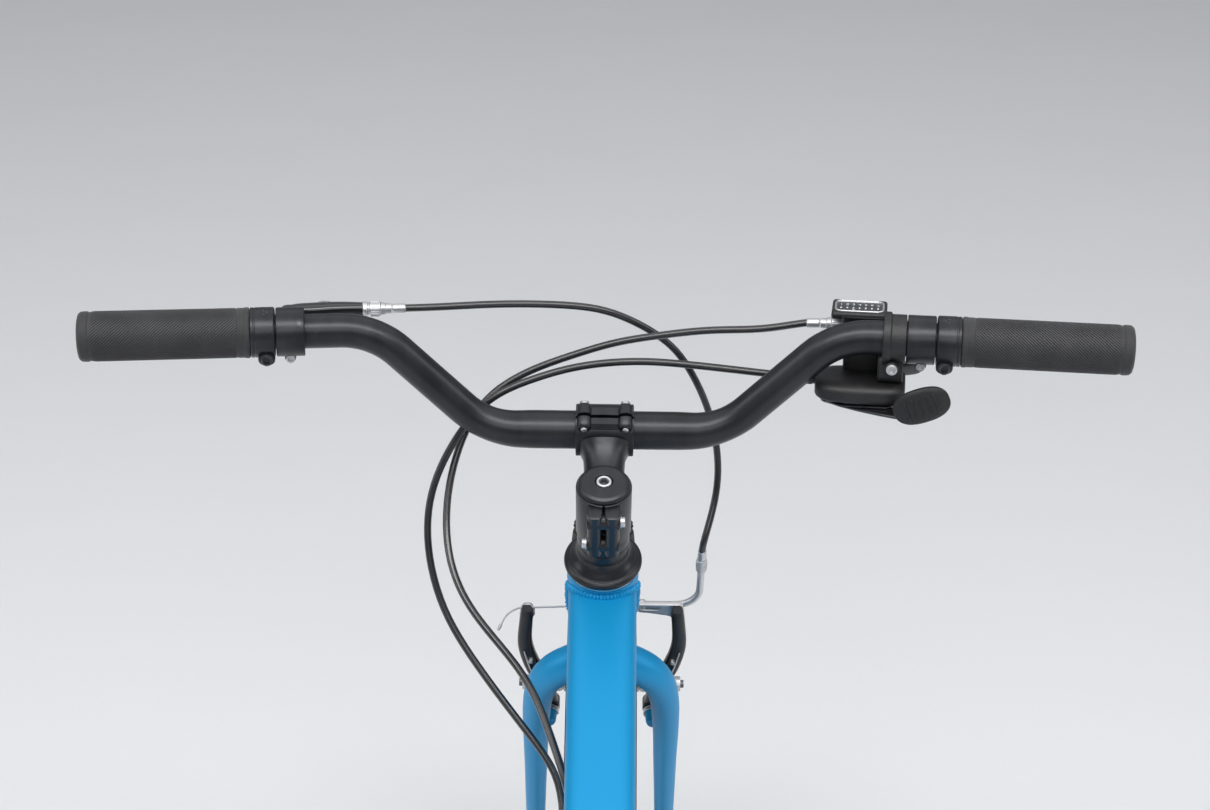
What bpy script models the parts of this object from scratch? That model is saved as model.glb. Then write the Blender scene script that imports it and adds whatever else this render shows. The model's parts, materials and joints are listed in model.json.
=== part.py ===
"""A kids mountain bike with 24 inch wheels, modelled piece by piece at its real size.

Metres, +Z up, +Y forward and +X to the rider's right. The origin is on the ground, midway between
the two axles. Each object is one physical piece; pieces that move hang from an empty on their joint.
"""

import math

import bmesh
import bpy
from mathutils import Matrix, Vector

# Running gap between pieces that touch on the real bike
GAP = 0.0003

# Wheels
WHEELBASE = 0.960
AXLE_HEIGHT = 0.302
WHEEL_SIDES = 30
TYRE_WIDTH = 0.054
TREAD_WIDTH = 0.028
RIM_WIDTH = 0.025
RIM_LIP_RADIUS = 0.260
RIM_DEPTH = 0.0175
RIM_WALL = 0.002
RIM_WELL_DEPTH = 0.007
SPOKE_COUNT = 20
SPOKE_RADIUS = 0.0009
SPOKE_LEAN = math.radians(62)
AXLE_RADIUS = 0.0048
FRONT_FLANGE_RADIUS = 0.020
REAR_FLANGE_RADIUS = 0.026
FRONT_FLANGE_X = 0.031
REAR_FLANGE_LEFT_X = -0.033
REAR_FLANGE_RIGHT_X = 0.018
HUB_RADIUS = 0.0145
FLANGE_WIDTH = 0.0046
SPOKE_OFFSET = 0.0012
NUT_RADIUS = 0.0085
NUT_LENGTH = 0.009

# Steering axis and fork
HEAD_ANGLE = math.radians(69)
FORK_RAKE = 0.042
FORK_LENGTH = 0.350
STEERER_RADIUS = 0.0143
CROWN_RACE_RADIUS = 0.0205
CROWN_RACE_HEIGHT = 0.008
BLADE_CROWN_RADIUS = 0.013
BLADE_TIP_RADIUS = 0.0065
FRONT_DROPOUT_X = 0.050
DROPOUT_THICKNESS = 0.005
DROPOUT_RADIUS = 0.016
HEAD_TUBE_RADIUS = 0.024
HEAD_TUBE_LENGTH = 0.084
LOWER_CUP_HEIGHT = 0.003
UPPER_CUP_HEIGHT = 0.0025
HEADSET_COVER_HEIGHT = 0.0155
HEADSET_COVER_RADIUS = 0.026
SPACER_RADIUS = 0.0172
SPACER_HEIGHTS = (0.008, 0.010)
STEM_CLAMP_HEIGHT = 0.040
STEM_CLAMP_RADIUS = 0.018
STEERER_RECESS = 0.003
TOP_CAP_RADIUS = 0.0168
TOP_CAP_HEIGHT = 0.0045

# Stem and handlebar
STEM_REACH = 0.055
STEM_LIFT = 0.0155
STEM_NECK_RADIUS = 0.0133
BAR_CLAMP_WIDTH = 0.038
BAR_CLAMP_WALL = 0.0045
BAR_EAR_HEIGHT = 0.0205
BAR_SPLIT = 0.0012
BAR_BOLT_X = 0.0135
BAR_BOLT_RADIUS = 0.0026
BAR_CENTRE_RADIUS = 0.0127
BAR_END_RADIUS = 0.0111
BAR_LENGTH = 0.660
BAR_RISE = 0.069
BAR_STRAIGHT_END = 0.180
BAR_BEND_OUTER_X = BAR_LENGTH / 2 - BAR_STRAIGHT_END
BAR_SLOPE_RUN = 0.072
BAR_BEND_INNER_X = BAR_BEND_OUTER_X - BAR_SLOPE_RUN
BAR_BEND_RADIUS = 0.055
BAR_BACKSWEEP = math.radians(9)
BAR_UPSWEEP = math.radians(1.2)
BAR_CENTRE_HALF = 0.045
BAR_TAPER_END = 0.085

# Grips and controls, measured inward from the bar's end
GRIP_RADIUS = 0.016
GRIP_LENGTH = 0.104
GRIP_CAP = 0.003
GRIP_CLAMP_WIDTH = 0.0155
CONTROL_CLAMP_RADIUS = 0.0158
LEVER_CLAMP_WIDTH = 0.018
LEVER_PIVOT = (0.031, 0.040, -0.005)
LEVER_REACH = 0.056
LEVER_LENGTH = 0.098
LEVER_DROP = 0.010
LEVER_BARREL_RADIUS = 0.0042
LEVER_BARREL_FORWARD = 0.036
LEVER_BARREL_UP = 0.001
LEVER_TILT = {-1: 0.0, 1: math.radians(-10)}
SHIFTER_CLAMP_WIDTH = 0.0145
SHIFTER_POD_TOP = -0.0285
SHIFTER_POD_HEIGHT = 0.0165
SHIFTER_POD_LENGTH = 0.058
THUMB_LEVER_THICKNESS = 0.003

# Frame
BB_Y = -0.076
BB_HEIGHT = 0.275
BB_SHELL_RADIUS = 0.020
BB_SHELL_WIDTH = 0.068
BB_CUP_WIDTH = 0.004
SPINDLE_RADIUS = 0.0085
SEAT_ANGLE = math.radians(73)
SEAT_TUBE_LENGTH = 0.335
SEAT_TUBE_RADIUS = 0.0159
SEAT_BORE_DEPTH = 0.185
TOP_TUBE_FRONT_AT = 0.062
TOP_TUBE_BELOW_SEAT_TOP = 0.050
TOP_TUBE_REAR_AT = SEAT_TUBE_LENGTH - TOP_TUBE_BELOW_SEAT_TOP
TOP_TUBE_FRONT_SIZE = (0.046, 0.036)
TOP_TUBE_REAR_SIZE = (0.038, 0.030)
TOP_TUBE_CORNER = 0.014
DOWN_TUBE_AT = 0.031
DOWN_TUBE_RADIUS = 0.0185
REAR_DROPOUT_X = 0.0675
CHAINSTAY_RADIUS = 0.009
SEATSTAY_RADIUS = 0.0072
STAY_TIP_RADIUS = 0.0058
STAY_TIP_FROM_AXLE = 0.040
BRIDGE_RADIUS = 0.006
BRIDGE_FROM_AXLE = 0.319
BOTTLE_BOSS_SPACING = 0.064
BOTTLE_BOSS_RADIUS = 0.0055
BOTTLE_BOSS_HEIGHT = 0.003
HANGER_DROP = 0.028
HANGER_BACK = 0.006

# Seat
SEATPOST_RADIUS = 0.0136
SEATPOST_INSERT = 0.120
SEAT_CLAMP_RADIUS = 0.0205
SEAT_CLAMP_HEIGHT = 0.016
RAIL_RADIUS = 0.0035
RAIL_SPACING = 0.044
RAIL_HEIGHT = 0.6800
SEATPOST_BELOW_RAILS = 0.0175
SEATPOST_TOP_AT = (RAIL_HEIGHT - BB_HEIGHT) / math.sin(SEAT_ANGLE) - SEATPOST_BELOW_RAILS
SADDLE_BEHIND_POST = 0.1413
SADDLE_REAR_Y = BB_Y - SEATPOST_TOP_AT * math.cos(SEAT_ANGLE) - SADDLE_BEHIND_POST
SADDLE_LENGTH = 0.252
SADDLE_HALF_WIDTH = 0.072
SADDLE_NOSE_HALF_WIDTH = 0.020
SADDLE_OVER_RAILS = 0.025
SADDLE_BASE_BOTTOM = RAIL_HEIGHT + SADDLE_OVER_RAILS
SADDLE_BASE_HEIGHT = 0.006
SADDLE_PAD_HEIGHT = 0.027

# Drivetrain
CHAIN_PITCH = 0.0127
CHAINLINE = 0.0485
CHAIN_WIDTH = 0.0066
CHAIN_INNER_WIDTH = 0.0036
CHAIN_PLATE_HEIGHT = 0.0080
CHAIN_WEB = 0.0012
CHAIN_SAG = 0.0009
CHAINRING_TEETH = 32
CHAINRING_INNER_RADIUS = 0.047
CHAINRING_THICKNESS = 0.0024
COG_TEETH = (28, 24, 22, 20, 18, 16, 14)
COG_PITCH = 0.005
COG_THICKNESS = 0.0018
ACTIVE_COG = 4
PULLEY_TEETH = 11
PULLEY_WIDTH = 0.0024
TOOTH_DEPTH = 0.0030
CRANK_LENGTH = 0.152
CRANK_INNER_X = 0.0585
CRANK_WIDTH = 0.013
PEDAL_WIDTH = 0.088
PEDAL_DEPTH = 0.060
PEDAL_HEIGHT = 0.018
PEDAL_SPINDLE_RADIUS = 0.0045
GUIDE_PULLEY_OFFSET = (0.010, -0.068)
TENSION_PULLEY_OFFSET = (0.022, -0.055)
CAGE_INNER_GAP = 0.0094
CAGE_PLATE = 0.0015

# Rim brakes, the same at the front and the rear
BOSS_SPREAD = 0.080
BOSS_TO_AXLE = 0.228
BRAKE_PLANE = 0.040
REAR_BRAKE_OFFSET = 0.016
BRAKE_ARM_THICKNESS = 0.010
BRAKE_ARM_HEIGHT = 0.109
BRAKE_TOP_BOW = 0.0145
BRAKE_STUD_RADIUS = 0.0042
BRAKE_HUB_RADIUS = 0.0085
PAD_RUN_CLEARANCE = 0.0018
PAD_THICKNESS = 0.010
PAD_HEIGHT = 0.010
PAD_LENGTH = 0.056
NOODLE_RADIUS = 0.0026
NOODLE_FORWARD = 0.010
NOODLE_TIP_X = 0.025
NOODLE_SIDE_X = 0.070
NOODLE_RISE = 0.045
NOODLE_BEND = 0.018
WIRE_RADIUS = 0.0009
HOUSING_RADIUS = 0.0025

FRONT_AXLE = Vector((0, WHEELBASE / 2, AXLE_HEIGHT))
REAR_AXLE = Vector((0, -WHEELBASE / 2, AXLE_HEIGHT))
BB = Vector((0, BB_Y, BB_HEIGHT))
RIGHT = Vector((1, 0, 0))
UP_HEAD = Vector((0, -math.cos(HEAD_ANGLE), math.sin(HEAD_ANGLE)))
FORWARD_HEAD = Vector((0, math.sin(HEAD_ANGLE), math.cos(HEAD_ANGLE)))
CROWN = FRONT_AXLE - FORK_RAKE * FORWARD_HEAD + FORK_LENGTH * UP_HEAD
UP_SEAT = Vector((0, -math.cos(SEAT_ANGLE), math.sin(SEAT_ANGLE)))
FORWARD_SEAT = Vector((0, math.sin(SEAT_ANGLE), math.cos(SEAT_ANGLE)))

# Heights above the crown race, along the steering axis
HEAD_BOTTOM = LOWER_CUP_HEIGHT
HEAD_TOP = HEAD_BOTTOM + HEAD_TUBE_LENGTH
COVER_BOTTOM = HEAD_TOP + UPPER_CUP_HEIGHT + 2 * GAP
SPACER_BOTTOM = COVER_BOTTOM + HEADSET_COVER_HEIGHT + GAP
STEM_BOTTOM = SPACER_BOTTOM + sum(SPACER_HEIGHTS) + GAP
STEM_TOP = STEM_BOTTOM + STEM_CLAMP_HEIGHT
STEERER_TOP = STEM_TOP - STEERER_RECESS

PARTS = bpy.data.collections.new("kids_mountain_bike")
CUTTERS = bpy.data.collections.new("cutters")
BENCH = bpy.data.scenes.new("bench")


def clear_scene():
    for obj in list(bpy.data.objects):
        bpy.data.objects.remove(obj)
    for collection in (PARTS, CUTTERS):
        bpy.context.scene.collection.children.link(collection)
    CUTTERS.hide_render = True


def material(name, colour, roughness, metallic=0.0):
    made = bpy.data.materials.new(name)
    made.use_nodes = True
    shader = made.node_tree.nodes["Principled BSDF"]
    shader.inputs["Base Color"].default_value = (*colour, 1)
    shader.inputs["Roughness"].default_value = roughness
    shader.inputs["Metallic"].default_value = metallic
    return made


# Shapes

def new_object(name, data, frame=None):
    made = bpy.data.objects.new(name, data)
    PARTS.objects.link(made)
    if frame is not None:
        made.matrix_world = frame
    return made


def mesh_from(shape, name):
    """A mesh of the bmesh shape, with every face turned outward."""
    bmesh.ops.remove_doubles(shape, verts=shape.verts, dist=1e-6)
    bmesh.ops.recalc_face_normals(shape, faces=shape.faces)
    bmesh.ops.dissolve_limit(shape, angle_limit=math.radians(0.1), verts=shape.verts,
                             edges=shape.edges)
    mesh = bpy.data.meshes.new(name)
    shape.to_mesh(mesh)
    shape.free()
    mesh.shade_smooth()
    mesh.set_sharp_from_angle(angle=math.radians(35))
    return mesh


def baked(source):
    """A mesh object in place of source, with its modifiers or its bevel worked in."""
    PARTS.objects.unlink(source)
    BENCH.collection.objects.link(source)
    with bpy.context.temp_override(scene=BENCH, view_layer=BENCH.view_layers[0]):
        graph = bpy.context.evaluated_depsgraph_get()
        mesh = bpy.data.meshes.new_from_object(source.evaluated_get(graph))
    shape = bmesh.new()
    shape.from_mesh(mesh)
    bpy.data.meshes.remove(mesh)
    frame = source.matrix_basis.copy()
    name = source.name
    bpy.data.objects.remove(source)
    return new_object(name, mesh_from(shape, name), frame)


def frame_of(origin, x_axis, y_axis, z_axis):
    made = Matrix((x_axis, y_axis, z_axis)).transposed().to_4x4()
    made.translation = origin
    return made


def aimed(origin, direction):
    """A frame at origin whose Z axis runs along direction."""
    z_axis = Vector(direction).normalized()
    side = RIGHT if abs(z_axis.x) < 0.9 else Vector((0, 1, 0))
    y_axis = z_axis.cross(side).normalized()
    return frame_of(Vector(origin), y_axis.cross(z_axis), y_axis, z_axis)


def rod(start, end, radius, end_radius=None, sides=8):
    start, end = Vector(start), Vector(end)
    length = (end - start).length
    shape = bmesh.new()
    bmesh.ops.create_cone(
        shape, cap_ends=True, segments=sides, radius1=radius,
        radius2=radius if end_radius is None else end_radius, depth=length)
    return new_object("rod", mesh_from(shape, "rod"), aimed((start + end) / 2, end - start))


def block(frame, size, rounding=0.0):
    shape = bmesh.new()
    bmesh.ops.create_cube(shape, size=1, matrix=Matrix.Diagonal((*size, 1)))
    if rounding:
        bmesh.ops.bevel(shape, geom=shape.edges[:], offset=rounding, segments=1, affect="EDGES")
    return new_object("block", mesh_from(shape, "block"), frame)


def turned(profile, frame, sides=14, closed=True):
    """The (radius, height) profile turned round the frame's Z axis; a closed one makes a ring."""
    shape = bmesh.new()
    corners = [shape.verts.new((radius, 0, height)) for radius, height in profile]
    for first, second in zip(corners, corners[1:] + corners[:1] if closed else corners[1:]):
        shape.edges.new((first, second))
    mesh = bpy.data.meshes.new("turned")
    shape.to_mesh(mesh)
    shape.free()
    made = new_object("turned", mesh, frame)
    screw = made.modifiers.new("turn", "SCREW")
    screw.steps = screw.render_steps = sides
    screw.use_merge_vertices = True
    screw.merge_threshold = 1e-5
    return baked(made)


def ring(bottom, top, inner, outer, sides=14):
    """A tube of square section between the two points."""
    length = (top - bottom).length
    profile = [(outer, length), (outer, 0), (inner, 0), (inner, length)]
    return turned(profile, aimed(bottom, top - bottom), sides)


def pipe(points, radius, resolution=2, factors=None):
    """A round tube along the points, with filled ends."""
    curve = bpy.data.curves.new("pipe", "CURVE")
    curve.dimensions = "3D"
    curve.bevel_depth = radius
    curve.bevel_resolution = resolution
    curve.use_fill_caps = True
    spline = curve.splines.new("POLY")
    spline.points.add(len(points) - 1)
    for index, (target, place) in enumerate(zip(spline.points, points)):
        target.co = (*place, 1)
        target.radius = factors[index] if factors else 1
    return baked(new_object("pipe", curve))


def plate(outline, thickness, frame):
    """A flat plate with the closed outline, centred on the frame's XY plane."""
    curve = bpy.data.curves.new("plate", "CURVE")
    curve.dimensions = "2D"
    curve.fill_mode = "BOTH"
    curve.extrude = thickness / 2
    spline = curve.splines.new("POLY")
    spline.points.add(len(outline) - 1)
    for target, (x, y) in zip(spline.points, outline):
        target.co = (x, y, 0, 1)
    spline.use_cyclic_u = True
    made = new_object("plate", curve, frame)
    return baked(made)


def loft(rings):
    """A closed body through rings of points, each ring with the same count."""
    shape = bmesh.new()
    rows = [[shape.verts.new(point) for point in points] for points in rings]
    for low, high in zip(rows, rows[1:]):
        for index in range(len(low)):
            after = (index + 1) % len(low)
            shape.faces.new((low[index], low[after], high[after], high[index]))
    shape.faces.new(rows[0])
    shape.faces.new(rows[-1])
    return new_object("loft", mesh_from(shape, "loft"))


def oval(centre, across, along, squareness=2.0, count=12):
    """A ring of points round the centre: an ellipse, or a rounder rectangle as squareness grows."""
    points = []
    for index in range(count):
        angle = 2 * math.pi * (index + 0.5) / count
        c, s = math.cos(angle), math.sin(angle)
        size = (abs(c) ** squareness + abs(s) ** squareness) ** (-1 / squareness)
        points.append(Vector(centre) + size * c * Vector(across) + size * s * Vector(along))
    return points


def use_as_helper(pieces, name):
    """Moves the pieces to a collection of their own, hidden from renders, and gives that back."""
    group = bpy.data.collections.new(name)
    CUTTERS.children.link(group)
    for piece in pieces:
        PARTS.objects.unlink(piece)
        group.objects.link(piece)
        piece.name = name
        piece.hide_render = True
        piece.display_type = "WIRE"
    return group


def finish(name, surface, pieces, cuts=()):
    """The pieces joined into one body, less the cuts, under the sub-part's name."""
    base = pieces[0]
    for kind, tools, operation in (("joined", pieces[1:], "UNION"), ("cuts", cuts, "DIFFERENCE")):
        if not tools:
            continue
        boolean = base.modifiers.new(kind, "BOOLEAN")
        boolean.operation = operation
        boolean.solver = "EXACT"
        boolean.operand_type = "COLLECTION"
        boolean.collection = use_as_helper(tools, f"{name} {kind}")
    base.name = name
    base.data.name = name
    base.data.materials.clear()
    base.data.materials.append(surface)
    return base


def joint_empty(name, place, axis):
    """The empty on a joint's axis, which runs along its Z."""
    made = bpy.data.objects.new(name, None)
    made.empty_display_size = 0.03
    PARTS.objects.link(made)
    made.matrix_world = aimed(place, axis)
    return made


def hang(parent, *children):
    for child in children:
        child.parent = parent
        child.matrix_parent_inverse = parent.matrix_world.inverted()


# Paths

def rounded_path(corners, radius, step=math.radians(11)):
    """The corner points with each inner corner replaced by an arc of the radius."""
    corners = [Vector(corner) for corner in corners]
    points = [corners[0]]
    for before, corner, after in zip(corners, corners[1:], corners[2:]):
        back, ahead = (before - corner).normalized(), (after - corner).normalized()
        half = back.angle(ahead) / 2
        middle = corner + (back + ahead).normalized() * radius / math.sin(half)
        reach = radius / math.tan(half)
        first, last = corner + back * reach - middle, corner + ahead * reach - middle
        count = math.ceil((math.pi - 2 * half) / step)
        first.normalize()
        last.normalize()
        points += [middle + radius * first.slerp(last, index / count) for index in range(count + 1)]
    return points + [corners[-1]]


def smooth_path(route, steps):
    """A smooth curve through the route's points, read at even steps between them."""
    route = [Vector(point) for point in route]
    padded = [2 * route[0] - route[1], *route, 2 * route[-1] - route[-2]]
    points = []
    for p0, p1, p2, p3 in zip(padded, padded[1:], padded[2:], padded[3:]):
        for index in range(steps):
            t = index / steps
            points.append(0.5 * (2 * p1 + (p2 - p0) * t + (2 * p0 - 5 * p1 + 4 * p2 - p3) * t * t
                                 + (3 * p1 - p0 - 3 * p2 + p3) * t ** 3))
    return points + [route[-1]]


def belt_path(wheels, sag):
    """The closed line round (y, z, radius, turn) wheels, whose chords fall short by at most sag.

    A wheel's turn is 1 where the line wraps it anticlockwise and -1 where it wraps clockwise.
    """
    points = []
    count = len(wheels)
    leaving = []
    for index in range(count):
        y1, z1, r1, turn1 = wheels[index]
        y2, z2, r2, turn2 = wheels[(index + 1) % count]
        distance = math.hypot(y2 - y1, z2 - z1)
        slope = math.atan2(z2 - z1, y2 - y1)
        leaving.append(slope - math.asin((turn2 * r2 - turn1 * r1) / distance))
    for index, (y, z, radius, turn) in enumerate(wheels):
        start, end = leaving[index - 1], leaving[index]
        sweep = (end - start) % (2 * math.pi) if turn > 0 else -((start - end) % (2 * math.pi))
        pieces = max(2, math.ceil(abs(sweep) / (2 * math.acos(1 - sag / radius))))
        for part in range(pieces + 1):
            heading = start + sweep * part / pieces
            points.append((y + turn * radius * math.sin(heading),
                           z - turn * radius * math.cos(heading)))
    return points


def toothed(teeth, tip, root):
    """The outline of a toothed wheel, a tip and a root to each tooth."""
    outline = []
    for tooth in range(teeth):
        for share, radius in ((0, tip), (0.5, root)):
            angle = 2 * math.pi * (tooth + share) / teeth
            outline.append((radius * math.cos(angle), radius * math.sin(angle)))
    return outline


def pitch_radius(teeth):
    return CHAIN_PITCH / (2 * math.sin(math.pi / teeth))


def tooth_tip(teeth):
    return pitch_radius(teeth) - CHAIN_SAG - CHAIN_WEB / 2 - 2 * GAP


def bore_radius(radius, sides=14, clearance=GAP):
    """The radius of a faceted bore whose flats clear a shaft of the given radius."""
    return (radius + clearance) / math.cos(math.pi / sides)


def across_x(centre, x, radius, width, sides=14):
    """A disc of the width whose axis runs along X, centred at x."""
    middle = Vector((x, centre.y, centre.z))
    half = Vector((width / 2, 0, 0))
    return rod(middle - half, middle + half, radius, sides=sides)


def side_frame(x, y, z):
    """A frame whose XY plane is the bike's side view: its X is forward and its Y is up."""
    return frame_of(Vector((x, y, z)), Vector((0, 1, 0)), Vector((0, 0, 1)), RIGHT)


def on_head(height, forward=0.0, right=0.0):
    """A point by its height above the crown race and its place in front of the steering axis."""
    return CROWN + height * UP_HEAD + forward * FORWARD_HEAD + right * RIGHT


def on_seat_tube(distance, forward=0.0, right=0.0):
    return BB + distance * UP_SEAT + forward * FORWARD_SEAT + right * RIGHT


# Wheels

def tyre(name, centre, surface):
    """The casing and tread, turned with a flat side down, so that it stands on a real flat."""
    outer = AXLE_HEIGHT / math.cos(math.pi / WHEEL_SIDES)
    half, tread = TYRE_WIDTH / 2, TREAD_WIDTH / 2
    lip = RIM_LIP_RADIUS + 2 * GAP
    seat = RIM_LIP_RADIUS - RIM_WELL_DEPTH + 2 * GAP
    bead = RIM_WIDTH / 2 - RIM_WALL - GAP
    side = [(bead, seat), (bead + 0.0008, lip), (half - 0.004, lip + 0.008),
            (half - 0.001, outer - 0.012), (tread, outer)]
    profile = [(radius, x) for x, radius in side]
    profile += [(radius, -x) for x, radius in reversed(side)]
    return finish(name, surface, [turned(profile, wheel_frame(centre), WHEEL_SIDES)])


def wheel_frame(centre):
    """A frame on the wheel's axis, turned so that a facet's middle lies at the bottom."""
    turn = math.pi / 2 + math.pi / WHEEL_SIDES
    forward, up = Vector((0, 1, 0)), Vector((0, 0, 1))
    return frame_of(centre, forward, up, RIGHT) @ Matrix.Rotation(turn, 4, "Z")


def rim(name, centre, surface):
    half = RIM_WIDTH / 2
    lip, well = RIM_LIP_RADIUS, RIM_LIP_RADIUS - RIM_WELL_DEPTH
    bottom = RIM_LIP_RADIUS - RIM_DEPTH
    side = [(half - RIM_WALL, well), (half - RIM_WALL + 0.0008, lip), (half, lip),
            (half - 0.002, bottom)]
    profile = [(radius, x) for x, radius in side]
    profile += [(radius, -x) for x, radius in reversed(side)]
    return finish(name, surface, [turned(profile, wheel_frame(centre), WHEEL_SIDES)])


def hub(name, centre, surface, left_x, right_x, flange_radius, ends):
    """The hub shell with its two flanges and the spokes that run out to the rim, crossing once."""
    per_side = SPOKE_COUNT // 2
    half = FLANGE_WIDTH / 2
    start, stop = ends
    inner = bore_radius(AXLE_RADIUS, per_side, 2 * GAP)
    shell = HUB_RADIUS
    profile = [(shell, stop), (shell, right_x + half), (flange_radius, right_x + half),
               (flange_radius, right_x - half), (shell, right_x - half), (shell, left_x + half),
               (flange_radius, left_x + half), (flange_radius, left_x - half), (shell, left_x - half),
               (shell, start), (inner, start), (inner, stop)]
    pieces = [turned(profile, aimed(centre, RIGHT), per_side)]
    step = 2 * math.pi / per_side
    flat = flange_radius * math.cos(step / 2)
    rim_inner = (RIM_LIP_RADIUS - RIM_DEPTH) * math.cos(math.pi / WHEEL_SIDES) - 2 * GAP
    for side, flange_x in ((-1, left_x), (1, right_x)):
        for index in range(per_side):
            way = 1 if index % 2 else -1
            angle = (index + 0.5) * step
            leaving = on_wheel(centre, flange_x + way * SPOKE_OFFSET, flat, angle)
            end = on_wheel(centre, side * 0.002 + way * SPOKE_OFFSET, rim_inner,
                           angle + way * SPOKE_LEAN + side * step / 4)
            root = leaving + 0.003 * (leaving - end).normalized()
            pieces.append(rod(root, end, SPOKE_RADIUS, sides=3))
    return finish(name, surface, pieces)


def on_wheel(centre, x, radius, angle):
    """A point on a wheel, by its angle round the frame that its turned pieces are made in."""
    return aimed(centre, RIGHT) @ Vector((radius * math.cos(angle), radius * math.sin(angle), x))


def axle(name, centre, surface, dropout_x):
    """The axle with its locknuts inside the dropouts and its nuts outside them."""
    inside = dropout_x - GAP
    outside = dropout_x + DROPOUT_THICKNESS + GAP
    shaft = [(centre.x - outside - NUT_LENGTH - 0.003), (centre.x + outside + NUT_LENGTH + 0.003)]
    pieces = [rod((shaft[0], centre.y, centre.z), (shaft[1], centre.y, centre.z), AXLE_RADIUS)]
    for side in (-1, 1):
        pieces.append(across_x(centre, side * (outside + NUT_LENGTH / 2), NUT_RADIUS, NUT_LENGTH,
                               sides=6))
        pieces.append(across_x(centre, side * (inside - 0.002), NUT_RADIUS, 0.004, sides=6))
    return finish(name, surface, pieces)


# Fork, headset and stem

def blade_route(side):
    """The fork blade's line: out from the steerer, over the tyre and down to the dropout."""
    tip_x = FRONT_DROPOUT_X + DROPOUT_THICKNESS / 2
    stations = ((0.006, 0.013, 0.000, 1.0), (0.022, 0.0170, 0.000, 1.0), (0.036, 0.029, 0.001, 0.95),
                (0.0445, 0.048, 0.003, 0.86), (0.0480, 0.085, 0.007, 0.77),
                (0.0495, 0.160, 0.015, 0.68), (tip_x - 0.0005, 0.270, 0.029, 0.57))
    points = [on_head(-drop, forward, side * x) for x, drop, forward, _ in stations]
    points.append(on_head(-(FORK_LENGTH - 0.018), FORK_RAKE - 0.003, side * tip_x))
    factors = [share for *_, share in stations] + [BLADE_TIP_RADIUS / BLADE_CROWN_RADIUS]
    return points, factors


def fork(surface):
    profile = [(0, STEERER_TOP), (STEERER_RADIUS, STEERER_TOP), (STEERER_RADIUS, -GAP),
               (CROWN_RACE_RADIUS, -GAP), (CROWN_RACE_RADIUS, -CROWN_RACE_HEIGHT),
               (0.0185, -CROWN_RACE_HEIGHT - 0.001), (0.0165, -0.028), (0, -0.028)]
    pieces = [turned(profile, aimed(CROWN, UP_HEAD), 14, False)]
    cuts = []
    for side in (-1, 1):
        points, factors = blade_route(side)
        pieces.append(pipe(points, BLADE_CROWN_RADIUS, 2, factors))
        dropout_x = side * (FRONT_DROPOUT_X + DROPOUT_THICKNESS / 2)
        pieces.append(across_x(FRONT_AXLE, dropout_x, DROPOUT_RADIUS, DROPOUT_THICKNESS))
        neck = aimed(FRONT_AXLE + Vector((dropout_x, 0, 0)) + 0.012 * UP_HEAD, UP_HEAD)
        pieces.append(block(neck, (DROPOUT_THICKNESS, 0.019, 0.030)))
        cuts += axle_slot(FRONT_AXLE, dropout_x, -UP_HEAD)
        pieces += brake_boss(front_brake_frame(), side)
    return finish("fork", surface, pieces, cuts)


def axle_slot(centre, x, direction):
    """The cutters for a slot that the axle slides into: its round end and its straight mouth."""
    width = bore_radius(AXLE_RADIUS)
    middle = Vector((x, centre.y, centre.z))
    mouth = aimed(middle + 0.015 * direction, direction)
    return [across_x(centre, x, width, 3 * DROPOUT_THICKNESS),
            block(mouth, (3 * DROPOUT_THICKNESS, 2 * width, 0.030))]


def headset_upper_cup(surface):
    outer = HEAD_TUBE_RADIUS - 0.0004
    return finish("headset_upper_cup", surface, [ring(
        on_head(HEAD_TOP + GAP), on_head(HEAD_TOP + GAP + UPPER_CUP_HEIGHT),
        bore_radius(STEERER_RADIUS), outer)])


def headset_cover(surface):
    """The black cone that closes the top bearing, with a low ridge round it."""
    height, radius = HEADSET_COVER_HEIGHT, HEADSET_COVER_RADIUS
    profile = [(SPACER_RADIUS, height), (SPACER_RADIUS + 0.0008, height - 0.004),
               (radius - 0.005, height - 0.0075), (radius - 0.004, height - 0.0095),
               (radius, height - 0.0105), (radius, 0.002), (radius - 0.001, 0),
               (bore_radius(STEERER_RADIUS), 0), (bore_radius(STEERER_RADIUS), height)]
    return finish("headset_cover", surface, [turned(profile, aimed(on_head(COVER_BOTTOM), UP_HEAD))])


def steerer_spacers(surface):
    """The spacer stack: two rings with a fine groove between them."""
    low, high = SPACER_HEIGHTS
    total = low + high
    bore = bore_radius(STEERER_RADIUS)
    groove = 0.0006
    profile = [(SPACER_RADIUS, total), (SPACER_RADIUS, low + groove), (SPACER_RADIUS - groove, low),
               (SPACER_RADIUS, low - groove), (SPACER_RADIUS, 0), (bore, 0), (bore, total)]
    return finish("steerer_spacers", surface,
                  [turned(profile, aimed(on_head(SPACER_BOTTOM), UP_HEAD))])


def bar_centre():
    return on_head((STEM_BOTTOM + STEM_TOP) / 2 + STEM_LIFT, STEM_REACH)


def stem_frame():
    """A frame at the bar's centre: Y runs forward along the neck and Z up across it."""
    forward = (bar_centre() - on_head((STEM_BOTTOM + STEM_TOP) / 2)).normalized()
    return frame_of(bar_centre(), RIGHT, forward, RIGHT.cross(forward))


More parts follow.
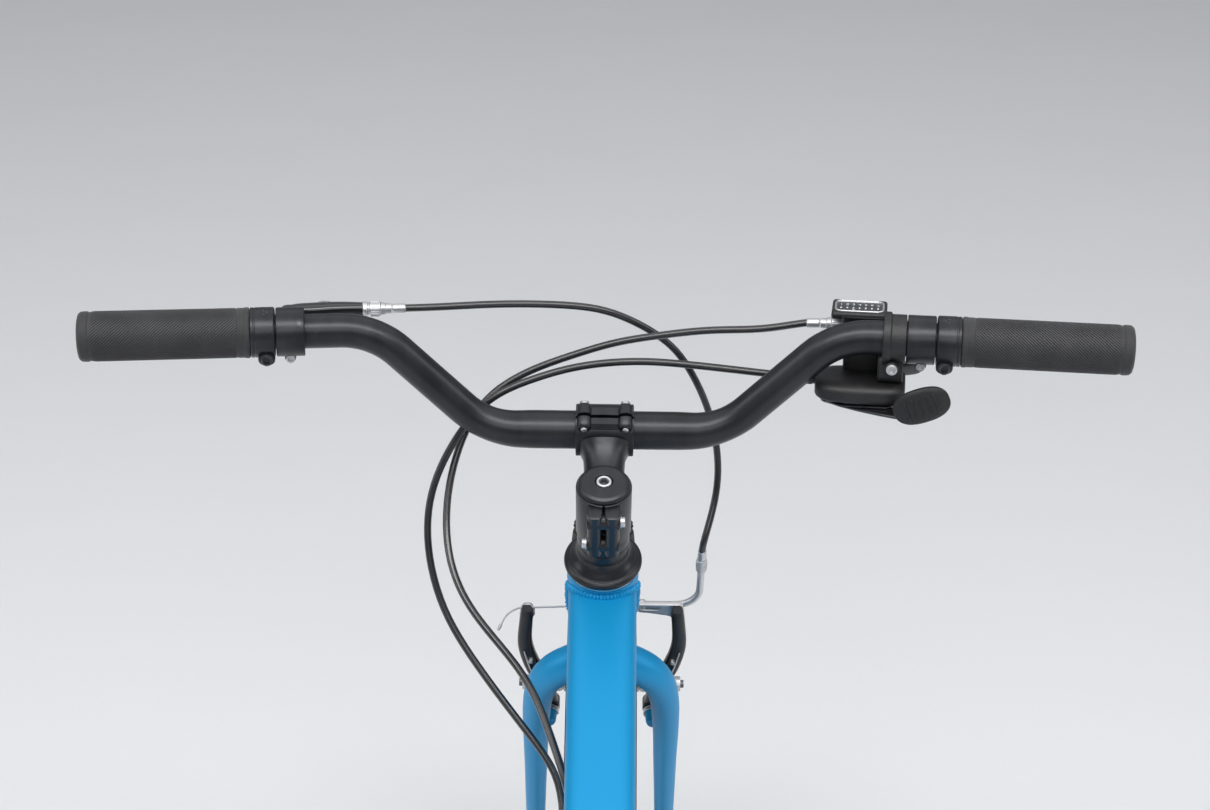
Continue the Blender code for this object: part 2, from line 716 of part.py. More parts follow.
def bar_clamp(half):
    """Half of the clamp round the bar: half is 1 for the faceplate and -1 for the stem's side."""
    frame = stem_frame()
    barrel_radius = BAR_CENTRE_RADIUS + BAR_CLAMP_WALL
    side = Vector((BAR_CLAMP_WIDTH / 2, 0, 0))
    pieces = [rod(bar_centre() - side, bar_centre() + side, barrel_radius, sides=14)]
    depth = 0.009
    for bolt_side in (-1, 1):
        ears = frame @ Matrix.Translation((bolt_side * BAR_BOLT_X, half * depth / 2, 0))
        pieces.append(block(ears, (0.0088, depth, 2 * BAR_EAR_HEIGHT)))
    far = 0.060
    other_half = frame @ Matrix.Translation((0, half * (BAR_SPLIT / 2 - far / 2), 0))
    bore = bore_radius(BAR_CENTRE_RADIUS)
    cuts = [block(other_half, (far, far, far)),
            rod(bar_centre() - 2 * side, bar_centre() + 2 * side, bore, sides=14)]
    return pieces, cuts


def stem(surface):
    """The stem: the clamp on the steerer with its slit and two opposed bolts, the neck, the clamp."""
    low, high = on_head(STEM_BOTTOM), on_head(STEM_TOP)
    middle = (low + high) / 2
    pieces, cuts = bar_clamp(-1)
    pieces.insert(0, rod(low, high, STEM_CLAMP_RADIUS, sides=14))
    reach = stem_frame().col[1].xyz
    pieces.append(rod(middle, bar_centre() - 0.012 * reach, STEM_NECK_RADIUS + 0.002,
                      STEM_NECK_RADIUS, sides=14))
    lug = on_head((STEM_BOTTOM + STEM_TOP) / 2, -0.021)
    pieces.append(block(frame_of(lug, RIGHT, FORWARD_HEAD, UP_HEAD), (0.020, 0.014, 0.037), 0.002))
    for side, share in ((1, 0.76), (-1, 0.24)):
        at = on_head(STEM_BOTTOM + share * STEM_CLAMP_HEIGHT, -0.0225)
        pieces.append(rod(at, at + side * 0.0135 * RIGHT, 0.0036, sides=12))
    slit = on_head((STEM_BOTTOM + STEM_TOP) / 2, -0.025)
    cuts.append(block(frame_of(slit, RIGHT, FORWARD_HEAD, UP_HEAD), (0.0016, 0.030, 0.060)))
    cuts.append(rod(low - 0.01 * UP_HEAD, high + 0.01 * UP_HEAD, bore_radius(STEERER_RADIUS),
                    sides=14))
    return finish("stem", surface, pieces, cuts)


def stem_faceplate(surface):
    """The front half of the bar clamp with its four bolt heads."""
    frame = stem_frame()
    pieces, cuts = bar_clamp(1)
    for side in (-1, 1):
        for level in (-1, 1):
            at = frame @ Vector((side * BAR_BOLT_X, 0.006, level * (BAR_EAR_HEIGHT - 0.0035)))
            pieces.append(rod(at, at + 0.0075 * frame.col[1].xyz, BAR_BOLT_RADIUS))
    return finish("stem_faceplate", surface, pieces, cuts)


def top_cap(surface):
    """The domed cap on the steerer, with the recess that its bolt sits in."""
    height, radius = TOP_CAP_HEIGHT, TOP_CAP_RADIUS
    profile = [(0.0060, height), (radius - 0.005, height), (radius - 0.0012, height - 0.0014),
               (radius, height - 0.0028), (radius, 0), (0.0034, 0), (0.0034, height - 0.0028),
               (0.0060, height - 0.0024)]
    return finish("top_cap", surface, [turned(profile, aimed(on_head(STEM_TOP + GAP), UP_HEAD))])


def top_cap_bolt(surface):
    base = STEM_TOP + GAP
    head = base + TOP_CAP_HEIGHT - 0.0020
    pieces = [rod(on_head(head), on_head(head + 0.0028), 0.0052, 0.0046, sides=12),
              rod(on_head(STEERER_TOP + GAP), on_head(head + 0.001), 0.0028)]
    socket = rod(on_head(head + 0.0009), on_head(head + 0.01), 0.0028, sides=6)
    return finish("top_cap_bolt", surface, pieces, [socket])


# Handlebar and what is clamped to it

def bar_corners():
    """The bar's corner points from the left end to the right one, before its bends are rounded."""
    half = BAR_LENGTH / 2
    outer = half - BAR_BEND_OUTER_X
    right_half = [Vector((BAR_BEND_INNER_X, 0, 0)), Vector((BAR_BEND_OUTER_X, 0, BAR_RISE)),
                  Vector((half, -outer * math.tan(BAR_BACKSWEEP),
                          BAR_RISE + outer * math.tan(BAR_UPSWEEP)))]
    left_half = [Vector((-point.x, point.y, point.z)) for point in reversed(right_half)]
    return [bar_centre() + point for point in left_half + right_half]


def handlebar(surface):
    corners = bar_corners()
    points = rounded_path(corners, BAR_BEND_RADIUS, math.radians(16))
    for x in (-BAR_TAPER_END, -BAR_CENTRE_HALF, BAR_CENTRE_HALF, BAR_TAPER_END):
        points = with_station(points, x)
    factors = []
    for point in points:
        share = (abs(point.x) - BAR_CENTRE_HALF) / (BAR_TAPER_END - BAR_CENTRE_HALF)
        share = min(1, max(0, share))
        radius = BAR_CENTRE_RADIUS + share * (BAR_END_RADIUS - BAR_CENTRE_RADIUS)
        factors.append(radius / BAR_CENTRE_RADIUS)
    return finish("handlebar", surface, [pipe(points, BAR_CENTRE_RADIUS, 3, factors)])


def with_station(points, x):
    """The points with one more at x, where the line passes it."""
    for index, (before, after) in enumerate(zip(points, points[1:])):
        if before.x + 1e-4 < x < after.x - 1e-4:
            share = (x - before.x) / (after.x - before.x)
            return points[:index + 1] + [before.lerp(after, share)] + points[index + 1:]
    return points


class Hand:
    """Places on one end of the bar: distance in from its end, then forward and up from its axis."""

    def __init__(self, side):
        corners = bar_corners()
        self.side = side
        self.end = corners[-1] if side > 0 else corners[0]
        inner = corners[-2] if side > 0 else corners[1]
        self.inward = (inner - self.end).normalized()
        self.forward = Vector((0, 0, 1)).cross(self.inward).normalized() * (-side)
        self.up = self.inward.cross(self.forward).normalized() * (-side)

    def at(self, inward, forward=0.0, up=0.0, tilt=0.0):
        turned_forward = math.cos(tilt) * self.forward + math.sin(tilt) * self.up
        turned_up = math.cos(tilt) * self.up - math.sin(tilt) * self.forward
        return self.end + inward * self.inward + forward * turned_forward + up * turned_up


def side_name(side):
    return "right" if side > 0 else "left"


def grip(hand, surface):
    """The rubber sleeve with its closed end, over the bar."""
    bore = bore_radius(BAR_END_RADIUS)
    top = GRIP_CAP + GRIP_LENGTH
    profile = [(0, 0), (GRIP_RADIUS - 0.003, 0), (GRIP_RADIUS - 0.0008, 0.001),
               (GRIP_RADIUS, GRIP_CAP), (GRIP_RADIUS, top - 0.0005), (bore, top - 0.0005),
               (bore, GRIP_CAP - GAP), (0, GRIP_CAP - GAP)]
    frame = aimed(hand.at(-GRIP_CAP), hand.inward)
    return finish(f"grip_{side_name(hand.side)}", surface, [turned(profile, frame, 14, False)])


def grip_clamp(hand, surface):
    """The lock ring at the grip's inner end, with the bump that holds its bolt."""
    start = GRIP_LENGTH
    end = start + GRIP_CLAMP_WIDTH
    body = rod(hand.at(start), hand.at(end), GRIP_RADIUS + 0.0002, sides=14)
    middle = (start + end) / 2
    bump = rod(hand.at(middle + 0.003, -0.0145, -0.0142), hand.at(middle + 0.003, 0.002, -0.0142),
               0.0050)
    bore = rod(hand.at(start - 0.01), hand.at(end + 0.01), bore_radius(BAR_END_RADIUS), sides=14)
    return finish(f"grip_clamp_{side_name(hand.side)}", surface, [body, bump], [bore])


def clamp_start():
    return GRIP_LENGTH + GRIP_CLAMP_WIDTH + 2 * GAP


def lever_bracket(hand, surface):
    """The brake lever's clamp and bracket, reaching forward to the pivot and in to the cable barrel."""
    tilt = LEVER_TILT[hand.side]
    start = clamp_start()
    end = start + LEVER_CLAMP_WIDTH
    middle = (start + end) / 2
    barrel_start = start + 0.056
    across = hand.at(0.001, 0, 0) - hand.at(0, 0, 0)

    def at(inward, forward, up):
        return hand.at(start + inward, forward, up, tilt)

    def web(stations):
        rings = []
        for inward, forward, up, half_depth, half_height in stations:
            fore = (at(0, 1, 0) - at(0, 0, 0)) * half_depth
            rise = (at(0, 0, 1) - at(0, 0, 0)) * half_height
            rings.append(oval(at(inward, forward, up), fore, rise, 4, 8))
        return loft(rings)

    pieces = [rod(hand.at(start), hand.at(end), CONTROL_CLAMP_RADIUS, sides=14)]
    pieces.append(loft([oval(at(0.009, forward, up), 6.5 * across, (at(0, 0, 0.005) - at(0, 0, 0)),
                             4, 8) for forward, up in ((0.010, 0), (0.022, 0.001), (0.033, 0.001))]))
    pieces.append(web([(0.006, 0.0330, 0.0005, 0.0055, 0.0050), (0.022, 0.0365, 0.0005, 0.0060, 0.0045),
                       (0.040, 0.0370, LEVER_BARREL_UP, 0.0055, 0.0045),
                       (0.056, LEVER_BARREL_FORWARD, LEVER_BARREL_UP, 0.0045, 0.0042)]))
    pivot_inward, pivot_forward, pivot_up = LEVER_PIVOT
    pieces.append(rod(at(pivot_inward, pivot_forward, pivot_up + 0.0075),
                      at(pivot_inward, pivot_forward, pivot_up - 0.0118), 0.0022))
    barrel_in = barrel_start - start
    pieces.append(rod(at(barrel_in - 0.001, LEVER_BARREL_FORWARD, LEVER_BARREL_UP),
                      at(barrel_in + 0.019, LEVER_BARREL_FORWARD, LEVER_BARREL_UP),
                      LEVER_BARREL_RADIUS + 0.0008, 0.0032))
    pieces.append(rod(hand.at(middle - 0.001, -0.004, -0.0165), hand.at(middle - 0.001, 0.010, -0.0165),
                      0.0032))
    bore = rod(hand.at(start - 0.01), hand.at(end + 0.01), bore_radius(BAR_END_RADIUS), sides=14)
    return finish(f"lever_bracket_{side_name(hand.side)}", surface, pieces, [bore])


def lever_pivot(hand):
    inward, forward, up = LEVER_PIVOT
    return hand.at(clamp_start() + inward, forward, up - 0.006, LEVER_TILT[hand.side])


def lever_axis(hand):
    tilt = LEVER_TILT[hand.side]
    return (hand.at(0, 0, 1, tilt) - hand.at(0, 0, 0, tilt)).normalized() * (-hand.side)


def brake_lever(hand, surface):
    """The blade: a hub on the pivot below the bracket, then a bowed two-finger blade to its knob."""
    tilt = LEVER_TILT[hand.side]
    start = clamp_start()
    pivot_inward, pivot_forward, pivot_up = LEVER_PIVOT
    hub_forward = pivot_forward
    level = pivot_up - 0.0045

    def at(inward, forward, up):
        return hand.at(start + inward, forward, up, tilt)

    rings = []
    count = 7
    for index in range(count):
        share = index / (count - 1)
        inward = pivot_inward + 0.002 - share * LEVER_LENGTH
        bow = math.sin(math.pi * share) * 0.005
        forward = hub_forward + (LEVER_REACH - hub_forward) * min(1, 2.2 * share) - bow * share
        drop = level - LEVER_DROP * share
        half_depth = 0.0042 - 0.0012 * math.sin(math.pi * share)
        half_height = 0.0036 + 0.0014 * math.sin(math.pi * share)
        rings.append(oval(at(inward, forward, drop), at(0, half_depth, 0) - at(0, 0, 0),
                          at(0, 0, half_height) - at(0, 0, 0), 3, 8))
    tip = pivot_inward + 0.002 - LEVER_LENGTH
    pieces = [loft(rings),
              rod(at(pivot_inward, hub_forward, level + 0.0036),
                  at(pivot_inward, hub_forward, level - 0.0036), 0.0065, sides=10),
              rod(at(tip, LEVER_REACH + 0.001, level - LEVER_DROP + 0.0042),
                  at(tip, LEVER_REACH + 0.001, level - LEVER_DROP - 0.0042), 0.0050)]
    bore = rod(at(pivot_inward, hub_forward, level + 0.02), at(pivot_inward, hub_forward, level - 0.02),
               bore_radius(0.0022, 8))
    return finish(f"brake_lever_{side_name(hand.side)}", surface, pieces, [bore])


def shifter_start():
    return clamp_start() + LEVER_CLAMP_WIDTH + 2 * GAP


def shifter_body(hand, surface):
    """The shifter: its clamp, the pod under the bar, the gear window in front and the cable's exit."""
    start = shifter_start()
    end = start + SHIFTER_CLAMP_WIDTH
    pod_bottom = SHIFTER_POD_TOP - SHIFTER_POD_HEIGHT
    pod_middle = (SHIFTER_POD_TOP + pod_bottom) / 2
    axes = (hand.inward, hand.forward, hand.up)
    pieces = [rod(hand.at(start), hand.at(end), CONTROL_CLAMP_RADIUS, sides=14),
              rod(hand.at(end - 0.0048), hand.at(end + 0.0002), CONTROL_CLAMP_RADIUS + 0.0015, sides=14)]

    def box(low, high, rounding):
        middle = [(a + b) / 2 for a, b in zip(low, high)]
        size = [b - a for a, b in zip(low, high)]
        return block(frame_of(hand.at(*middle), *axes), size, rounding)

    pieces.append(box((start + 0.001, -0.010, pod_middle), (end + 0.003, 0.024, -0.010), 0.0015))
    rings = []
    for share, depth, height in ((0, 0.72, 0.80), (0.08, 0.92, 0.96), (0.3, 1.0, 1.0),
                                 (0.7, 1.0, 0.96), (0.93, 0.80, 0.86), (1.0, 0.60, 0.66)):
        centre = hand.at(start - 0.001 + share * SHIFTER_POD_LENGTH, 0.008, pod_middle)
        rings.append(oval(centre, 0.022 * depth * hand.forward,
                          SHIFTER_POD_HEIGHT / 2 * height * hand.up, 3.2, 12))
    pieces.append(loft(rings))
    pieces.append(box((end - 0.002, 0.0135, pod_middle), (end + 0.029, 0.0240, 0.0090), 0.0015))
    pieces.append(box((end - 0.001, 0.0135, 0.0070), (end + 0.036, 0.0410, 0.0120), 0.0014))
    exit_at = start + SHIFTER_POD_LENGTH - 0.004
    pieces.append(rod(hand.at(exit_at - 0.006, 0.018, pod_middle), hand.at(exit_at + 0.020, 0.018, pod_middle),
                      0.0046, 0.0036))
    pieces.append(rod(hand.at((start + end) / 2 + 0.001, -0.0175, -0.0155),
                      hand.at((start + end) / 2 + 0.001, 0.002, -0.0155), 0.0042))
    bore = rod(hand.at(start - 0.01), hand.at(end + 0.01), bore_radius(BAR_END_RADIUS), sides=14)
    return finish("shifter_body", surface, pieces, [bore])


def thumb_pivot(hand):
    return hand.at(shifter_start() + 0.040, 0.008, SHIFTER_POD_TOP - SHIFTER_POD_HEIGHT - 0.002)


def thumb_lever(hand, surface):
    """The arm under the pod, with the paddle at its outer end for the thumb."""
    start = shifter_start()
    level = SHIFTER_POD_TOP - SHIFTER_POD_HEIGHT - GAP - THUMB_LEVER_THICKNESS / 2
    half = THUMB_LEVER_THICKNESS / 2
    arm = loft([oval(hand.at(start + inward, forward, level), width * hand.forward, half * hand.up, 4, 8)
                for inward, forward, width in ((0.046, 0.006, 0.007), (0.040, 0.004, 0.010),
                                               (0.015, -0.008, 0.009), (-0.004, -0.017, 0.006))])
    pieces = [arm]
    rings = []
    for offset, share in ((-1.0, 0.80), (-0.45, 1.0), (0.45, 1.0), (1.0, 0.86)):
        centre = hand.at(start - 0.012, -0.0225 + 0.0019 * offset, level + 0.0105)
        long_axis = 0.0185 * share * (hand.inward * 0.93 - hand.up * 0.37).normalized()
        short_axis = 0.0118 * share * (hand.up * 0.93 + hand.inward * 0.37).normalized()
        rings.append(oval(centre, long_axis, short_axis, 2.4, 12))
    pieces.append(loft(rings))
    return finish("shift_thumb_lever", surface, pieces)


def release_pivot(hand):
    return hand.at(shifter_start() + 0.022, 0.034, (SHIFTER_POD_TOP + SHIFTER_POD_TOP
                                                    - SHIFTER_POD_HEIGHT) / 2)


def release_lever(hand, surface):
    """The small trigger in front of the pod, for the forefinger."""
    start = shifter_start()
    level = SHIFTER_POD_TOP - SHIFTER_POD_HEIGHT / 2
    rings = [oval(hand.at(start + inward, forward, level), depth * hand.forward, height * hand.up, 3, 8)
             for inward, forward, depth, height in ((0.028, 0.0328, 0.0026, 0.0040),
                                                    (0.018, 0.0343, 0.0030, 0.0045),
                                                    (0.004, 0.0393, 0.0024, 0.0050),
                                                    (-0.012, 0.0453, 0.0016, 0.0042))]
    return finish("shift_release_lever", surface, [loft(rings)])


# Rim brakes

def front_brake_frame():
    """The front brake's frame between its bosses: Y runs out along the studs and Z up the arms."""
    boss_drop = FORK_LENGTH - math.sqrt(BOSS_TO_AXLE ** 2 - (BRAKE_PLANE - FORK_RAKE) ** 2)
    return frame_of(on_head(-boss_drop, BRAKE_PLANE), RIGHT, FORWARD_HEAD, UP_HEAD)


def stay_direction():
    """The seat stays' line in the side view, from the rear axle up to the seat tube."""
    top = on_seat_tube(TOP_TUBE_REAR_AT + 0.006)
    return (Vector((0, top.y, top.z)) - REAR_AXLE).normalized()


def rear_brake_frame():
    up = stay_direction()
    out = Vector((0, -up.z, up.y))
    centre = REAR_AXLE + BOSS_TO_AXLE * up + REAR_BRAKE_OFFSET * out
    return frame_of(centre, out.cross(up), out, up)


def brake_boss(frame, side):
    """One boss with the stud that an arm turns on and the screw head that holds it there."""
    half = BRAKE_ARM_THICKNESS / 2
    face, head = -half - GAP, half + GAP
    profile = [(0, head + 0.0031), (0.0068, head + 0.0031), (0.0068, head), (BRAKE_STUD_RADIUS, head),
               (BRAKE_STUD_RADIUS, face), (0.0064, face), (0.0064, -0.028), (0, -0.028)]
    place = frame @ Vector((side * BOSS_SPREAD / 2, 0, 0))
    return [turned(profile, aimed(place, frame.col[1].xyz), 10, False)]


def brake_arm(name, frame, side, surface):
    """One arm: its hub on the stud, the pad's slot, the bow round the tyre and its top."""
    half = BRAKE_ARM_THICKNESS / 2
    spread = BOSS_SPREAD / 2
    stations = ((spread, 0.000, 0.0075), (spread + 0.0035, 0.027, 0.0070),
                (spread + 0.012, 0.050, 0.0062), (spread + 0.0165, 0.074, 0.0055),
                (spread + BRAKE_TOP_BOW, BRAKE_ARM_HEIGHT, 0.0048))
    outline = [(x + width, z) for x, z, width in stations]
    outline += [(x - width, z) for x, z, width in reversed(stations)]
    outline = [(side * x, z) for x, z in outline]
    flat = frame @ Matrix.Rotation(math.pi / 2, 4, "X")
    pieces = [plate(outline, BRAKE_ARM_THICKNESS - 0.001, flat)]
    hub_x = side * spread
    pieces.append(rod(frame @ Vector((hub_x, -half, 0)), frame @ Vector((hub_x, half, 0)),
                      BRAKE_HUB_RADIUS, sides=12))
    top = Vector((side * (spread + BRAKE_TOP_BOW), 0, BRAKE_ARM_HEIGHT - 0.007))
    pieces.append(rod(frame @ (top + Vector((0, half - 0.001, 0))),
                      frame @ (top + Vector((0, half + 0.0040, 0))), 0.0022))
    if side < 0:
        pieces.append(rod(frame @ (top + Vector((0, half + 0.0033, 0))),
                          frame @ (top + Vector((0, half + 0.0068, 0))), 0.0048))
    cuts = [rod(frame @ Vector((hub_x, -0.02, 0)), frame @ Vector((hub_x, 0.02, 0)),
                bore_radius(BRAKE_STUD_RADIUS, 12), sides=12)]
    return finish(name, surface, pieces, cuts)


def pad_height():
    """The pad's centre above the boss: level with the middle of the rim's side wall."""
    return RIM_LIP_RADIUS - 0.0065 - BOSS_TO_AXLE


def brake_pad(name, frame, side, surface, shift):
    """The block beside the rim, shift out from its post, which the arm holds it by."""
    inner = RIM_WIDTH / 2 + PAD_RUN_CLEARANCE
    arm_inner = BOSS_SPREAD / 2 - 0.0052
    z = pad_height()
    middle = side * (inner + PAD_THICKNESS / 2)
    pieces = [block(frame @ Matrix.Translation((middle, shift, z)),
                    (PAD_THICKNESS, PAD_LENGTH, PAD_HEIGHT)),
              rod(frame @ Vector((side * (inner + PAD_THICKNESS - 0.001), 0, z)),
                  frame @ Vector((side * arm_inner, 0, z)), 0.0048, 0.0060, 10)]
    return finish(name, surface, pieces)


def noodle(name, frame, surface):
    """The bent guide tube and the stirrup that hangs it from the arm's top pin."""
    line = BRAKE_ARM_HEIGHT - 0.002
    y = NOODLE_FORWARD
    corners = [(NOODLE_TIP_X, y, line), (NOODLE_SIDE_X, y, line), (NOODLE_SIDE_X, y, line + NOODLE_RISE)]
    points = rounded_path([frame @ Vector(corner) for corner in corners], NOODLE_BEND,
                          math.radians(18))
    top = frame @ Vector(corners[2])
    up = frame.col[2].xyz
    pin_x = BOSS_SPREAD / 2 + BRAKE_TOP_BOW
    flat = frame @ Matrix.Translation((0, BRAKE_ARM_THICKNESS / 2 + 0.0024, 0))
    flat = flat @ Matrix.Rotation(math.pi / 2, 4, "X")
    stirrup = [(NOODLE_TIP_X + 0.001, line + 0.0045), (pin_x + 0.004, line + 0.0045),
               (pin_x + 0.004, line - 0.0105), (pin_x - 0.006, line - 0.0105),
               (NOODLE_TIP_X + 0.001, line - 0.0045)]
    pieces = [pipe(points, NOODLE_RADIUS, 1),
              rod(top - 0.006 * up, top + 0.006 * up, 0.0038),
              plate(stirrup, 0.0038, flat)]
    pin = rod(frame @ Vector((pin_x, 0, line - 0.005)), frame @ Vector((pin_x, 0.02, line - 0.005)),
              bore_radius(0.0022, 8, 2 * GAP))
    return finish(name, surface, pieces, [pin])


def noodle_end(frame):
    return frame @ Vector((NOODLE_SIDE_X, NOODLE_FORWARD, BRAKE_ARM_HEIGHT - 0.002 + NOODLE_RISE + 0.006))


def brake_wire(name, frame, surface):
    """The bare wire from the noodle's tip to the other arm's clamp, and its loose tail."""
    level = BRAKE_ARM_HEIGHT - 0.002
    clamp_x = -(BOSS_SPREAD / 2 + BRAKE_TOP_BOW)
    clamp_y = BRAKE_ARM_THICKNESS / 2 + WIRE_RADIUS + 0.0006
    route = [(NOODLE_TIP_X - 0.0007, NOODLE_FORWARD, level), (0.0, 0.0090, level - 0.0004),
             (clamp_x + 0.010, clamp_y + 0.0004, level - 0.0008), (clamp_x, clamp_y, level - 0.0012),
             (clamp_x - 0.007, clamp_y + 0.0006, level - 0.0030),
             (clamp_x - 0.015, clamp_y + 0.0010, level - 0.0110),
             (clamp_x - 0.020, clamp_y, level - 0.0220)]
    line = smooth_path([frame @ Vector(point) for point in route], 2)
    return finish(name, surface, [pipe(line, WIRE_RADIUS, 0)])


def rim_brake(prefix, frame, surfaces, base, pad_shift):
    """Both arms, both pads, the noodle and the wire, each arm hung from the empty on its stud."""
    dark, rubber, silver = surfaces
    out = frame.col[1].xyz
    for side in (-1, 1):
        hand_name = side_name(side * frame.col[0].x)
        arm = brake_arm(f"{prefix}_brake_arm_{hand_name}", frame, side, dark)
        pad = brake_pad(f"{prefix}_brake_pad_{hand_name}", frame, side, rubber, pad_shift)
        pivot = joint_empty(f"{prefix}_brake_{hand_name}_axis",
                            frame @ Vector((side * BOSS_SPREAD / 2, 0, 0)), out)
        hang(base, pivot)
        hang(pivot, arm, pad)
        if side > 0:
            hang(pivot, noodle(f"{prefix}_brake_noodle", frame, silver))
    hang(base, brake_wire(f"{prefix}_brake_wire", frame, silver))


# Frame

def tube_ring(centre, direction, width, height):
    """A flattened ring of points square to the direction, for the top tube."""
    rise = RIGHT.cross(direction).normalized()
    if rise.z < 0:
        rise = -rise
    return oval(centre, width / 2 * RIGHT, height / 2 * rise, 2.9, 16)


def chainstay_route(side):
    tip = REAR_AXLE + STAY_TIP_FROM_AXLE * (BB - REAR_AXLE).normalized()
    line = tip - BB
    stations = ((0.000, 0.018), (0.12, 0.0295), (0.25, 0.0375), (0.45, 0.0425), (0.75, 0.0500),
                (0.92, 0.0585))
    points = [BB + share * line + side * x * RIGHT for share, x in stations]
    points.append(tip + side * (REAR_DROPOUT_X - 0.0025) * RIGHT)
    return points, [1, 1, 0.97, 0.92, 0.82, 0.72, STAY_TIP_RADIUS / CHAINSTAY_RADIUS]


def seatstay_route(side):
    top = on_seat_tube(TOP_TUBE_REAR_AT + 0.006)
    tip = REAR_AXLE + STAY_TIP_FROM_AXLE * stay_direction()
    line = tip - top
    stations = ((0.000, 0.008), (0.045, 0.018), (0.13, 0.0300), (0.24, 0.0375), (0.48, 0.0420),
                (0.75, 0.0510), (0.92, 0.0595))
    points = [top + share * line + side * x * RIGHT for share, x in stations]
    points.append(tip + side * (REAR_DROPOUT_X - 0.0025) * RIGHT)
    return points, [1, 1, 1, 1, 0.97, 0.93, 0.86, STAY_TIP_RADIUS / SEATSTAY_RADIUS]


def stay_x(route, distance):
    """How far out the stay runs at a distance from the rear axle."""
    points, _ = route
    for before, after in zip(points, points[1:]):
        near = math.hypot(after.y - REAR_AXLE.y, after.z - REAR_AXLE.z)
        far = math.hypot(before.y - REAR_AXLE.y, before.z - REAR_AXLE.z)
        if near <= distance <= far:
            return before.x + (after.x - before.x) * (far - distance) / (far - near)
    return points[0].x


def rear_dropout(side):
    """The plate between the stays and the axle; the right one carries the derailleur's hanger."""
    x = side * (REAR_DROPOUT_X + DROPOUT_THICKNESS / 2)
    forward, up = BB - REAR_AXLE, stay_direction()
    low, high = (math.degrees(math.atan2(line.z, line.y)) for line in (forward, up))
    reach, waist, back = STAY_TIP_FROM_AXLE + 0.010, 0.028, DROPOUT_RADIUS
    outline = [(reach, low - 8), (reach, low + 8), (waist, (low + high) / 2), (reach, high - 8),
               (reach, high + 8), (0.022, high + 40), (back, high + 75), (back, high + 110),
               (back, high + 145)]
    if side > 0:
        tab = hanger_point() - REAR_AXLE
        middle, far = math.degrees(math.atan2(tab.z, tab.y)), tab.length
        outline += [(back, middle - 35), (far, middle - 20), (far + 0.008, middle - 12),
                    (far + 0.010, middle), (far + 0.008, middle + 11), (far, middle + 18)]
    else:
        outline += [(back, low - 140), (back, low - 105)]
    outline += [(back, low - 75), (0.022, low - 40)]
    points = [(radius * math.cos(math.radians(angle)), radius * math.sin(math.radians(angle)))
              for radius, angle in outline]
    return [plate(points, DROPOUT_THICKNESS, side_frame(x, REAR_AXLE.y, REAR_AXLE.z))]


def hanger_point():
    return Vector((0, REAR_AXLE.y - HANGER_BACK, REAR_AXLE.z - HANGER_DROP))


def down_tube_point(y):
    """The down tube's centre line at y."""
    top = on_head(DOWN_TUBE_AT)
    share = (y - BB.y) / (top.y - BB.y)
    return BB.lerp(Vector((0, top.y, top.z)), share)


def down_tube_normal():
    direction = (on_head(DOWN_TUBE_AT) - BB).normalized()
    return Vector((0, -direction.z, direction.y))


def by_top_tube(share, across, level):
    """A point share of the way along the top tube, across and level being parts of its half sizes."""
    rear, front = on_seat_tube(TOP_TUBE_REAR_AT), on_head(TOP_TUBE_FRONT_AT)
    width, height = (low + share * (high - low)
                     for low, high in zip(TOP_TUBE_REAR_SIZE, TOP_TUBE_FRONT_SIZE))
    return rear.lerp(front, share) + Vector((across * width / 2, 0, level * height / 2))


def cable_rests():
    """Small seats under the top tube and on the down tube's left, which the housings run on."""
    pieces = []
    along = on_head(TOP_TUBE_FRONT_AT) - on_seat_tube(TOP_TUBE_REAR_AT)
    tilt = Matrix.Rotation(math.atan2(along.z, along.y), 4, "X")
    for share in (0.573, 0.286):
        centre = by_top_tube(share, -0.68, -0.972)
        pieces.append(block(Matrix.Translation(centre) @ tilt, (0.006, 0.012, 0.004)))
    for y in (0.190, 0.100):
        centre = down_tube_point(y) - (DOWN_TUBE_RADIUS - 0.0002) * RIGHT
        pieces.append(block(Matrix.Translation(centre), (0.002, 0.010, 0.010)))
    return pieces


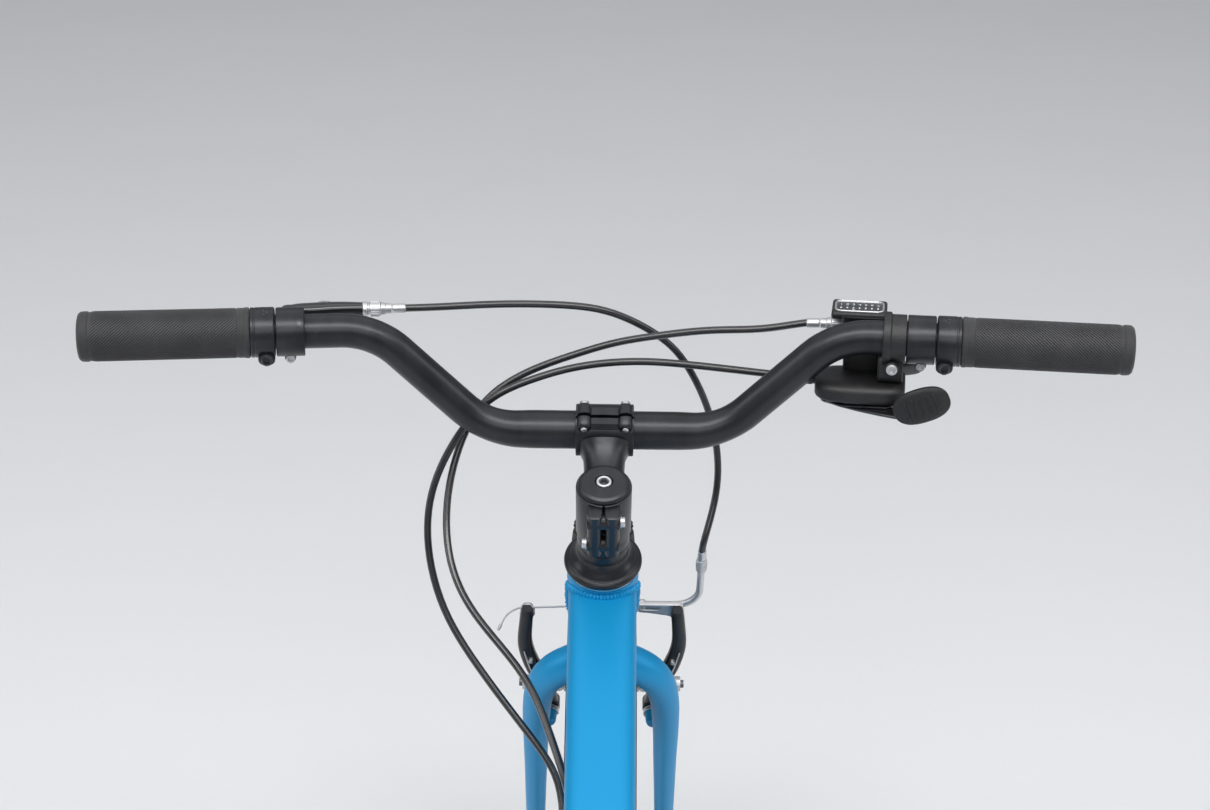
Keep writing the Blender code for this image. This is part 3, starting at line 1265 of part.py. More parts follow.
def bike_frame(surface):
    """The welded frame: tubes, stays, dropouts, bridges, brake bosses, bottle bosses and guides."""
    top_front, top_rear = on_head(TOP_TUBE_FRONT_AT), on_seat_tube(TOP_TUBE_REAR_AT)
    direction = (top_front - top_rear).normalized()
    seat_top = on_seat_tube(SEAT_TUBE_LENGTH)
    half_shell = Vector((BB_SHELL_WIDTH / 2, 0, 0))
    cup = Vector((BB_CUP_WIDTH, 0, 0))
    pieces = [
        rod(on_head(HEAD_BOTTOM), on_head(HEAD_TOP), HEAD_TUBE_RADIUS, sides=14),
        rod(on_head(0), on_head(HEAD_BOTTOM + 0.001), HEAD_TUBE_RADIUS - 0.001, sides=14),
        loft([tube_ring(top_front, direction, *TOP_TUBE_FRONT_SIZE),
              tube_ring(top_rear, direction, *TOP_TUBE_REAR_SIZE)]),
        rod(on_head(DOWN_TUBE_AT), BB, DOWN_TUBE_RADIUS, sides=14),
        rod(BB, seat_top, SEAT_TUBE_RADIUS, sides=14),
        rod(BB - half_shell, BB + half_shell, BB_SHELL_RADIUS, sides=14),
        rod(BB - half_shell - cup, BB + half_shell + cup, BB_SHELL_RADIUS - 0.001, sides=14)]
    for side in (-1, 1):
        points, factors = chainstay_route(side)
        pieces.append(pipe(points, CHAINSTAY_RADIUS, 1, factors))
        points, factors = seatstay_route(side)
        pieces.append(pipe(points, SEATSTAY_RADIUS, 1, factors))
        pieces += rear_dropout(side)
        pieces += brake_boss(rear_brake_frame(), side)
    for route, direction in ((seatstay_route(1), stay_direction()),
                             (chainstay_route(1), (BB - REAR_AXLE).normalized())):
        x = stay_x(route, BRIDGE_FROM_AXLE) * RIGHT
        middle = REAR_AXLE + BRIDGE_FROM_AXLE * direction
        pieces.append(rod(middle - x, middle + x, BRIDGE_RADIUS))
    normal = down_tube_normal()
    for y in (0.060, 0.060 + BOTTLE_BOSS_SPACING * math.cos(math.atan2(normal.y, normal.z))):
        base = down_tube_point(y)
        pieces.append(rod(base, base + (DOWN_TUBE_RADIUS + BOTTLE_BOSS_HEIGHT) * normal,
                          BOTTLE_BOSS_RADIUS))
    pieces += cable_rests()
    cuts = [rod(on_head(-0.02), on_head(HEAD_TOP + 0.02), bore_radius(STEERER_RADIUS + 0.001), sides=14),
            rod(BB - 2 * half_shell, BB + 2 * half_shell, bore_radius(SPINDLE_RADIUS), sides=14),
            rod(seat_top - SEAT_BORE_DEPTH * UP_SEAT, seat_top + 0.02 * UP_SEAT,
                bore_radius(SEATPOST_RADIUS), sides=14)]
    slot = on_seat_tube(SEAT_TUBE_LENGTH, -SEAT_TUBE_RADIUS)
    cuts.append(block(frame_of(slot, RIGHT, FORWARD_SEAT, UP_SEAT), (0.002, 0.012, 0.030)))
    for side in (-1, 1):
        cuts += axle_slot(REAR_AXLE, side * (REAR_DROPOUT_X + DROPOUT_THICKNESS / 2),
                          Vector((0, 0.35, -1)).normalized())
    hole = hanger_point()
    cuts.append(across_x(hole, REAR_DROPOUT_X, 0.0046, 0.03, 16))
    return finish("frame", surface, pieces, cuts)


def seat_clamp(surface):
    """The collar round the seat tube's top with its two ears and their bolt."""
    low = on_seat_tube(SEAT_TUBE_LENGTH - SEAT_CLAMP_HEIGHT)
    high = on_seat_tube(SEAT_TUBE_LENGTH + 0.001)
    middle = on_seat_tube(SEAT_TUBE_LENGTH - SEAT_CLAMP_HEIGHT / 2, -SEAT_CLAMP_RADIUS - 0.003)
    pieces = [rod(low, high, SEAT_CLAMP_RADIUS, sides=14),
              block(frame_of(middle, RIGHT, FORWARD_SEAT, UP_SEAT), (0.016, 0.016, 0.013), 0.001),
              rod(middle - 0.002 * FORWARD_SEAT - 0.014 * RIGHT,
                  middle - 0.002 * FORWARD_SEAT + 0.014 * RIGHT, 0.0042)]
    cuts = [rod(low - 0.01 * UP_SEAT, high + 0.01 * UP_SEAT, bore_radius(SEAT_TUBE_RADIUS), sides=14),
            block(frame_of(middle + 0.004 * FORWARD_SEAT, RIGHT, FORWARD_SEAT, UP_SEAT),
                  (0.002, 0.018, 0.030))]
    return finish("seat_clamp", surface, pieces, cuts)


# Seat

def rail_centre():
    return Vector((0, on_seat_tube(SEATPOST_TOP_AT).y, RAIL_HEIGHT))


def seatpost(surface):
    """The post and its head: a cradle under the rails and a plate over them on one bolt."""
    middle = rail_centre()
    under = RAIL_RADIUS * math.cos(math.pi / 8) + GAP
    width = RAIL_SPACING + 4 * RAIL_RADIUS
    pieces = [rod(on_seat_tube(SEAT_TUBE_LENGTH - SEATPOST_INSERT), on_seat_tube(SEATPOST_TOP_AT),
                  SEATPOST_RADIUS, sides=14)]
    for offset, height in ((-under - 0.006, 0.012), (under + 0.003, 0.006)):
        pieces.append(block(Matrix.Translation(middle + Vector((0, 0, offset))),
                            (width, 0.042, height), 0.0015))
    pieces.append(block(Matrix.Translation(middle), (RAIL_SPACING - 4 * RAIL_RADIUS, 0.030, 0.022)))
    return finish("seatpost", surface, pieces)


def saddle_rails(surface):
    """One wire bent into two rails that meet under the saddle's nose."""
    y = rail_centre().y
    low, high = RAIL_HEIGHT, SADDLE_BASE_BOTTOM - RAIL_RADIUS - 2 * GAP
    half = RAIL_SPACING / 2
    side = [(half + 0.016, SADDLE_REAR_Y + 0.040, high), (half + 0.012, SADDLE_REAR_Y + 0.055, high - 0.002),
            (half, y - 0.050, low), (half, y + 0.045, low), (half - 0.009, y + 0.085, high - 0.002),
            (half - 0.012, SADDLE_REAR_Y + SADDLE_LENGTH - 0.022, high)]
    corners = side + [(-x, place, z) for x, place, z in reversed(side)]
    return finish("saddle_rails", surface, [pipe(rounded_path(corners, 0.007, math.radians(45)), RAIL_RADIUS, 1)])


def saddle_half_width(share):
    """The saddle's half width from its rear, at 0, to its nose, at 1."""
    slope = min(1, max(0, (share - 0.16) / 0.50))
    narrowing = slope * slope * (3 - 2 * slope)
    width = SADDLE_HALF_WIDTH + (SADDLE_NOSE_HALF_WIDTH - SADDLE_HALF_WIDTH) * narrowing
    from_end = min(share / 0.14, (1 - share) / 0.09, 1)
    return width * math.sqrt(max(0.0, 1 - (1 - from_end) ** 2))


def saddle_stations():
    """Shares of the length for the sections, closer together at the two rounded ends."""
    return [0.5 - 0.5 * math.cos(math.pi * (0.06 + 0.88 * index / 11)) for index in range(12)]


def saddle_base(surface):
    rings = []
    for share in saddle_stations():
        y = SADDLE_REAR_Y + share * SADDLE_LENGTH
        half = saddle_half_width(share) - 0.004
        middle = Vector((0, y, SADDLE_BASE_BOTTOM + SADDLE_BASE_HEIGHT / 2))
        rings.append(oval(middle, half * RIGHT, Vector((0, 0, SADDLE_BASE_HEIGHT / 2)), 6, 12))
    return finish("saddle_base", surface, [loft(rings)])


def saddle_pad(surface):
    """The cushion: crowned, drawn in toward the base, higher at the tail, with a shallow channel."""
    bottom = SADDLE_BASE_BOTTOM + SADDLE_BASE_HEIGHT + GAP
    count = 20
    rings = []
    for share in saddle_stations():
        y = SADDLE_REAR_Y + share * SADDLE_LENGTH
        half = saddle_half_width(share)
        rise = SADDLE_PAD_HEIGHT * (0.80 + 0.20 * math.cos(math.pi * min(1, share / 0.55)) ** 2)
        rise *= 0.55 + 0.45 * math.sqrt(min(1, half / SADDLE_NOSE_HALF_WIDTH))
        points = []
        for index in range(count):
            angle = 2 * math.pi * (index + 0.5) / count
            across, upward = math.cos(angle), math.sin(angle)
            width = half if upward > -0.2 else half - 0.003
            x = width * math.copysign(abs(across) ** 0.75, across)
            z = bottom + rise * (0.30 + 0.70 * abs(upward) ** 0.8) if upward > 0 else bottom
            if upward <= 0 and upward > -0.2:
                z = bottom + 0.30 * rise * (1 + upward / 0.2)
            channel = 0.0035 * math.exp(-(x / 0.009) ** 2) * (1 if upward > 0 else 0)
            points.append(Vector((x, y, z - channel * min(1, half / 0.05))))
        rings.append(points)
    return finish("saddle_pad", surface, [loft(rings)])


# Drivetrain

def cog_x(index):
    return CHAINLINE + (index - ACTIVE_COG) * COG_PITCH


def toothed_disc(centre, x, teeth, thickness, bore=0.0):
    """A toothed wheel across X, and the cutter for its bore if it has one."""
    tip = tooth_tip(teeth)
    body = plate(toothed(teeth, tip, tip - TOOTH_DEPTH), thickness, side_frame(x, centre.y, centre.z))
    cuts = [across_x(centre, x, bore, 4 * thickness)] if bore else []
    return body, cuts


def cassette(surface):
    """The seven cogs on their carrier; those that the chain isn't on are plain discs."""
    start = cog_x(0) - 0.0045
    end = cog_x(len(COG_TEETH) - 1) + 0.0015
    middle = (start + end) / 2
    pieces = [across_x(REAR_AXLE, middle, 0.0195, end - start, 12)]
    for index, teeth in enumerate(COG_TEETH):
        if index == ACTIVE_COG:
            pieces.append(toothed_disc(REAR_AXLE, cog_x(index), teeth, COG_THICKNESS)[0])
        else:
            pieces.append(across_x(REAR_AXLE, cog_x(index), tooth_tip(teeth), COG_THICKNESS, 12))
    cuts = [across_x(REAR_AXLE, middle, bore_radius(AXLE_RADIUS, 14, 2 * GAP), 0.1)]
    return finish("cassette", surface, pieces, cuts)


def chainring(surface):
    body, cuts = toothed_disc(BB, CHAINLINE, CHAINRING_TEETH, CHAINRING_THICKNESS,
                              CHAINRING_INNER_RADIUS)
    return finish("chainring", surface, [body], cuts)


def chain_wheels():
    """The line that the chain runs on: cog, guide pulley, tension pulley and chainring."""
    guide, tension = guide_pulley_centre(), tension_pulley_centre()
    pulley = pitch_radius(PULLEY_TEETH)
    return [(REAR_AXLE.y, REAR_AXLE.z, pitch_radius(COG_TEETH[ACTIVE_COG]), 1),
            (guide.y, guide.z, pulley, -1), (tension.y, tension.z, pulley, 1),
            (BB.y, BB.z, pitch_radius(CHAINRING_TEETH), 1)]


def chain(surface):
    """The chain as one unbroken loop: two rows of side plates joined along the pitch line."""
    section = bpy.data.curves.new("chain section", "CURVE")
    section.dimensions = "2D"
    half, inner = CHAIN_WIDTH / 2, CHAIN_INNER_WIDTH / 2
    tall, web = CHAIN_PLATE_HEIGHT / 2, CHAIN_WEB / 2
    quarter = [(inner, web), (inner, tall), (half, tall)]
    outline = quarter + [(x, -y) for x, y in reversed(quarter)]
    outline += [(-x, -y) for x, y in quarter] + [(-x, y) for x, y in reversed(quarter)]
    spline = section.splines.new("POLY")
    spline.points.add(len(outline) - 1)
    for target, (x, y) in zip(spline.points, outline):
        target.co = (y, x, 0, 1)
    spline.use_cyclic_u = True
    guide = bpy.data.objects.new("chain section", section)
    BENCH.collection.objects.link(guide)
    curve = bpy.data.curves.new("chain", "CURVE")
    curve.dimensions = "2D"
    curve.bevel_mode = "OBJECT"
    curve.bevel_object = guide
    path = belt_path(chain_wheels(), CHAIN_SAG)
    line = curve.splines.new("POLY")
    line.points.add(len(path) - 1)
    for target, (y, z) in zip(line.points, path):
        target.co = (y, z, 0, 1)
    line.use_cyclic_u = True
    made = baked(new_object("chain", curve, side_frame(CHAINLINE, 0, 0)))
    bpy.data.objects.remove(guide)
    return finish("chain", surface, [made])


def crank_arm(side, surface):
    """A crank arm with its pedal spindle; the right one also has the spider and the axle."""
    forward = side
    x = side * (CRANK_INNER_X + CRANK_WIDTH / 2)
    eye = BB + Vector((0, forward * CRANK_LENGTH, 0))
    stations = ((-0.016, 0.014, 1.0), (0.0, 0.0165, 1.0), (0.020, 0.0145, 0.95),
                (CRANK_LENGTH / 2, 0.0115, 0.85), (CRANK_LENGTH - 0.014, 0.0125, 0.85),
                (CRANK_LENGTH, 0.0135, 0.9), (CRANK_LENGTH + 0.012, 0.010, 0.85))
    rings = [oval(BB + Vector((x, forward * along, 0)), CRANK_WIDTH / 2 * depth * RIGHT,
                  Vector((0, 0, half)), 3.4, 12) for along, half, depth in stations]
    outside = x + side * CRANK_WIDTH / 2
    pieces = [loft(rings),
              rod((x, eye.y, eye.z), (outside + side * (PEDAL_WIDTH + 0.004), eye.y, eye.z),
                  PEDAL_SPINDLE_RADIUS)]
    if side > 0:
        pieces += spider_and_axle()
        return finish("crank_right", surface, pieces)
    bore = across_x(BB, x, bore_radius(SPINDLE_RADIUS), 0.1)
    return finish("crank_left", surface, pieces, [bore])


def spider_and_axle():
    """The bottom bracket axle and the four arms that the chainring is bolted to."""
    left_end = -(CRANK_INNER_X + CRANK_WIDTH - 0.001)
    pieces = [rod((left_end, BB.y, BB.z), (CRANK_INNER_X + 0.004, BB.y, BB.z), SPINDLE_RADIUS, sides=14)]
    face = CHAINLINE + CHAINRING_THICKNESS / 2 + GAP
    depth = 0.0040
    pieces.append(across_x(BB, face + 0.0055, 0.019, 0.0110))
    for index in range(4):
        angle = math.pi / 4 + index * math.pi / 2
        direction = Vector((0, math.cos(angle), math.sin(angle)))
        middle = BB + 0.033 * direction + Vector((face + depth / 2, 0, 0))
        pieces.append(block(aimed(middle, direction), (depth, 0.013, 0.040)))
    return pieces


def pedal(side, surface):
    """A platform pedal: a cage round two windows, on the crank's spindle."""
    x = side * (CRANK_INNER_X + CRANK_WIDTH + 0.002 + PEDAL_WIDTH / 2)
    centre = Vector((x, BB.y + side * CRANK_LENGTH, BB.z))
    pieces = [block(Matrix.Translation(centre), (PEDAL_WIDTH, PEDAL_DEPTH, PEDAL_HEIGHT), 0.003)]
    window = (PEDAL_WIDTH - 0.020, PEDAL_DEPTH / 2 - 0.017, 0.05)
    cuts = [block(Matrix.Translation(centre + Vector((0, way * (PEDAL_DEPTH / 4 + 0.0005), 0))), window)
            for way in (-1, 1)]
    cuts.append(across_x(centre, x, bore_radius(PEDAL_SPINDLE_RADIUS, 12), 0.2, 12))
    return finish(f"pedal_{side_name(side)}", surface, pieces, cuts)


def guide_pulley_centre():
    y, z = GUIDE_PULLEY_OFFSET
    return REAR_AXLE + Vector((CHAINLINE, y, z))


def tension_pulley_centre():
    y, z = TENSION_PULLEY_OFFSET
    return guide_pulley_centre() + Vector((0, y, z))


def pulley(name, centre, surface):
    body, cuts = toothed_disc(centre, CHAINLINE, PULLEY_TEETH, PULLEY_WIDTH, bore_radius(0.0032))
    return finish(name, surface, [body], cuts)


def cage_pivot():
    """Where the cage hangs from the derailleur's body, beside the guide pulley."""
    return guide_pulley_centre() + Vector((0.0125, 0.002, 0.004))


def derailleur_cage(surface):
    """Two plates either side of the chain, joined by the pulley bolts and the pivot."""
    guide, tension = guide_pulley_centre(), tension_pulley_centre()
    direction = (tension - guide).normalized()
    length = (tension - guide).length
    profile = ((-0.011, 0.005), (0.004, 0.0105), (length - 0.004, 0.0085), (length + 0.009, 0.0045))
    outline = [(along, half) for along, half in profile]
    outline += [(along, -half) for along, half in reversed(profile)]
    pieces = []
    for side in (-1, 1):
        x = side * (CAGE_INNER_GAP + CAGE_PLATE) / 2
        flat = frame_of(guide + x * RIGHT, direction, RIGHT.cross(direction), RIGHT)
        pieces.append(plate(outline, CAGE_PLATE, flat))
    for centre in (guide, tension):
        pieces.append(across_x(centre, CHAINLINE, 0.0030, CAGE_INNER_GAP + 2 * CAGE_PLATE + 0.002, 6))
    pivot = cage_pivot()
    pieces.append(rod(pivot - 0.0075 * RIGHT, pivot, 0.0040))
    return finish("derailleur_cage", surface, pieces)


def derailleur_body(surface):
    """The knuckle on the hanger, the slanted body and the knuckle that carries the cage."""
    hanger = hanger_point()
    face = REAR_DROPOUT_X + DROPOUT_THICKNESS + GAP
    pivot = cage_pivot()
    cage_face = CHAINLINE + CAGE_INNER_GAP / 2 + CAGE_PLATE + GAP
    low = Vector((cage_face + 0.0072, pivot.y, pivot.z))
    high = Vector((face + 0.006, hanger.y, hanger.z))
    pieces = [rod(Vector((face, hanger.y, hanger.z)), Vector((face + 0.013, hanger.y, hanger.z)), 0.0100,
                  sides=12),
              rod(Vector((REAR_DROPOUT_X - 0.001, hanger.y, hanger.z)),
                  Vector((face + 0.002, hanger.y, hanger.z)), 0.0042),
              rod(Vector((cage_face + 0.0010, pivot.y, pivot.z)),
                  Vector((cage_face + 0.0150, pivot.y, pivot.z)), 0.0115, sides=12)]
    link = high - low
    outward = Vector((0.010, 0, 0))
    pieces.append(loft([oval(low + share * link + outward * math.sin(math.pi * share),
                             0.0055 * RIGHT, 0.0095 * RIGHT.cross(link).normalized(), 4, 8)
                        for share in (0.0, 0.3, 0.7, 1.0)]))
    back = Vector((cage_face + 0.011, pivot.y - 0.008, pivot.z - 0.001))
    pieces.append(rod(back, back + Vector((0, -0.020, -0.002)), 0.0042))
    bore = rod(pivot - 0.02 * RIGHT, pivot + 0.0006 * RIGHT, bore_radius(0.0040, 8))
    return finish("derailleur_body", surface, pieces, [bore])


def derailleur_cable_end():
    pivot = cage_pivot()
    cage_face = CHAINLINE + CAGE_INNER_GAP / 2 + CAGE_PLATE + GAP
    return Vector((cage_face + 0.011, pivot.y - 0.028 - 2 * GAP, pivot.z - 0.003))


# Cable housings, each whole along its real route

def housing(name, route, surface):
    return finish(name, surface, [pipe(smooth_path(route, 2), HOUSING_RADIUS, 1)])


def barrel_end(hand):
    tilt = LEVER_TILT[hand.side]
    return hand.at(clamp_start() + 0.075 + 2 * GAP, LEVER_BARREL_FORWARD, LEVER_BARREL_UP, tilt)


def beside_down_tube(distance, turn):
    """A housing's centre against the down tube: turn is in degrees from its left side to below it."""
    along = (on_head(DOWN_TUBE_AT) - BB).normalized()
    angle = math.radians(turn)
    reach = DOWN_TUBE_RADIUS + HOUSING_RADIUS + 6 * GAP
    return BB + distance * along - reach * (math.cos(angle) * RIGHT
                                            + math.sin(angle) * down_tube_normal())


def from_bar(offsets):
    """Points given by their offsets from the handlebar's centre, which carry a housing round the head."""
    return [bar_centre() + Vector(offset) for offset in offsets]


def beside_bottom_bracket(x, turn):
    """A housing's centre against the bottom bracket shell: turn is in degrees up from forward."""
    angle = math.radians(turn)
    reach = BB_SHELL_RADIUS + HOUSING_RADIUS + 2 * GAP
    return BB + Vector((x, reach * math.cos(angle), reach * math.sin(angle)))


def front_brake_housing(hand, surface):
    """From the left lever, across in front of the bar, and down into the front brake's noodle."""
    frame = front_brake_frame()
    end = noodle_end(frame)
    up = frame.col[2].xyz
    start = barrel_end(hand)
    loop = [(0.7305 * start.x, 0.04052, 0.07049), (0.4917 * start.x, 0.04752, 0.07049),
            (-0.019, 0.05452, 0.06749), (0.008, 0.05752, 0.06049), (0.036, 0.06052, 0.04449),
            (0.054, 0.06152, 0.0265), (0.071, 0.05952, -0.0065), (0.079, 0.05552, -0.03851),
            (0.08, 0.05052, -0.07051)]
    route = [start, start + 0.010 * hand.inward, *from_bar(loop), end + 0.018 * up,
             end + 0.009 * up, end + 0.0008 * up]
    return housing("front_brake_housing", route, surface)


def rear_brake_housing(hand, surface):
    """From the right lever, round the head tube, under the top tube and down to the rear brake."""
    frame = rear_brake_frame()
    end = noodle_end(frame)
    up = frame.col[2].xyz
    start = barrel_end(hand)
    loop = [(0.7232 * start.x, 0.03552, 0.05849), (0.4915 * start.x, 0.03852, 0.05749),
            (0.033, 0.04252, 0.05049), (0.007, 0.04352, 0.04549), (-0.018, 0.04252, 0.03749),
            (-0.044, 0.04052, 0.0285), (-0.064, 0.03852, 0.0185), (-0.082, 0.03352, 0.0055),
            (-0.097, 0.02252, -0.0175), (-0.106, 0.00152, -0.05051),
            (-0.104, -0.02348, -0.08151), (-0.091, -0.04748, -0.1035),
            (-0.07, -0.06948, -0.1195)]
    under = [(0.8273, -2.062, -0.229), (0.761, -1.474, -0.81), (0.70, -0.986, -1.374),
             (0.62, -0.698, -1.281), (0.4405, -0.674, -1.274), (0.23, -0.703, -1.287),
             (0.17, -0.915, -1.29), (0.135, -1.254, -0.844)]
    cluster = on_seat_tube(TOP_TUBE_REAR_AT)
    behind = [(-0.029, 0.04733, 0.01645), (-0.037, 0.02333, 0.01945), (-0.052, -0.00067, 0.03245)]
    route = [start, start + 0.010 * hand.inward, *from_bar(loop),
             *[by_top_tube(*place) for place in under],
             *[cluster + Vector(offset) for offset in behind],
             end + 0.022 * up, end + 0.011 * up, end + 0.001 * up]
    return housing("rear_brake_housing", route, surface)


def shift_housing(hand, surface):
    """From the shifter, round the head tube, along the down tube and stay to the derailleur."""
    pod_middle = SHIFTER_POD_TOP - SHIFTER_POD_HEIGHT / 2
    start = hand.at(shifter_start() + SHIFTER_POD_LENGTH + 0.017, 0.018, pod_middle)
    end = derailleur_cable_end()
    loop = [(0.408 * start.x, 0.02652, 0.03749), (0.016, 0.02952, 0.03749),
            (-0.018, 0.02952, 0.03349), (-0.044, 0.02652, 0.0265), (-0.066, 0.02352, 0.0185),
            (-0.084, 0.02052, 0.0065), (-0.103, 0.01352, -0.0185), (-0.117, 0.00252, -0.04851),
            (-0.119, -0.01148, -0.08251), (-0.108, -0.02748, -0.1225),
            (-0.084, -0.04348, -0.15551)]
    head_end = on_head(DOWN_TUBE_AT)
    route = [start, start + 0.012 * hand.inward, *from_bar(loop),
             head_end + Vector((-0.056, -0.05625, -0.04664)),
             head_end + Vector((-0.034, -0.07325, -0.06814))]
    route += [beside_down_tube(distance, turn) for distance, turn in (
        (0.400, 0), (0.310, 0), (0.225, 12), (0.170, 40), (0.110, 70), (0.050, 92))]
    route += [beside_bottom_bracket(x, turn) for x, turn in ((0.007, -35), (0.013, -85))]
    stay = [(0.2203, 0.0345, -0.01345), (0.45545, 0.0420, -0.0123), (0.67822, 0.0490, -0.01081),
            (0.80693, 0.0600, -0.01379)]
    loop = [(0.078, 0.044, -0.024), (0.092, 0.004, -0.028), (0.097, -0.038, -0.037),
            (0.091, -0.065, -0.054)]
    route += [BB + Vector((0.0225, -0.036, -0.015))]
    route += [BB.lerp(REAR_AXLE, share) + Vector((x, 0, up)) for share, x, up in stay]
    route += [REAR_AXLE + Vector(offset) for offset in loop]
    route += [end + Vector((0.006, -0.034, 0.002)), end + Vector((0.001, -0.014, -0.001)), end]
    return housing("shift_housing", route, surface)


def build():
    clear_scene()
    blue = material("blue paint", (0.004, 0.115, 0.38), 0.22, 0.35)
    black = material("black anodised", (0.012, 0.013, 0.016), 0.38, 0.6)
    plastic = material("black plastic", (0.015, 0.015, 0.017), 0.5)
    rubber = material("black rubber", (0.02, 0.02, 0.021), 0.75)
    silver = material("bright steel", (0.62, 0.63, 0.65), 0.22, 1.0)
    steel = material("dark steel", (0.20, 0.20, 0.21), 0.35, 1.0)
    left, right = Hand(-1), Hand(1)

    frame = bike_frame(blue)
    bike = joint_empty("bike", (0, 0, 0), (0, 0, 1))
    hang(bike, frame, headset_upper_cup(silver),
         seat_clamp(black), axle("rear_axle", REAR_AXLE, steel, REAR_DROPOUT_X), chain(steel))

    seat_axis = joint_empty("seat_height_axis", on_seat_tube(SEAT_TUBE_LENGTH), UP_SEAT)
    hang(seat_axis, seatpost(black), saddle_rails(steel), saddle_base(plastic), saddle_pad(rubber))

    steering = joint_empty("steering_axis", on_head(HEAD_BOTTOM), UP_HEAD)
    hang(steering, fork(blue), headset_cover(black), steerer_spacers(black), stem(black),
         stem_faceplate(black), top_cap(black), top_cap_bolt(silver), handlebar(black),
         axle("front_axle", FRONT_AXLE, steel, FRONT_DROPOUT_X), shifter_body(right, plastic),
         front_brake_housing(left, plastic), rear_brake_housing(right, plastic),
         shift_housing(right, plastic))
    for hand in (left, right):
        hang(steering, grip(hand, rubber), grip_clamp(hand, black), lever_bracket(hand, black))
        pivot = joint_empty(f"brake_lever_{side_name(hand.side)}_axis", lever_pivot(hand),
                            lever_axis(hand))
        hang(steering, pivot)
        hang(pivot, brake_lever(hand, black))
    for name, place, piece in (("thumb_lever_axis", thumb_pivot(right), thumb_lever(right, plastic)),
                               ("release_lever_axis", release_pivot(right),
                                release_lever(right, plastic))):
        pivot = joint_empty(name, place, right.up)
        hang(steering, pivot)
        hang(pivot, piece)

    surfaces = (black, rubber, silver)
    rim_brake("front", front_brake_frame(), surfaces, steering, FORK_RAKE - BRAKE_PLANE)
    rim_brake("rear", rear_brake_frame(), surfaces, bike, -REAR_BRAKE_OFFSET)

    front_axis = joint_empty("front_wheel_axis", FRONT_AXLE, RIGHT)
    hang(steering, front_axis)
    hang(front_axis, tyre("front_tyre", FRONT_AXLE, rubber), rim("front_rim", FRONT_AXLE, black),
         hub("front_hub", FRONT_AXLE, steel, -FRONT_FLANGE_X, FRONT_FLANGE_X, FRONT_FLANGE_RADIUS,
             (-FRONT_FLANGE_X - 0.010, FRONT_FLANGE_X + 0.010)))
    rear_axis = joint_empty("rear_wheel_axis", REAR_AXLE, RIGHT)
    hang(rear_axis, tyre("rear_tyre", REAR_AXLE, rubber), rim("rear_rim", REAR_AXLE, black),
         hub("rear_hub", REAR_AXLE, steel, REAR_FLANGE_LEFT_X, REAR_FLANGE_RIGHT_X,
             REAR_FLANGE_RADIUS, (-0.058, cog_x(0) - 0.0045 - GAP)))
    hang(joint_empty("cassette_axis", REAR_AXLE, RIGHT), cassette(steel))

    crank_axis = joint_empty("crank_axis", BB, RIGHT)
    hang(crank_axis, crank_arm(1, black), crank_arm(-1, black), chainring(steel))
    for side in (-1, 1):
        centre = BB + Vector((side * (CRANK_INNER_X + CRANK_WIDTH), side * CRANK_LENGTH, 0))
        pedal_axis = joint_empty(f"pedal_{side_name(side)}_axis", centre, RIGHT)
        hang(crank_axis, pedal_axis)
        hang(pedal_axis, pedal(side, plastic))

    body_axis = joint_empty("derailleur_axis", hanger_point(), RIGHT)
    hang(body_axis, derailleur_body(black))
    cage_axis = joint_empty("derailleur_cage_axis", cage_pivot(), RIGHT)
    hang(body_axis, cage_axis)
    hang(cage_axis, derailleur_cage(steel))
    for name, centre in (("guide_pulley", guide_pulley_centre()),
                         ("tension_pulley", tension_pulley_centre())):
        axis = joint_empty(f"{name}_axis", centre, RIGHT)
        hang(cage_axis, axis)
        hang(axis, pulley(name, centre, plastic))
    bpy.data.scenes.remove(BENCH)


build()
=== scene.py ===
"""Dresses the kids mountain bike: every visible piece, its finishes, the studio and the camera.

The pieces are made in metres in the bike's own space: +X to the rider's right, +Y forward, +Z up.
"""

import json
import math
from math import atan2, cos, degrees, hypot, pi, radians, sin, sqrt

import bmesh
import bpy
from mathutils import Matrix, Vector
from mathutils.bvhtree import BVHTree

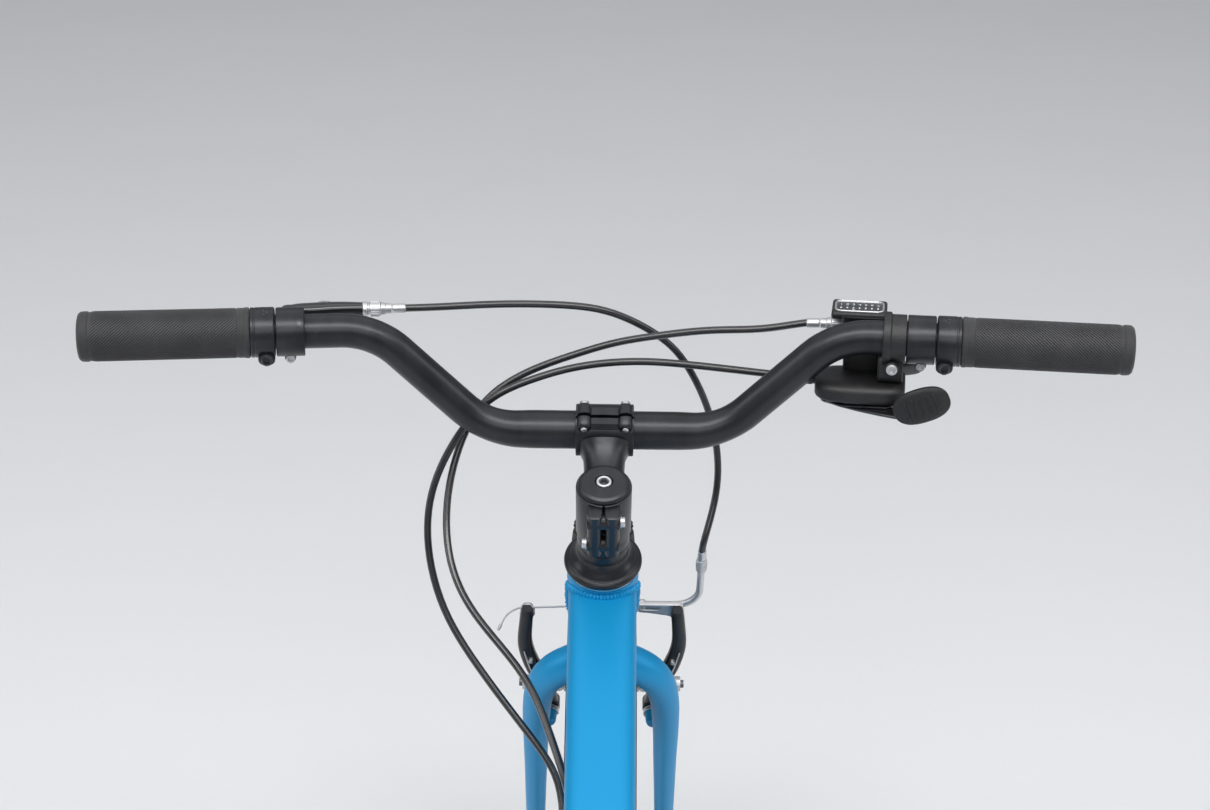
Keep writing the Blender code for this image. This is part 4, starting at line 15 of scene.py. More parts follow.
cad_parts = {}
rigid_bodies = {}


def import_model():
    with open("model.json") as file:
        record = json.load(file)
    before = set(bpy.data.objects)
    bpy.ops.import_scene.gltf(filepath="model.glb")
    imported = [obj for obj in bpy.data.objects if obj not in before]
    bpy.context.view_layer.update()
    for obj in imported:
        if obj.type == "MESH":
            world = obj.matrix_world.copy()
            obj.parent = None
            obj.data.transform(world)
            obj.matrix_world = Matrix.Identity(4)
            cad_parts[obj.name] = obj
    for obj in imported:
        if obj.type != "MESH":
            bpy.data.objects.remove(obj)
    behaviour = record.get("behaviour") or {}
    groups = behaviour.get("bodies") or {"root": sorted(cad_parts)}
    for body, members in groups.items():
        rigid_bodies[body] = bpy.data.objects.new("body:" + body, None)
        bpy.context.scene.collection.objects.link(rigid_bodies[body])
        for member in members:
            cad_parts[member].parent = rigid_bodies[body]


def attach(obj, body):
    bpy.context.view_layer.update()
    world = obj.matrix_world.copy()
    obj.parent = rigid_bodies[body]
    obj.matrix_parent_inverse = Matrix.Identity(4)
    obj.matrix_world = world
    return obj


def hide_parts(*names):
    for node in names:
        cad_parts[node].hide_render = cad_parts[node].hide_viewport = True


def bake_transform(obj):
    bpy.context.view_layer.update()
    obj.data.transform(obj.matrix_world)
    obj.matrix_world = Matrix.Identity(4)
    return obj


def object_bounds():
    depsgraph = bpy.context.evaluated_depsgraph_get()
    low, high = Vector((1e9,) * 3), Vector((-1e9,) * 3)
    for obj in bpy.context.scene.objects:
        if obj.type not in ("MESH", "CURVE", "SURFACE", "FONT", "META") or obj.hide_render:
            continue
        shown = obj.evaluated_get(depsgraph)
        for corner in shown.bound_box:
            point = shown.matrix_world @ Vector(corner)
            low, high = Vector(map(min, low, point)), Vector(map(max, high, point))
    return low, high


bl_info = {
    "name": "Kids mountain bike",
    "version": (1, 0, 0),
    "blender": (4, 5, 0),
    "location": "3D View > Sidebar > Bike",
    "description": "Builds the detailed pieces of a kids mountain bike with 24 inch wheels",
    "category": "Add Mesh",
}

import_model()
CAD_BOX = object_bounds()
CAD_NAMES = {made.name for made in bpy.data.objects}

X, Y, Z = Vector((1, 0, 0)), Vector((0, 1, 0)), Vector((0, 0, 1))
TAU = 2 * pi

# The same driving sizes as the solids

AXLE_HEIGHT, WHEELBASE = 0.302, 0.96
FRONT_AXLE = Vector((0, WHEELBASE / 2, AXLE_HEIGHT))
REAR_AXLE = Vector((0, -WHEELBASE / 2, AXLE_HEIGHT))
BB = Vector((0, -0.076, 0.275))
HEAD_ANGLE, SEAT_ANGLE = radians(69), radians(73)
UP_HEAD = Vector((0, -cos(HEAD_ANGLE), sin(HEAD_ANGLE)))
FORWARD_HEAD = Vector((0, sin(HEAD_ANGLE), cos(HEAD_ANGLE)))
UP_SEAT = Vector((0, -cos(SEAT_ANGLE), sin(SEAT_ANGLE)))
FORWARD_SEAT = Vector((0, sin(SEAT_ANGLE), cos(SEAT_ANGLE)))
FORK_RAKE, FORK_LENGTH = 0.042, 0.35
CROWN = FRONT_AXLE - FORK_RAKE * FORWARD_HEAD + FORK_LENGTH * UP_HEAD
HEAD_TOP, HEAD_RADIUS = 0.087, 0.024
COVER_BOTTOM, SPACER_BOTTOM, STEM_BOTTOM = 0.0901, 0.1059, 0.1242
STEM_TOP, STEM_RADIUS = 0.1642, 0.018
STEM_MIDDLE = (STEM_BOTTOM + STEM_TOP) / 2
BAR_RADIUS, BAR_END_RADIUS = 0.0127, 0.0111
GRIP_LENGTH, GRIP_CLAMP = 0.104, 0.0155
CLAMP_START = GRIP_LENGTH + GRIP_CLAMP + 0.0006
SHIFTER_START = CLAMP_START + 0.0186
LEVER_TILT = {-1: 0.0, 1: radians(-10)}
CHAINLINE, CHAIN_PITCH = 0.0485, 0.0127
COGS, ACTIVE_COG = (28, 24, 22, 20, 18, 16, 14), 4
GUIDE = REAR_AXLE + Vector((CHAINLINE, 0.01, -0.068))
TENSION = GUIDE + Vector((0, 0.022, -0.055))
CAGE_PIVOT = GUIDE + Vector((0.0125, 0.002, 0.004))
BOSS_HALF, BOSS_TO_AXLE, ARM_HEIGHT = 0.04, 0.228, 0.109
CRANK_X, CRANK_WIDTH, CRANK_LENGTH = 0.0585, 0.013, 0.152
DROPOUT = 0.0675
SEAT_TUBE_LENGTH, SEAT_TUBE_RADIUS, DOWN_TUBE_RADIUS = 0.335, 0.0159, 0.0185
DOWN_TUBE_HEIGHT, TOP_TUBE_HEIGHT, TOP_TUBE_REAR, STAY_TOP = 0.031, 0.062, 0.285, 0.291
RAIL_HEIGHT, SADDLE_REAR, SADDLE_LENGTH = 0.68, -0.336, 0.252
STEERER_BORE, END_BORE = 0.0147, 0.0113
SHIFTER_TOP, SHIFTER_TALL = -0.0285, 0.0165
SHIFTER_MIDDLE = SHIFTER_TOP - SHIFTER_TALL / 2
RIM_RADIUS, TYRE_RING, TYRE_TALL, TYRE_WIDE = 0.26, 0.2785, 0.0189, 0.0262
RING_TEETH, PULLEY_TEETH = 32, 11
SHOE_LEVEL = RIM_RADIUS - 0.0065 - BOSS_TO_AXLE
CAGE_FACE = CHAINLINE + 0.0047 + 0.0015 + 0.0003
GUIDE_LEVEL, GUIDE_OUT, GUIDE_FORE, GUIDE_RISE = ARM_HEIGHT - 0.002, 0.07, 0.01, 0.045


# Sizes and colours that a user may change

class BikeSettings(bpy.types.PropertyGroup):
    """The bike's main sizes and colours."""

    paint: bpy.props.FloatVectorProperty(
        name="Paint", description="Colour of the frame and fork", default=(0.0, 0.09, 0.245),
        subtype="COLOR", min=0, max=1)
    alloy: bpy.props.FloatVectorProperty(
        name="Black alloy", description="Colour of the bar, stem, levers and cranks",
        default=(0.016, 0.017, 0.02), subtype="COLOR", min=0, max=1)
    rubber: bpy.props.FloatVectorProperty(
        name="Rubber", description="Colour of the tyres and grips",
        default=(0.016, 0.016, 0.017), subtype="COLOR", min=0, max=1)
    cover: bpy.props.FloatVectorProperty(
        name="Saddle cover", description="Colour of the saddle's cover",
        default=(0.02, 0.02, 0.022), subtype="COLOR", min=0, max=1)
    floor: bpy.props.FloatVectorProperty(
        name="Floor", description="Colour of the studio floor", default=(0.72, 0.73, 0.74),
        subtype="COLOR", min=0, max=1)
    rib_height: bpy.props.FloatProperty(
        name="Grip rib", description="Height of the ribs on the grips", default=0.0006,
        min=0.0001, max=0.001, subtype="DISTANCE", unit="LENGTH")
    rib_count: bpy.props.IntProperty(
        name="Grip ribs", description="Number of ribs round a grip", default=52, min=20, max=90)
    knob_height: bpy.props.FloatProperty(
        name="Tyre knob", description="Height of the tyre's knobs", default=0.0046,
        min=0.001, max=0.006, subtype="DISTANCE", unit="LENGTH")
    knob_count: bpy.props.IntProperty(name="Knob rows",
        description="Number of knob rows round a tyre", default=72, min=40, max=90)
    spoke: bpy.props.FloatProperty(
        name="Spoke", description="Radius of a spoke", default=0.001, min=0.0007, max=0.0014,
        subtype="DISTANCE", unit="LENGTH")
    housing: bpy.props.FloatProperty(
        name="Housing", description="Radius of the cable housings", default=0.0025, min=0.002,
        max=0.003, subtype="DISTANCE", unit="LENGTH")
    weld: bpy.props.FloatProperty(
        name="Weld", description="Half width of the weld beads", default=0.003, min=0.001,
        max=0.004, subtype="DISTANCE", unit="LENGTH")


def settings():
    return bpy.context.scene.kids_bike


# Nodes

class Value:
    """A node's output. Python's operators on it add Math nodes."""

    def __init__(self, graph, socket):
        self.graph, self.socket = graph, socket

    def sum(self, operation, first, second=0.0):
        return self.graph.node("ShaderNodeMath", {"operation": operation}, {0: first, 1: second})

    def __add__(self, other):
        return self.sum("ADD", self, other)

    def __sub__(self, other):
        return self.sum("SUBTRACT", self, other)

    def __rsub__(self, other):
        return self.sum("SUBTRACT", other, self)

    def __mul__(self, other):
        return self.sum("MULTIPLY", self, other)

    def __pow__(self, other):
        return self.sum("POWER", self, other)

    __radd__, __rmul__ = __add__, __mul__

    def wave(self):
        return self.sum("SINE", self)

    def clamped(self):
        return self.graph.node("ShaderNodeClamp", {}, {0: self})

    def over(self, low, high):
        """0 below low, 1 above high and even between them."""
        return ((self - low) * (1 / (high - low))).clamped()


class Graph:
    """A node tree, to which node() adds a node with its settings and its sockets' values."""

    def __init__(self, tree):
        self.tree = tree

    def node(self, kind, options=None, sockets=None, out=0):
        made = self.tree.nodes.new(kind)
        for name, value in (options or {}).items():
            if name == "stops":
                ramp = made.color_ramp
                for place, colour in value[2:]:
                    ramp.elements.new(place)
                for element, (place, colour) in zip(ramp.elements, sorted(value)):
                    element.position, element.color = place, (*colour, 1)
            else:
                setattr(made, name, value)
        for key, value in (sockets or {}).items():
            if isinstance(value, Value):
                self.tree.links.new(value.socket, made.inputs[key])
            else:
                made.inputs[key].default_value = value
        return Value(self, made.outputs[out])

    def mix(self, factor, first, second):
        """Two colours mixed."""
        shown = [v if isinstance(v, Value) else (*v, 1) for v in (first, second)]
        return self.node("ShaderNodeMix", {"data_type": "RGBA"},
                         {0: factor, 6: shown[0], 7: shown[1]}, out=2)


class Finish(Graph):
    """A procedural material on the piece's own Object coordinates or on its UV map."""

    def __init__(self, name):
        self.material = bpy.data.materials.new(name)
        self.material.use_nodes = True
        super().__init__(self.material.node_tree)
        self.tree.nodes.clear()
        self.place = self.node("ShaderNodeTexCoord", out="Object")

    def spread(self, scale):
        """The place stretched by a number or by one for each axis."""
        scale = (scale,) * 3 if isinstance(scale, (int, float)) else scale
        return self.node("ShaderNodeMapping", {}, {"Vector": self.place, "Scale": scale})

    def noise(self, scale, detail=3.0, rough=0.55, distort=0.0):
        return self.node("ShaderNodeTexNoise", {}, {
            "Vector": self.spread(scale), "Scale": 1.0, "Detail": detail, "Roughness": rough,
            "Distortion": distort})

    def cells(self, scale, feature="F1", out="Distance"):
        return self.node("ShaderNodeTexVoronoi", {"feature": feature},
                         {"Vector": self.spread(scale), "Scale": 1.0}, out=out)

    def parts(self, vector, *axes):
        """The vector's numbers along the axes."""
        return [self.node("ShaderNodeSeparateXYZ", {}, {0: vector}, out=axis) for axis in axes]

    def map_place(self):
        """The place on the piece's own UV map, round it and along it."""
        return self.parts(self.node("ShaderNodeTexCoord", out="UV"), 0, 1)

    def scratches(self, scale=190.0, turn=0.6):
        """Sparse fine lines, 1 on a scratch."""
        turned = self.node("ShaderNodeMapping", {}, {"Vector": self.place,
                                                     "Rotation": (turn, turn * 0.7, turn * 1.9),
                                                     "Scale": (scale, scale * 0.035, scale * 0.9)})
        line = self.node("ShaderNodeTexNoise", {}, {"Vector": turned, "Scale": 1.0, "Detail": 2.0})
        return line.over(0.66, 0.74) * self.noise(22, 2).over(0.45, 0.65)

    def done(self, colour, rough, height=None, relief=0.0002, metal=0.0, coat=None, **plain):
        """The shader with what varies linked, and with its plain values set on its own sockets."""
        sockets = {"Base Color": colour if isinstance(colour, Value) else (*colour, 1),
                   "Roughness": rough, "Metallic": metal}
        if coat is not None:
            sockets["Coat Weight"] = coat
        for key, value in plain.items():
            sockets[key.replace("_", " ").title().replace("Ior", "IOR")] = value
        if height is not None:
            sockets["Normal"] = self.node("ShaderNodeBump", {},
                {"Strength": 1.0, "Distance": relief, "Height": height})
        shader = self.node("ShaderNodeBsdfPrincipled", {}, sockets)
        end = self.tree.nodes.new("ShaderNodeOutputMaterial")
        self.tree.links.new(shader.socket, end.inputs["Surface"])
        return self.material


def shade(colour, factor):
    return tuple(min(1.0, part * factor) for part in colour)


def blue_paint():
    """Metallic blue under a clear coat: fine flakes, a faint orange peel and dust low down."""
    f, blue = Finish("blue_paint"), tuple(settings().paint)
    flake = f.cells(2300, out="Color")
    sparkle = f.node("ShaderNodeSeparateColor", {}, {0: flake})
    cloud = f.noise(9, 4)
    low = 1 - f.parts(f.place, 2)[0].over(0.16, 0.52)
    dust = (f.noise(46, 6, 0.7).over(0.42, 0.74) * low * 0.42).clamped()
    tone = f.mix(cloud.over(0.3, 0.7) * 0.5 + sparkle * 0.25, shade(blue, 0.84), shade(blue, 1.16))
    colour = f.mix(dust, tone, (0.16, 0.15, 0.13))
    chips = f.scratches(240)
    colour = f.mix(chips * 0.35, colour, shade(blue, 1.9))
    peel = f.noise(420, 2) * 0.5 + sparkle * 0.1
    return f.done(colour, 0.2 + sparkle * 0.1 + dust * 0.4, peel, 0.00008, 0.74 - dust * 0.6,
                  1.0 - dust, coat_roughness=0.035, coat_ior=1.5)


def black_alloy():
    """Satin black anodising: a fine blasted grain, faint rubbed streaks and wear to bare metal."""
    f, black = Finish("black_alloy"), tuple(settings().alloy)
    grain = f.noise(3200, 2, 0.6)
    rub = f.noise((60, 14, 14), 5, 0.65)
    worn = f.scratches(170, 0.9)
    colour = f.mix(rub.over(0.35, 0.75) * 0.7, shade(black, 0.75), shade(black, 1.9))
    colour = f.mix(worn * 0.3, colour, (0.13, 0.13, 0.135))
    return f.done(colour, 0.24 + rub * 0.12 + grain * 0.05 - worn * 0.06, grain, 0.00003,
                  0.42 + worn * 0.4, specular_ior_level=0.6)


def gloss_black():
    """Polished black paint on the levers and the shifter, with fine swirls."""
    f = Finish("gloss_black")
    swirl = f.noise(85, 4, 0.6, distort=0.8)
    colour = f.mix(swirl, (0.006, 0.006, 0.007), (0.016, 0.016, 0.018))
    return f.done(colour, 0.13 + swirl * 0.12 + f.scratches(260) * 0.2, f.noise(700, 2), 0.00003,
                  0.0, 0.6, coat_roughness=0.06)


def moulded_black():
    """Moulded black nylon with a fine leather-like grain and paler scuffs."""
    f = Finish("moulded_black")
    grain = f.cells(1500) + f.noise(2600, 2) * 0.6
    scuff = f.noise(60, 6, 0.7).over(0.52, 0.8)
    colour = f.mix(scuff * 0.6, (0.011, 0.011, 0.012), (0.038, 0.038, 0.04))
    return f.done(colour, 0.44 + scuff * 0.2, grain, 0.0001)


def grip_rubber():
    """Soft black rubber with a matte bloom, polished a little where hands rub it."""
    f, rubber = Finish("grip_rubber"), tuple(settings().rubber)
    bloom = f.noise(55, 5, 0.6)
    pore = f.noise(2100, 3)
    colour = f.mix(bloom.over(0.35, 0.7), shade(rubber, 0.8), shade(rubber, 2.0))
    return f.done(colour, 0.58 + bloom * 0.22, pore, 0.00008, sheen_weight=0.15,
                  sheen_roughness=0.5)


def grip_rib_painted_highlight():
    """The grip's ribs, greyer than the valleys between them where hands have rubbed them."""
    f, rubber = Finish("grip_ribs"), tuple(settings().rubber)
    rub = f.noise(48, 5, 0.6)
    # painted highlight: the ribs are two to three times paler than the rubber, so the valleys
    # between them look shaded
    colour = f.mix(rub.over(0.3, 0.7), shade(rubber, 2.0), shade(rubber, 3.4))
    return f.done(colour, 0.46 + rub * 0.2, f.noise(2100, 3), 0.00005, sheen_weight=0.2,
                  sheen_roughness=0.4)


def tyre_tread():
    """Tread rubber: grey-black, dusty on its faces, with moulding pores."""
    f, rubber = Finish("tyre_tread"), tuple(settings().rubber)
    dust = f.noise(34, 7, 0.72).over(0.4, 0.78)
    pore = f.noise(1300, 4, 0.7)
    colour = f.mix(dust * 0.55, shade(rubber, 1.0), (0.075, 0.07, 0.062))
    return f.done(colour, 0.72 + dust * 0.2, pore + f.cells(420) * 0.4, 0.00018)


def tyre_wall():
    """The casing: crossed threads under thin rubber, with fine rings and dust."""
    f, rubber = Finish("tyre_wall"), tuple(settings().rubber)
    around, along = f.map_place()
    thread = (around * 2600 + along * 2900).wave()
    cross = (around * 2600 - along * 2900).wave()
    dust = f.noise(20, 6, 0.7).over(0.42, 0.8)
    colour = f.mix(dust * 0.5, shade(rubber, 0.9), (0.06, 0.056, 0.05))
    return f.done(colour, 0.62 + dust * 0.25, thread * 0.25 + cross * 0.25 + f.noise(900, 3) * 0.6,
                  0.0001)


def rim_finish():
    """Black anodised rim, satin, with a little grit near the nipples."""
    f = Finish("rim_black")
    grit = f.noise(120, 5, 0.65)
    colour = f.mix(grit.over(0.4, 0.8), (0.012, 0.012, 0.014), (0.035, 0.035, 0.037))
    return f.done(colour, 0.3 + grit * 0.18, f.noise(2400, 2), 0.00003, 0.5)


def brake_track():
    """The machined braking band: fine turned grooves, grey pad marks."""
    f = Finish("brake_track")
    y, z = f.parts(f.node("ShaderNodeVectorMath", {"operation": "SUBTRACT"},
                          {0: f.place, 1: (0, 0, AXLE_HEIGHT)}), 1, 2)
    y = y.sum("ABSOLUTE", y) - WHEELBASE / 2
    radius = (y * y + z * z) ** 0.5
    groove = (radius * 9000).wave()
    mark = f.noise(60, 6, 0.7).over(0.4, 0.8)
    colour = f.mix(mark, (0.5, 0.51, 0.52), (0.27, 0.27, 0.28))
    return f.done(colour, 0.3 + mark * 0.2, groove, 0.00002, 0.95)


def metal(name, light, dark, rough, grime=0.35, grain=(900, 900, 900), relief=0.00003):
    """Bare or plated metal: a grain, a light tarnish, dirt in patches and small scratches."""
    f = Finish(name)
    tarnish = f.noise(70, 6, 0.7)
    dirt = f.noise(240, 5, 0.7).over(0.5, 0.82) * grime
    scratch = f.scratches(230)
    colour = f.mix(tarnish.over(0.3, 0.75), light, dark)
    colour = f.mix(dirt, colour, (0.035, 0.03, 0.026))
    return f.done(colour, rough + tarnish * 0.12 + dirt * 0.45 + scratch * 0.12,
                  f.noise(grain, 3) + scratch * 0.6, relief, 1.0 - dirt * 0.7)


def cable_plastic():
    """The housing's black sleeve: glossy, with a faint spiral of the wire under it."""
    f = Finish("cable_plastic")
    around, along = f.map_place()
    spiral = (along * 3600 + around * TAU).wave()
    haze = f.noise(75, 4, 0.6)
    colour = f.mix(haze, (0.008, 0.008, 0.009), (0.022, 0.022, 0.024))
    return f.done(colour, 0.17 + haze * 0.14, spiral * 0.4 + f.noise(900, 2), 0.00004, 0.0, 0.5,
                  coat_roughness=0.08)


def saddle_cover():
    """Synthetic leather: pebbled cells, soft creases and a polished sitting area."""
    f, cover = Finish("saddle_cover"), tuple(settings().cover)
    pebble = f.cells(620, feature="SMOOTH_F1")
    crease = f.noise(160, 5, 0.65, distort=0.5)
    rub = f.noise(18, 3)
    # painted shade: the colour follows the pebbles' height, lighter on their tops and darker in the
    # hollows between them
    colour = f.mix(pebble.over(0.0, 0.6) * 0.6 + rub * 0.3, shade(cover, 1.7), shade(cover, 0.75))
    return f.done(colour, 0.4 + rub * 0.16 + pebble * 0.12, 1 - pebble + crease * 0.35, 0.00022,
                  sheen_weight=0.08)


def clear_lens():
    """The gear window's clear cover over its dark card: a coat keeps it glossy."""
    f = Finish("clear_lens")
    haze = f.noise(90, 3)
    colour = f.mix(haze, (0.01, 0.012, 0.016), (0.028, 0.032, 0.04))
    return f.done(colour, 0.07 + haze * 0.08, haze, 0.00001, 0.0, 1.0, coat_roughness=0.02)


def paint_marks():
    """Pale printed marks."""
    f = Finish("pale_marks")
    wear = f.noise(420, 4).over(0.35, 0.7)
    return f.done(f.mix(wear, (0.62, 0.63, 0.65), (0.45, 0.46, 0.48)), 0.45 + wear * 0.2,
                  f.noise(1500, 2), 0.00002)


FINISHES = {"blue_paint": blue_paint, "black_alloy": black_alloy, "gloss_black": gloss_black,
            "moulded_black": moulded_black, "grip_rubber": grip_rubber,
            "grip_ribs": grip_rib_painted_highlight, "tyre_tread": tyre_tread, "tyre_wall": tyre_wall,
            "rim_black": rim_finish, "brake_track": brake_track, "cable_plastic": cable_plastic,
            "saddle_cover": saddle_cover, "clear_lens": clear_lens, "pale_marks": paint_marks,
            "bright_steel": lambda: metal("bright_steel", (0.74, 0.75, 0.77), (0.52, 0.53, 0.55),
                0.12, 0.12), "dark_steel": lambda: metal("dark_steel", (0.23, 0.23, 0.24),
                (0.1, 0.1, 0.105), 0.27, 0.5), "chain_steel": lambda: metal("chain_steel",
                (0.33, 0.31, 0.28), (0.16, 0.15, 0.14), 0.26, 0.6),
            "brushed_alloy": lambda: metal("brushed_alloy", (0.6, 0.61, 0.63), (0.42, 0.43, 0.45),
                0.24, 0.2, (2600, 120, 120), 0.00005),}


def finish_of(name):
    return bpy.data.materials.get(name) or FINISHES[name]()


# Shapes

def frame_of(origin, x_axis, y_axis, z_axis):
    made = Matrix((x_axis, y_axis, z_axis)).transposed().to_4x4()
    made.translation = origin
    return made


def aimed(origin, direction):
    """A frame at origin whose Z axis runs along direction."""
    z_axis = Vector(direction).normalized()
    side = X if abs(z_axis.x) < 0.9 else Y
    y_axis = z_axis.cross(side).normalized()
    return frame_of(Vector(origin), y_axis.cross(z_axis), y_axis, z_axis)


def wheel_axis(centre):
    return frame_of(centre, Y, Z, X)


def side_frame(x, y, z):
    """A frame whose XY plane is the bike's side view and whose Z runs along the axles."""
    return wheel_axis(Vector((x, y, z)))


def softened(profile, radius, closed=False, steps=3):
    """The 2-D profile with its corners rounded."""
    points = [Vector(point) for point in profile]
    rounded = []
    for index, corner in enumerate(points):
        before, after = points[index - 1] - corner, points[(index + 1) % len(points)] - corner
        ends = not closed and index in (0, len(points) - 1)
        if ends or before.length < 1e-7 or after.length < 1e-7 or before.angle(after) > 3.0:
            rounded.append(corner)
            continue
        reach = min(radius, 0.45 * before.length, 0.45 * after.length)
        start, end = corner + reach * before.normalized(), corner + reach * after.normalized()
        for step in range(steps + 1):
            t = step / steps
            rounded.append((1 - t) ** 2 * start + 2 * t * (1 - t) * corner + t * t * end)
    return rounded


def rounded_path(corners, radius, step=0.08):
    """The corner points with each inner corner replaced by an arc of the radius."""
    corners = [Vector(corner) for corner in corners]
    points = [corners[0]]
    for before, corner, after in zip(corners, corners[1:], corners[2:]):
        back, ahead = (before - corner).normalized(), (after - corner).normalized()
        half = back.angle(ahead) / 2
        middle = corner + (back + ahead).normalized() * radius / sin(half)
        reach = radius / math.tan(half)
        first = (corner + back * reach - middle).normalized()
        last = (corner + ahead * reach - middle).normalized()
        count = math.ceil((pi - 2 * half) / step)
        points += [middle + radius * first.slerp(last, index / count) for index in range(count + 1)]
    return points + [corners[-1]]


def curved(route, steps, *follow):
    """A smooth curve through the route; lists in follow are read at the same even steps."""
    def through(values):
        padded = [2 * values[0] - values[1], *values, 2 * values[-1] - values[-2]]
        made = []
        for p0, p1, p2, p3 in zip(padded, padded[1:], padded[2:], padded[3:]):
            for index in range(steps):
                t = index / steps
                made.append(0.5 * (2 * p1 + (p2 - p0) * t + (2 * p0 - 5 * p1 + 4 * p2 - p3) * t * t
                                   + (3 * p1 - p0 - 3 * p2 + p3) * t ** 3))
        return made + [values[-1]]
    points = through([Vector(point) for point in route])
    return (points, *[through(list(values)) for values in follow]) if follow else points


def round_steps(count):
    """The cosine and sine of even steps round a circle."""
    return [(cos(TAU * k / count), sin(TAU * k / count)) for k in range(count)]


def hexagon_reach(size, angle):
    return size * cos(pi / 6) / cos(angle % (pi / 3) - pi / 6)


def oval(centre, across, along, squareness=2.0, count=28):
    """A ring of points: an ellipse, or a rounder rectangle as squareness grows."""
    points = []
    for index in range(count):
        angle = TAU * (index + 0.5) / count
        c, s = cos(angle), sin(angle)
        size = (abs(c) ** squareness + abs(s) ** squareness) ** (-1 / squareness)
        points.append(Vector(centre) + size * c * Vector(across) + size * s * Vector(along))
    return points


def mesh_of(curve):
    """The curve or text as a plain mesh."""
    holder = bpy.data.objects.new("curve", curve)
    mesh = bpy.data.meshes.new_from_object(holder)
    bpy.data.objects.remove(holder)
    return mesh


class Form:
    """One mesh piece made of closed shells, each with its own finish."""

    def __init__(self, name, *finishes):
        self.name, self.finishes = name, finishes
        self.shape = bmesh.new()
        self.uv = self.shape.loops.layers.uv.new("UVMap")

    def skin(self, rows, finish=0, caps=True, ring=False):
        """A shell through rows of points; u runs round each row and v along them, in metres."""
        made = [[self.shape.verts.new(point) for point in row] for row in rows]
        count, travelled = len(made[0]), [0.0]
        for low, high in zip(rows, rows[1:]):
            travelled.append(travelled[-1] + (Vector(high[0]) - Vector(low[0])).length)
        pairs = list(zip(range(len(made)), range(1, len(made))))
        for low, high in pairs + ([(len(made) - 1, 0)] if ring else []):
            for index in range(count):
                after = (index + 1) % count
                face = self.shape.faces.new((made[low][index], made[low][after],
                                             made[high][after], made[high][index]))
                face.material_index = finish
                for loop, u, v in zip(face.loops, (index, index + 1, index + 1, index),
                                      (low, low, high, high)):
                    loop[self.uv].uv = (u / count, travelled[v])
        if caps and not ring:
            for row in (made[0], made[-1]):
                self.shape.faces.new(row).material_index = finish
        return rows

    def turned(self, profile, place, finish=0, sides=40, soft=0.0004, closed=False):
        """The (radius, height) profile turned round the frame's Z axis."""
        profile = softened(profile, soft, closed) if soft else [Vector(p) for p in profile]
        rows = [[place @ Vector((radius * c, radius * s, height)) for c, s in round_steps(sides)]
                for radius, height in profile]
        return self.skin(rows, finish, caps=not closed, ring=closed)

    def rod(self, start, end, radius, end_radius=None, finish=0, sides=32, soft=0.0005):
        start, end = Vector(start), Vector(end)
        length = (end - start).length
        last = radius if end_radius is None else end_radius
        return self.turned([(0, 0), (radius, 0), (last, length), (0, length)],
                           aimed(start, end - start), finish, sides, soft)

    def disc(self, place, direction, radius, low, high, finish=0, sides=24, soft=0.0002):
        """A plain disc or pin between two levels."""
        self.turned([(0, low), (radius, low), (radius, high), (0, high)], aimed(place, direction),
                    finish, sides, soft)

    def band(self, bottom, top, inner, outer, finish=0, sides=48, soft=0.0004):
        """A ring of square section with softened edges."""
        length = (Vector(top) - Vector(bottom)).length
        self.turned([(outer, 0), (outer, length), (inner, length), (inner, 0)],
                    aimed(bottom, Vector(top) - Vector(bottom)), finish, sides, soft, True)

    def tube(self, points, radius, finish=0, sides=24, soft_end=True, start_side=X):
        """A round tube along the points; the radius may change along it."""
        points = [Vector(point) for point in points]
        last = len(points) - 1
        radii = list(radius) if hasattr(radius, "__iter__") else [radius] * (last + 1)
        rows, side, first = [], Vector(start_side), (points[1] - points[0]).normalized()
        if abs(first.dot(side)) > 0.95:
            side = Z if abs(first.z) < 0.9 else Y
        for index, point in enumerate(points):
            along = (points[min(last, index + 1)] - points[max(0, index - 1)]).normalized()
            side = (side - along * side.dot(along)).normalized()
            up = along.cross(side)
            size = radii[index]
            row = [c * size * side + s * size * up for c, s in round_steps(sides)]
            edge = 0.25 * radii[index]
            if index == 0 and soft_end:
                rows.append([point + 0.9 * offset for offset in row])
                point = point + 0.6 * edge * along
            if index == last and soft_end:
                point = point - 0.6 * edge * along
            rows.append([point + offset for offset in row])
            if index == last and soft_end:
                rows.append([points[-1] + 0.9 * offset for offset in row])
        return self.skin(rows, finish)

    def solid(self, build, place, finish=0):
        """Adds the bmesh that build makes, set in its place."""
        other = bmesh.new()
        build(other)
        other.transform(place)
        for face in other.faces:
            face.material_index = finish
        mesh = bpy.data.meshes.new("solid")
        other.to_mesh(mesh)
        other.free()
        self.shape.from_mesh(mesh)
        bpy.data.meshes.remove(mesh)

    def add(self, mesh, place, finish=0):
        """Adds the plain mesh, set in its place, and deletes it."""
        def build(other):
            other.from_mesh(mesh)
        self.solid(build, place, finish)
        bpy.data.meshes.remove(mesh)

    def block(self, place, size, rounding=0.001, finish=0, segments=3):
        def build(other):
            bmesh.ops.create_cube(other, size=1, matrix=Matrix.Diagonal((*size, 1)))
            bmesh.ops.bevel(other, geom=other.edges[:], offset=min(rounding, 0.45 * min(size)),
                            segments=segments, profile=0.5, affect="EDGES", clamp_overlap=True)
        self.solid(build, place, finish)

    def plate(self, outlines, thickness, place, finish=0, edge=0.0005):
        """A flat plate with softened edges; outlines inside the first one are its holes."""
        curve = bpy.data.curves.new("plate", "CURVE")
        curve.dimensions, curve.fill_mode = "2D", "BOTH"
        edge = min(edge, 0.45 * thickness)
        curve.extrude, curve.bevel_depth = thickness / 2 - edge, edge
        curve.bevel_resolution, curve.offset = 2, -edge
        for outline in outlines:
            spline = curve.splines.new("POLY")
            spline.points.add(len(outline) - 1)
            for target, (x, y) in zip(spline.points, outline):
                target.co = (x, y, 0, 1)
            spline.use_cyclic_u = True
        mesh = mesh_of(curve)

        def build(other):
            other.from_mesh(mesh)
            bmesh.ops.remove_doubles(other, verts=other.verts, dist=1e-6)
        self.solid(build, place, finish)
        bpy.data.meshes.remove(mesh)

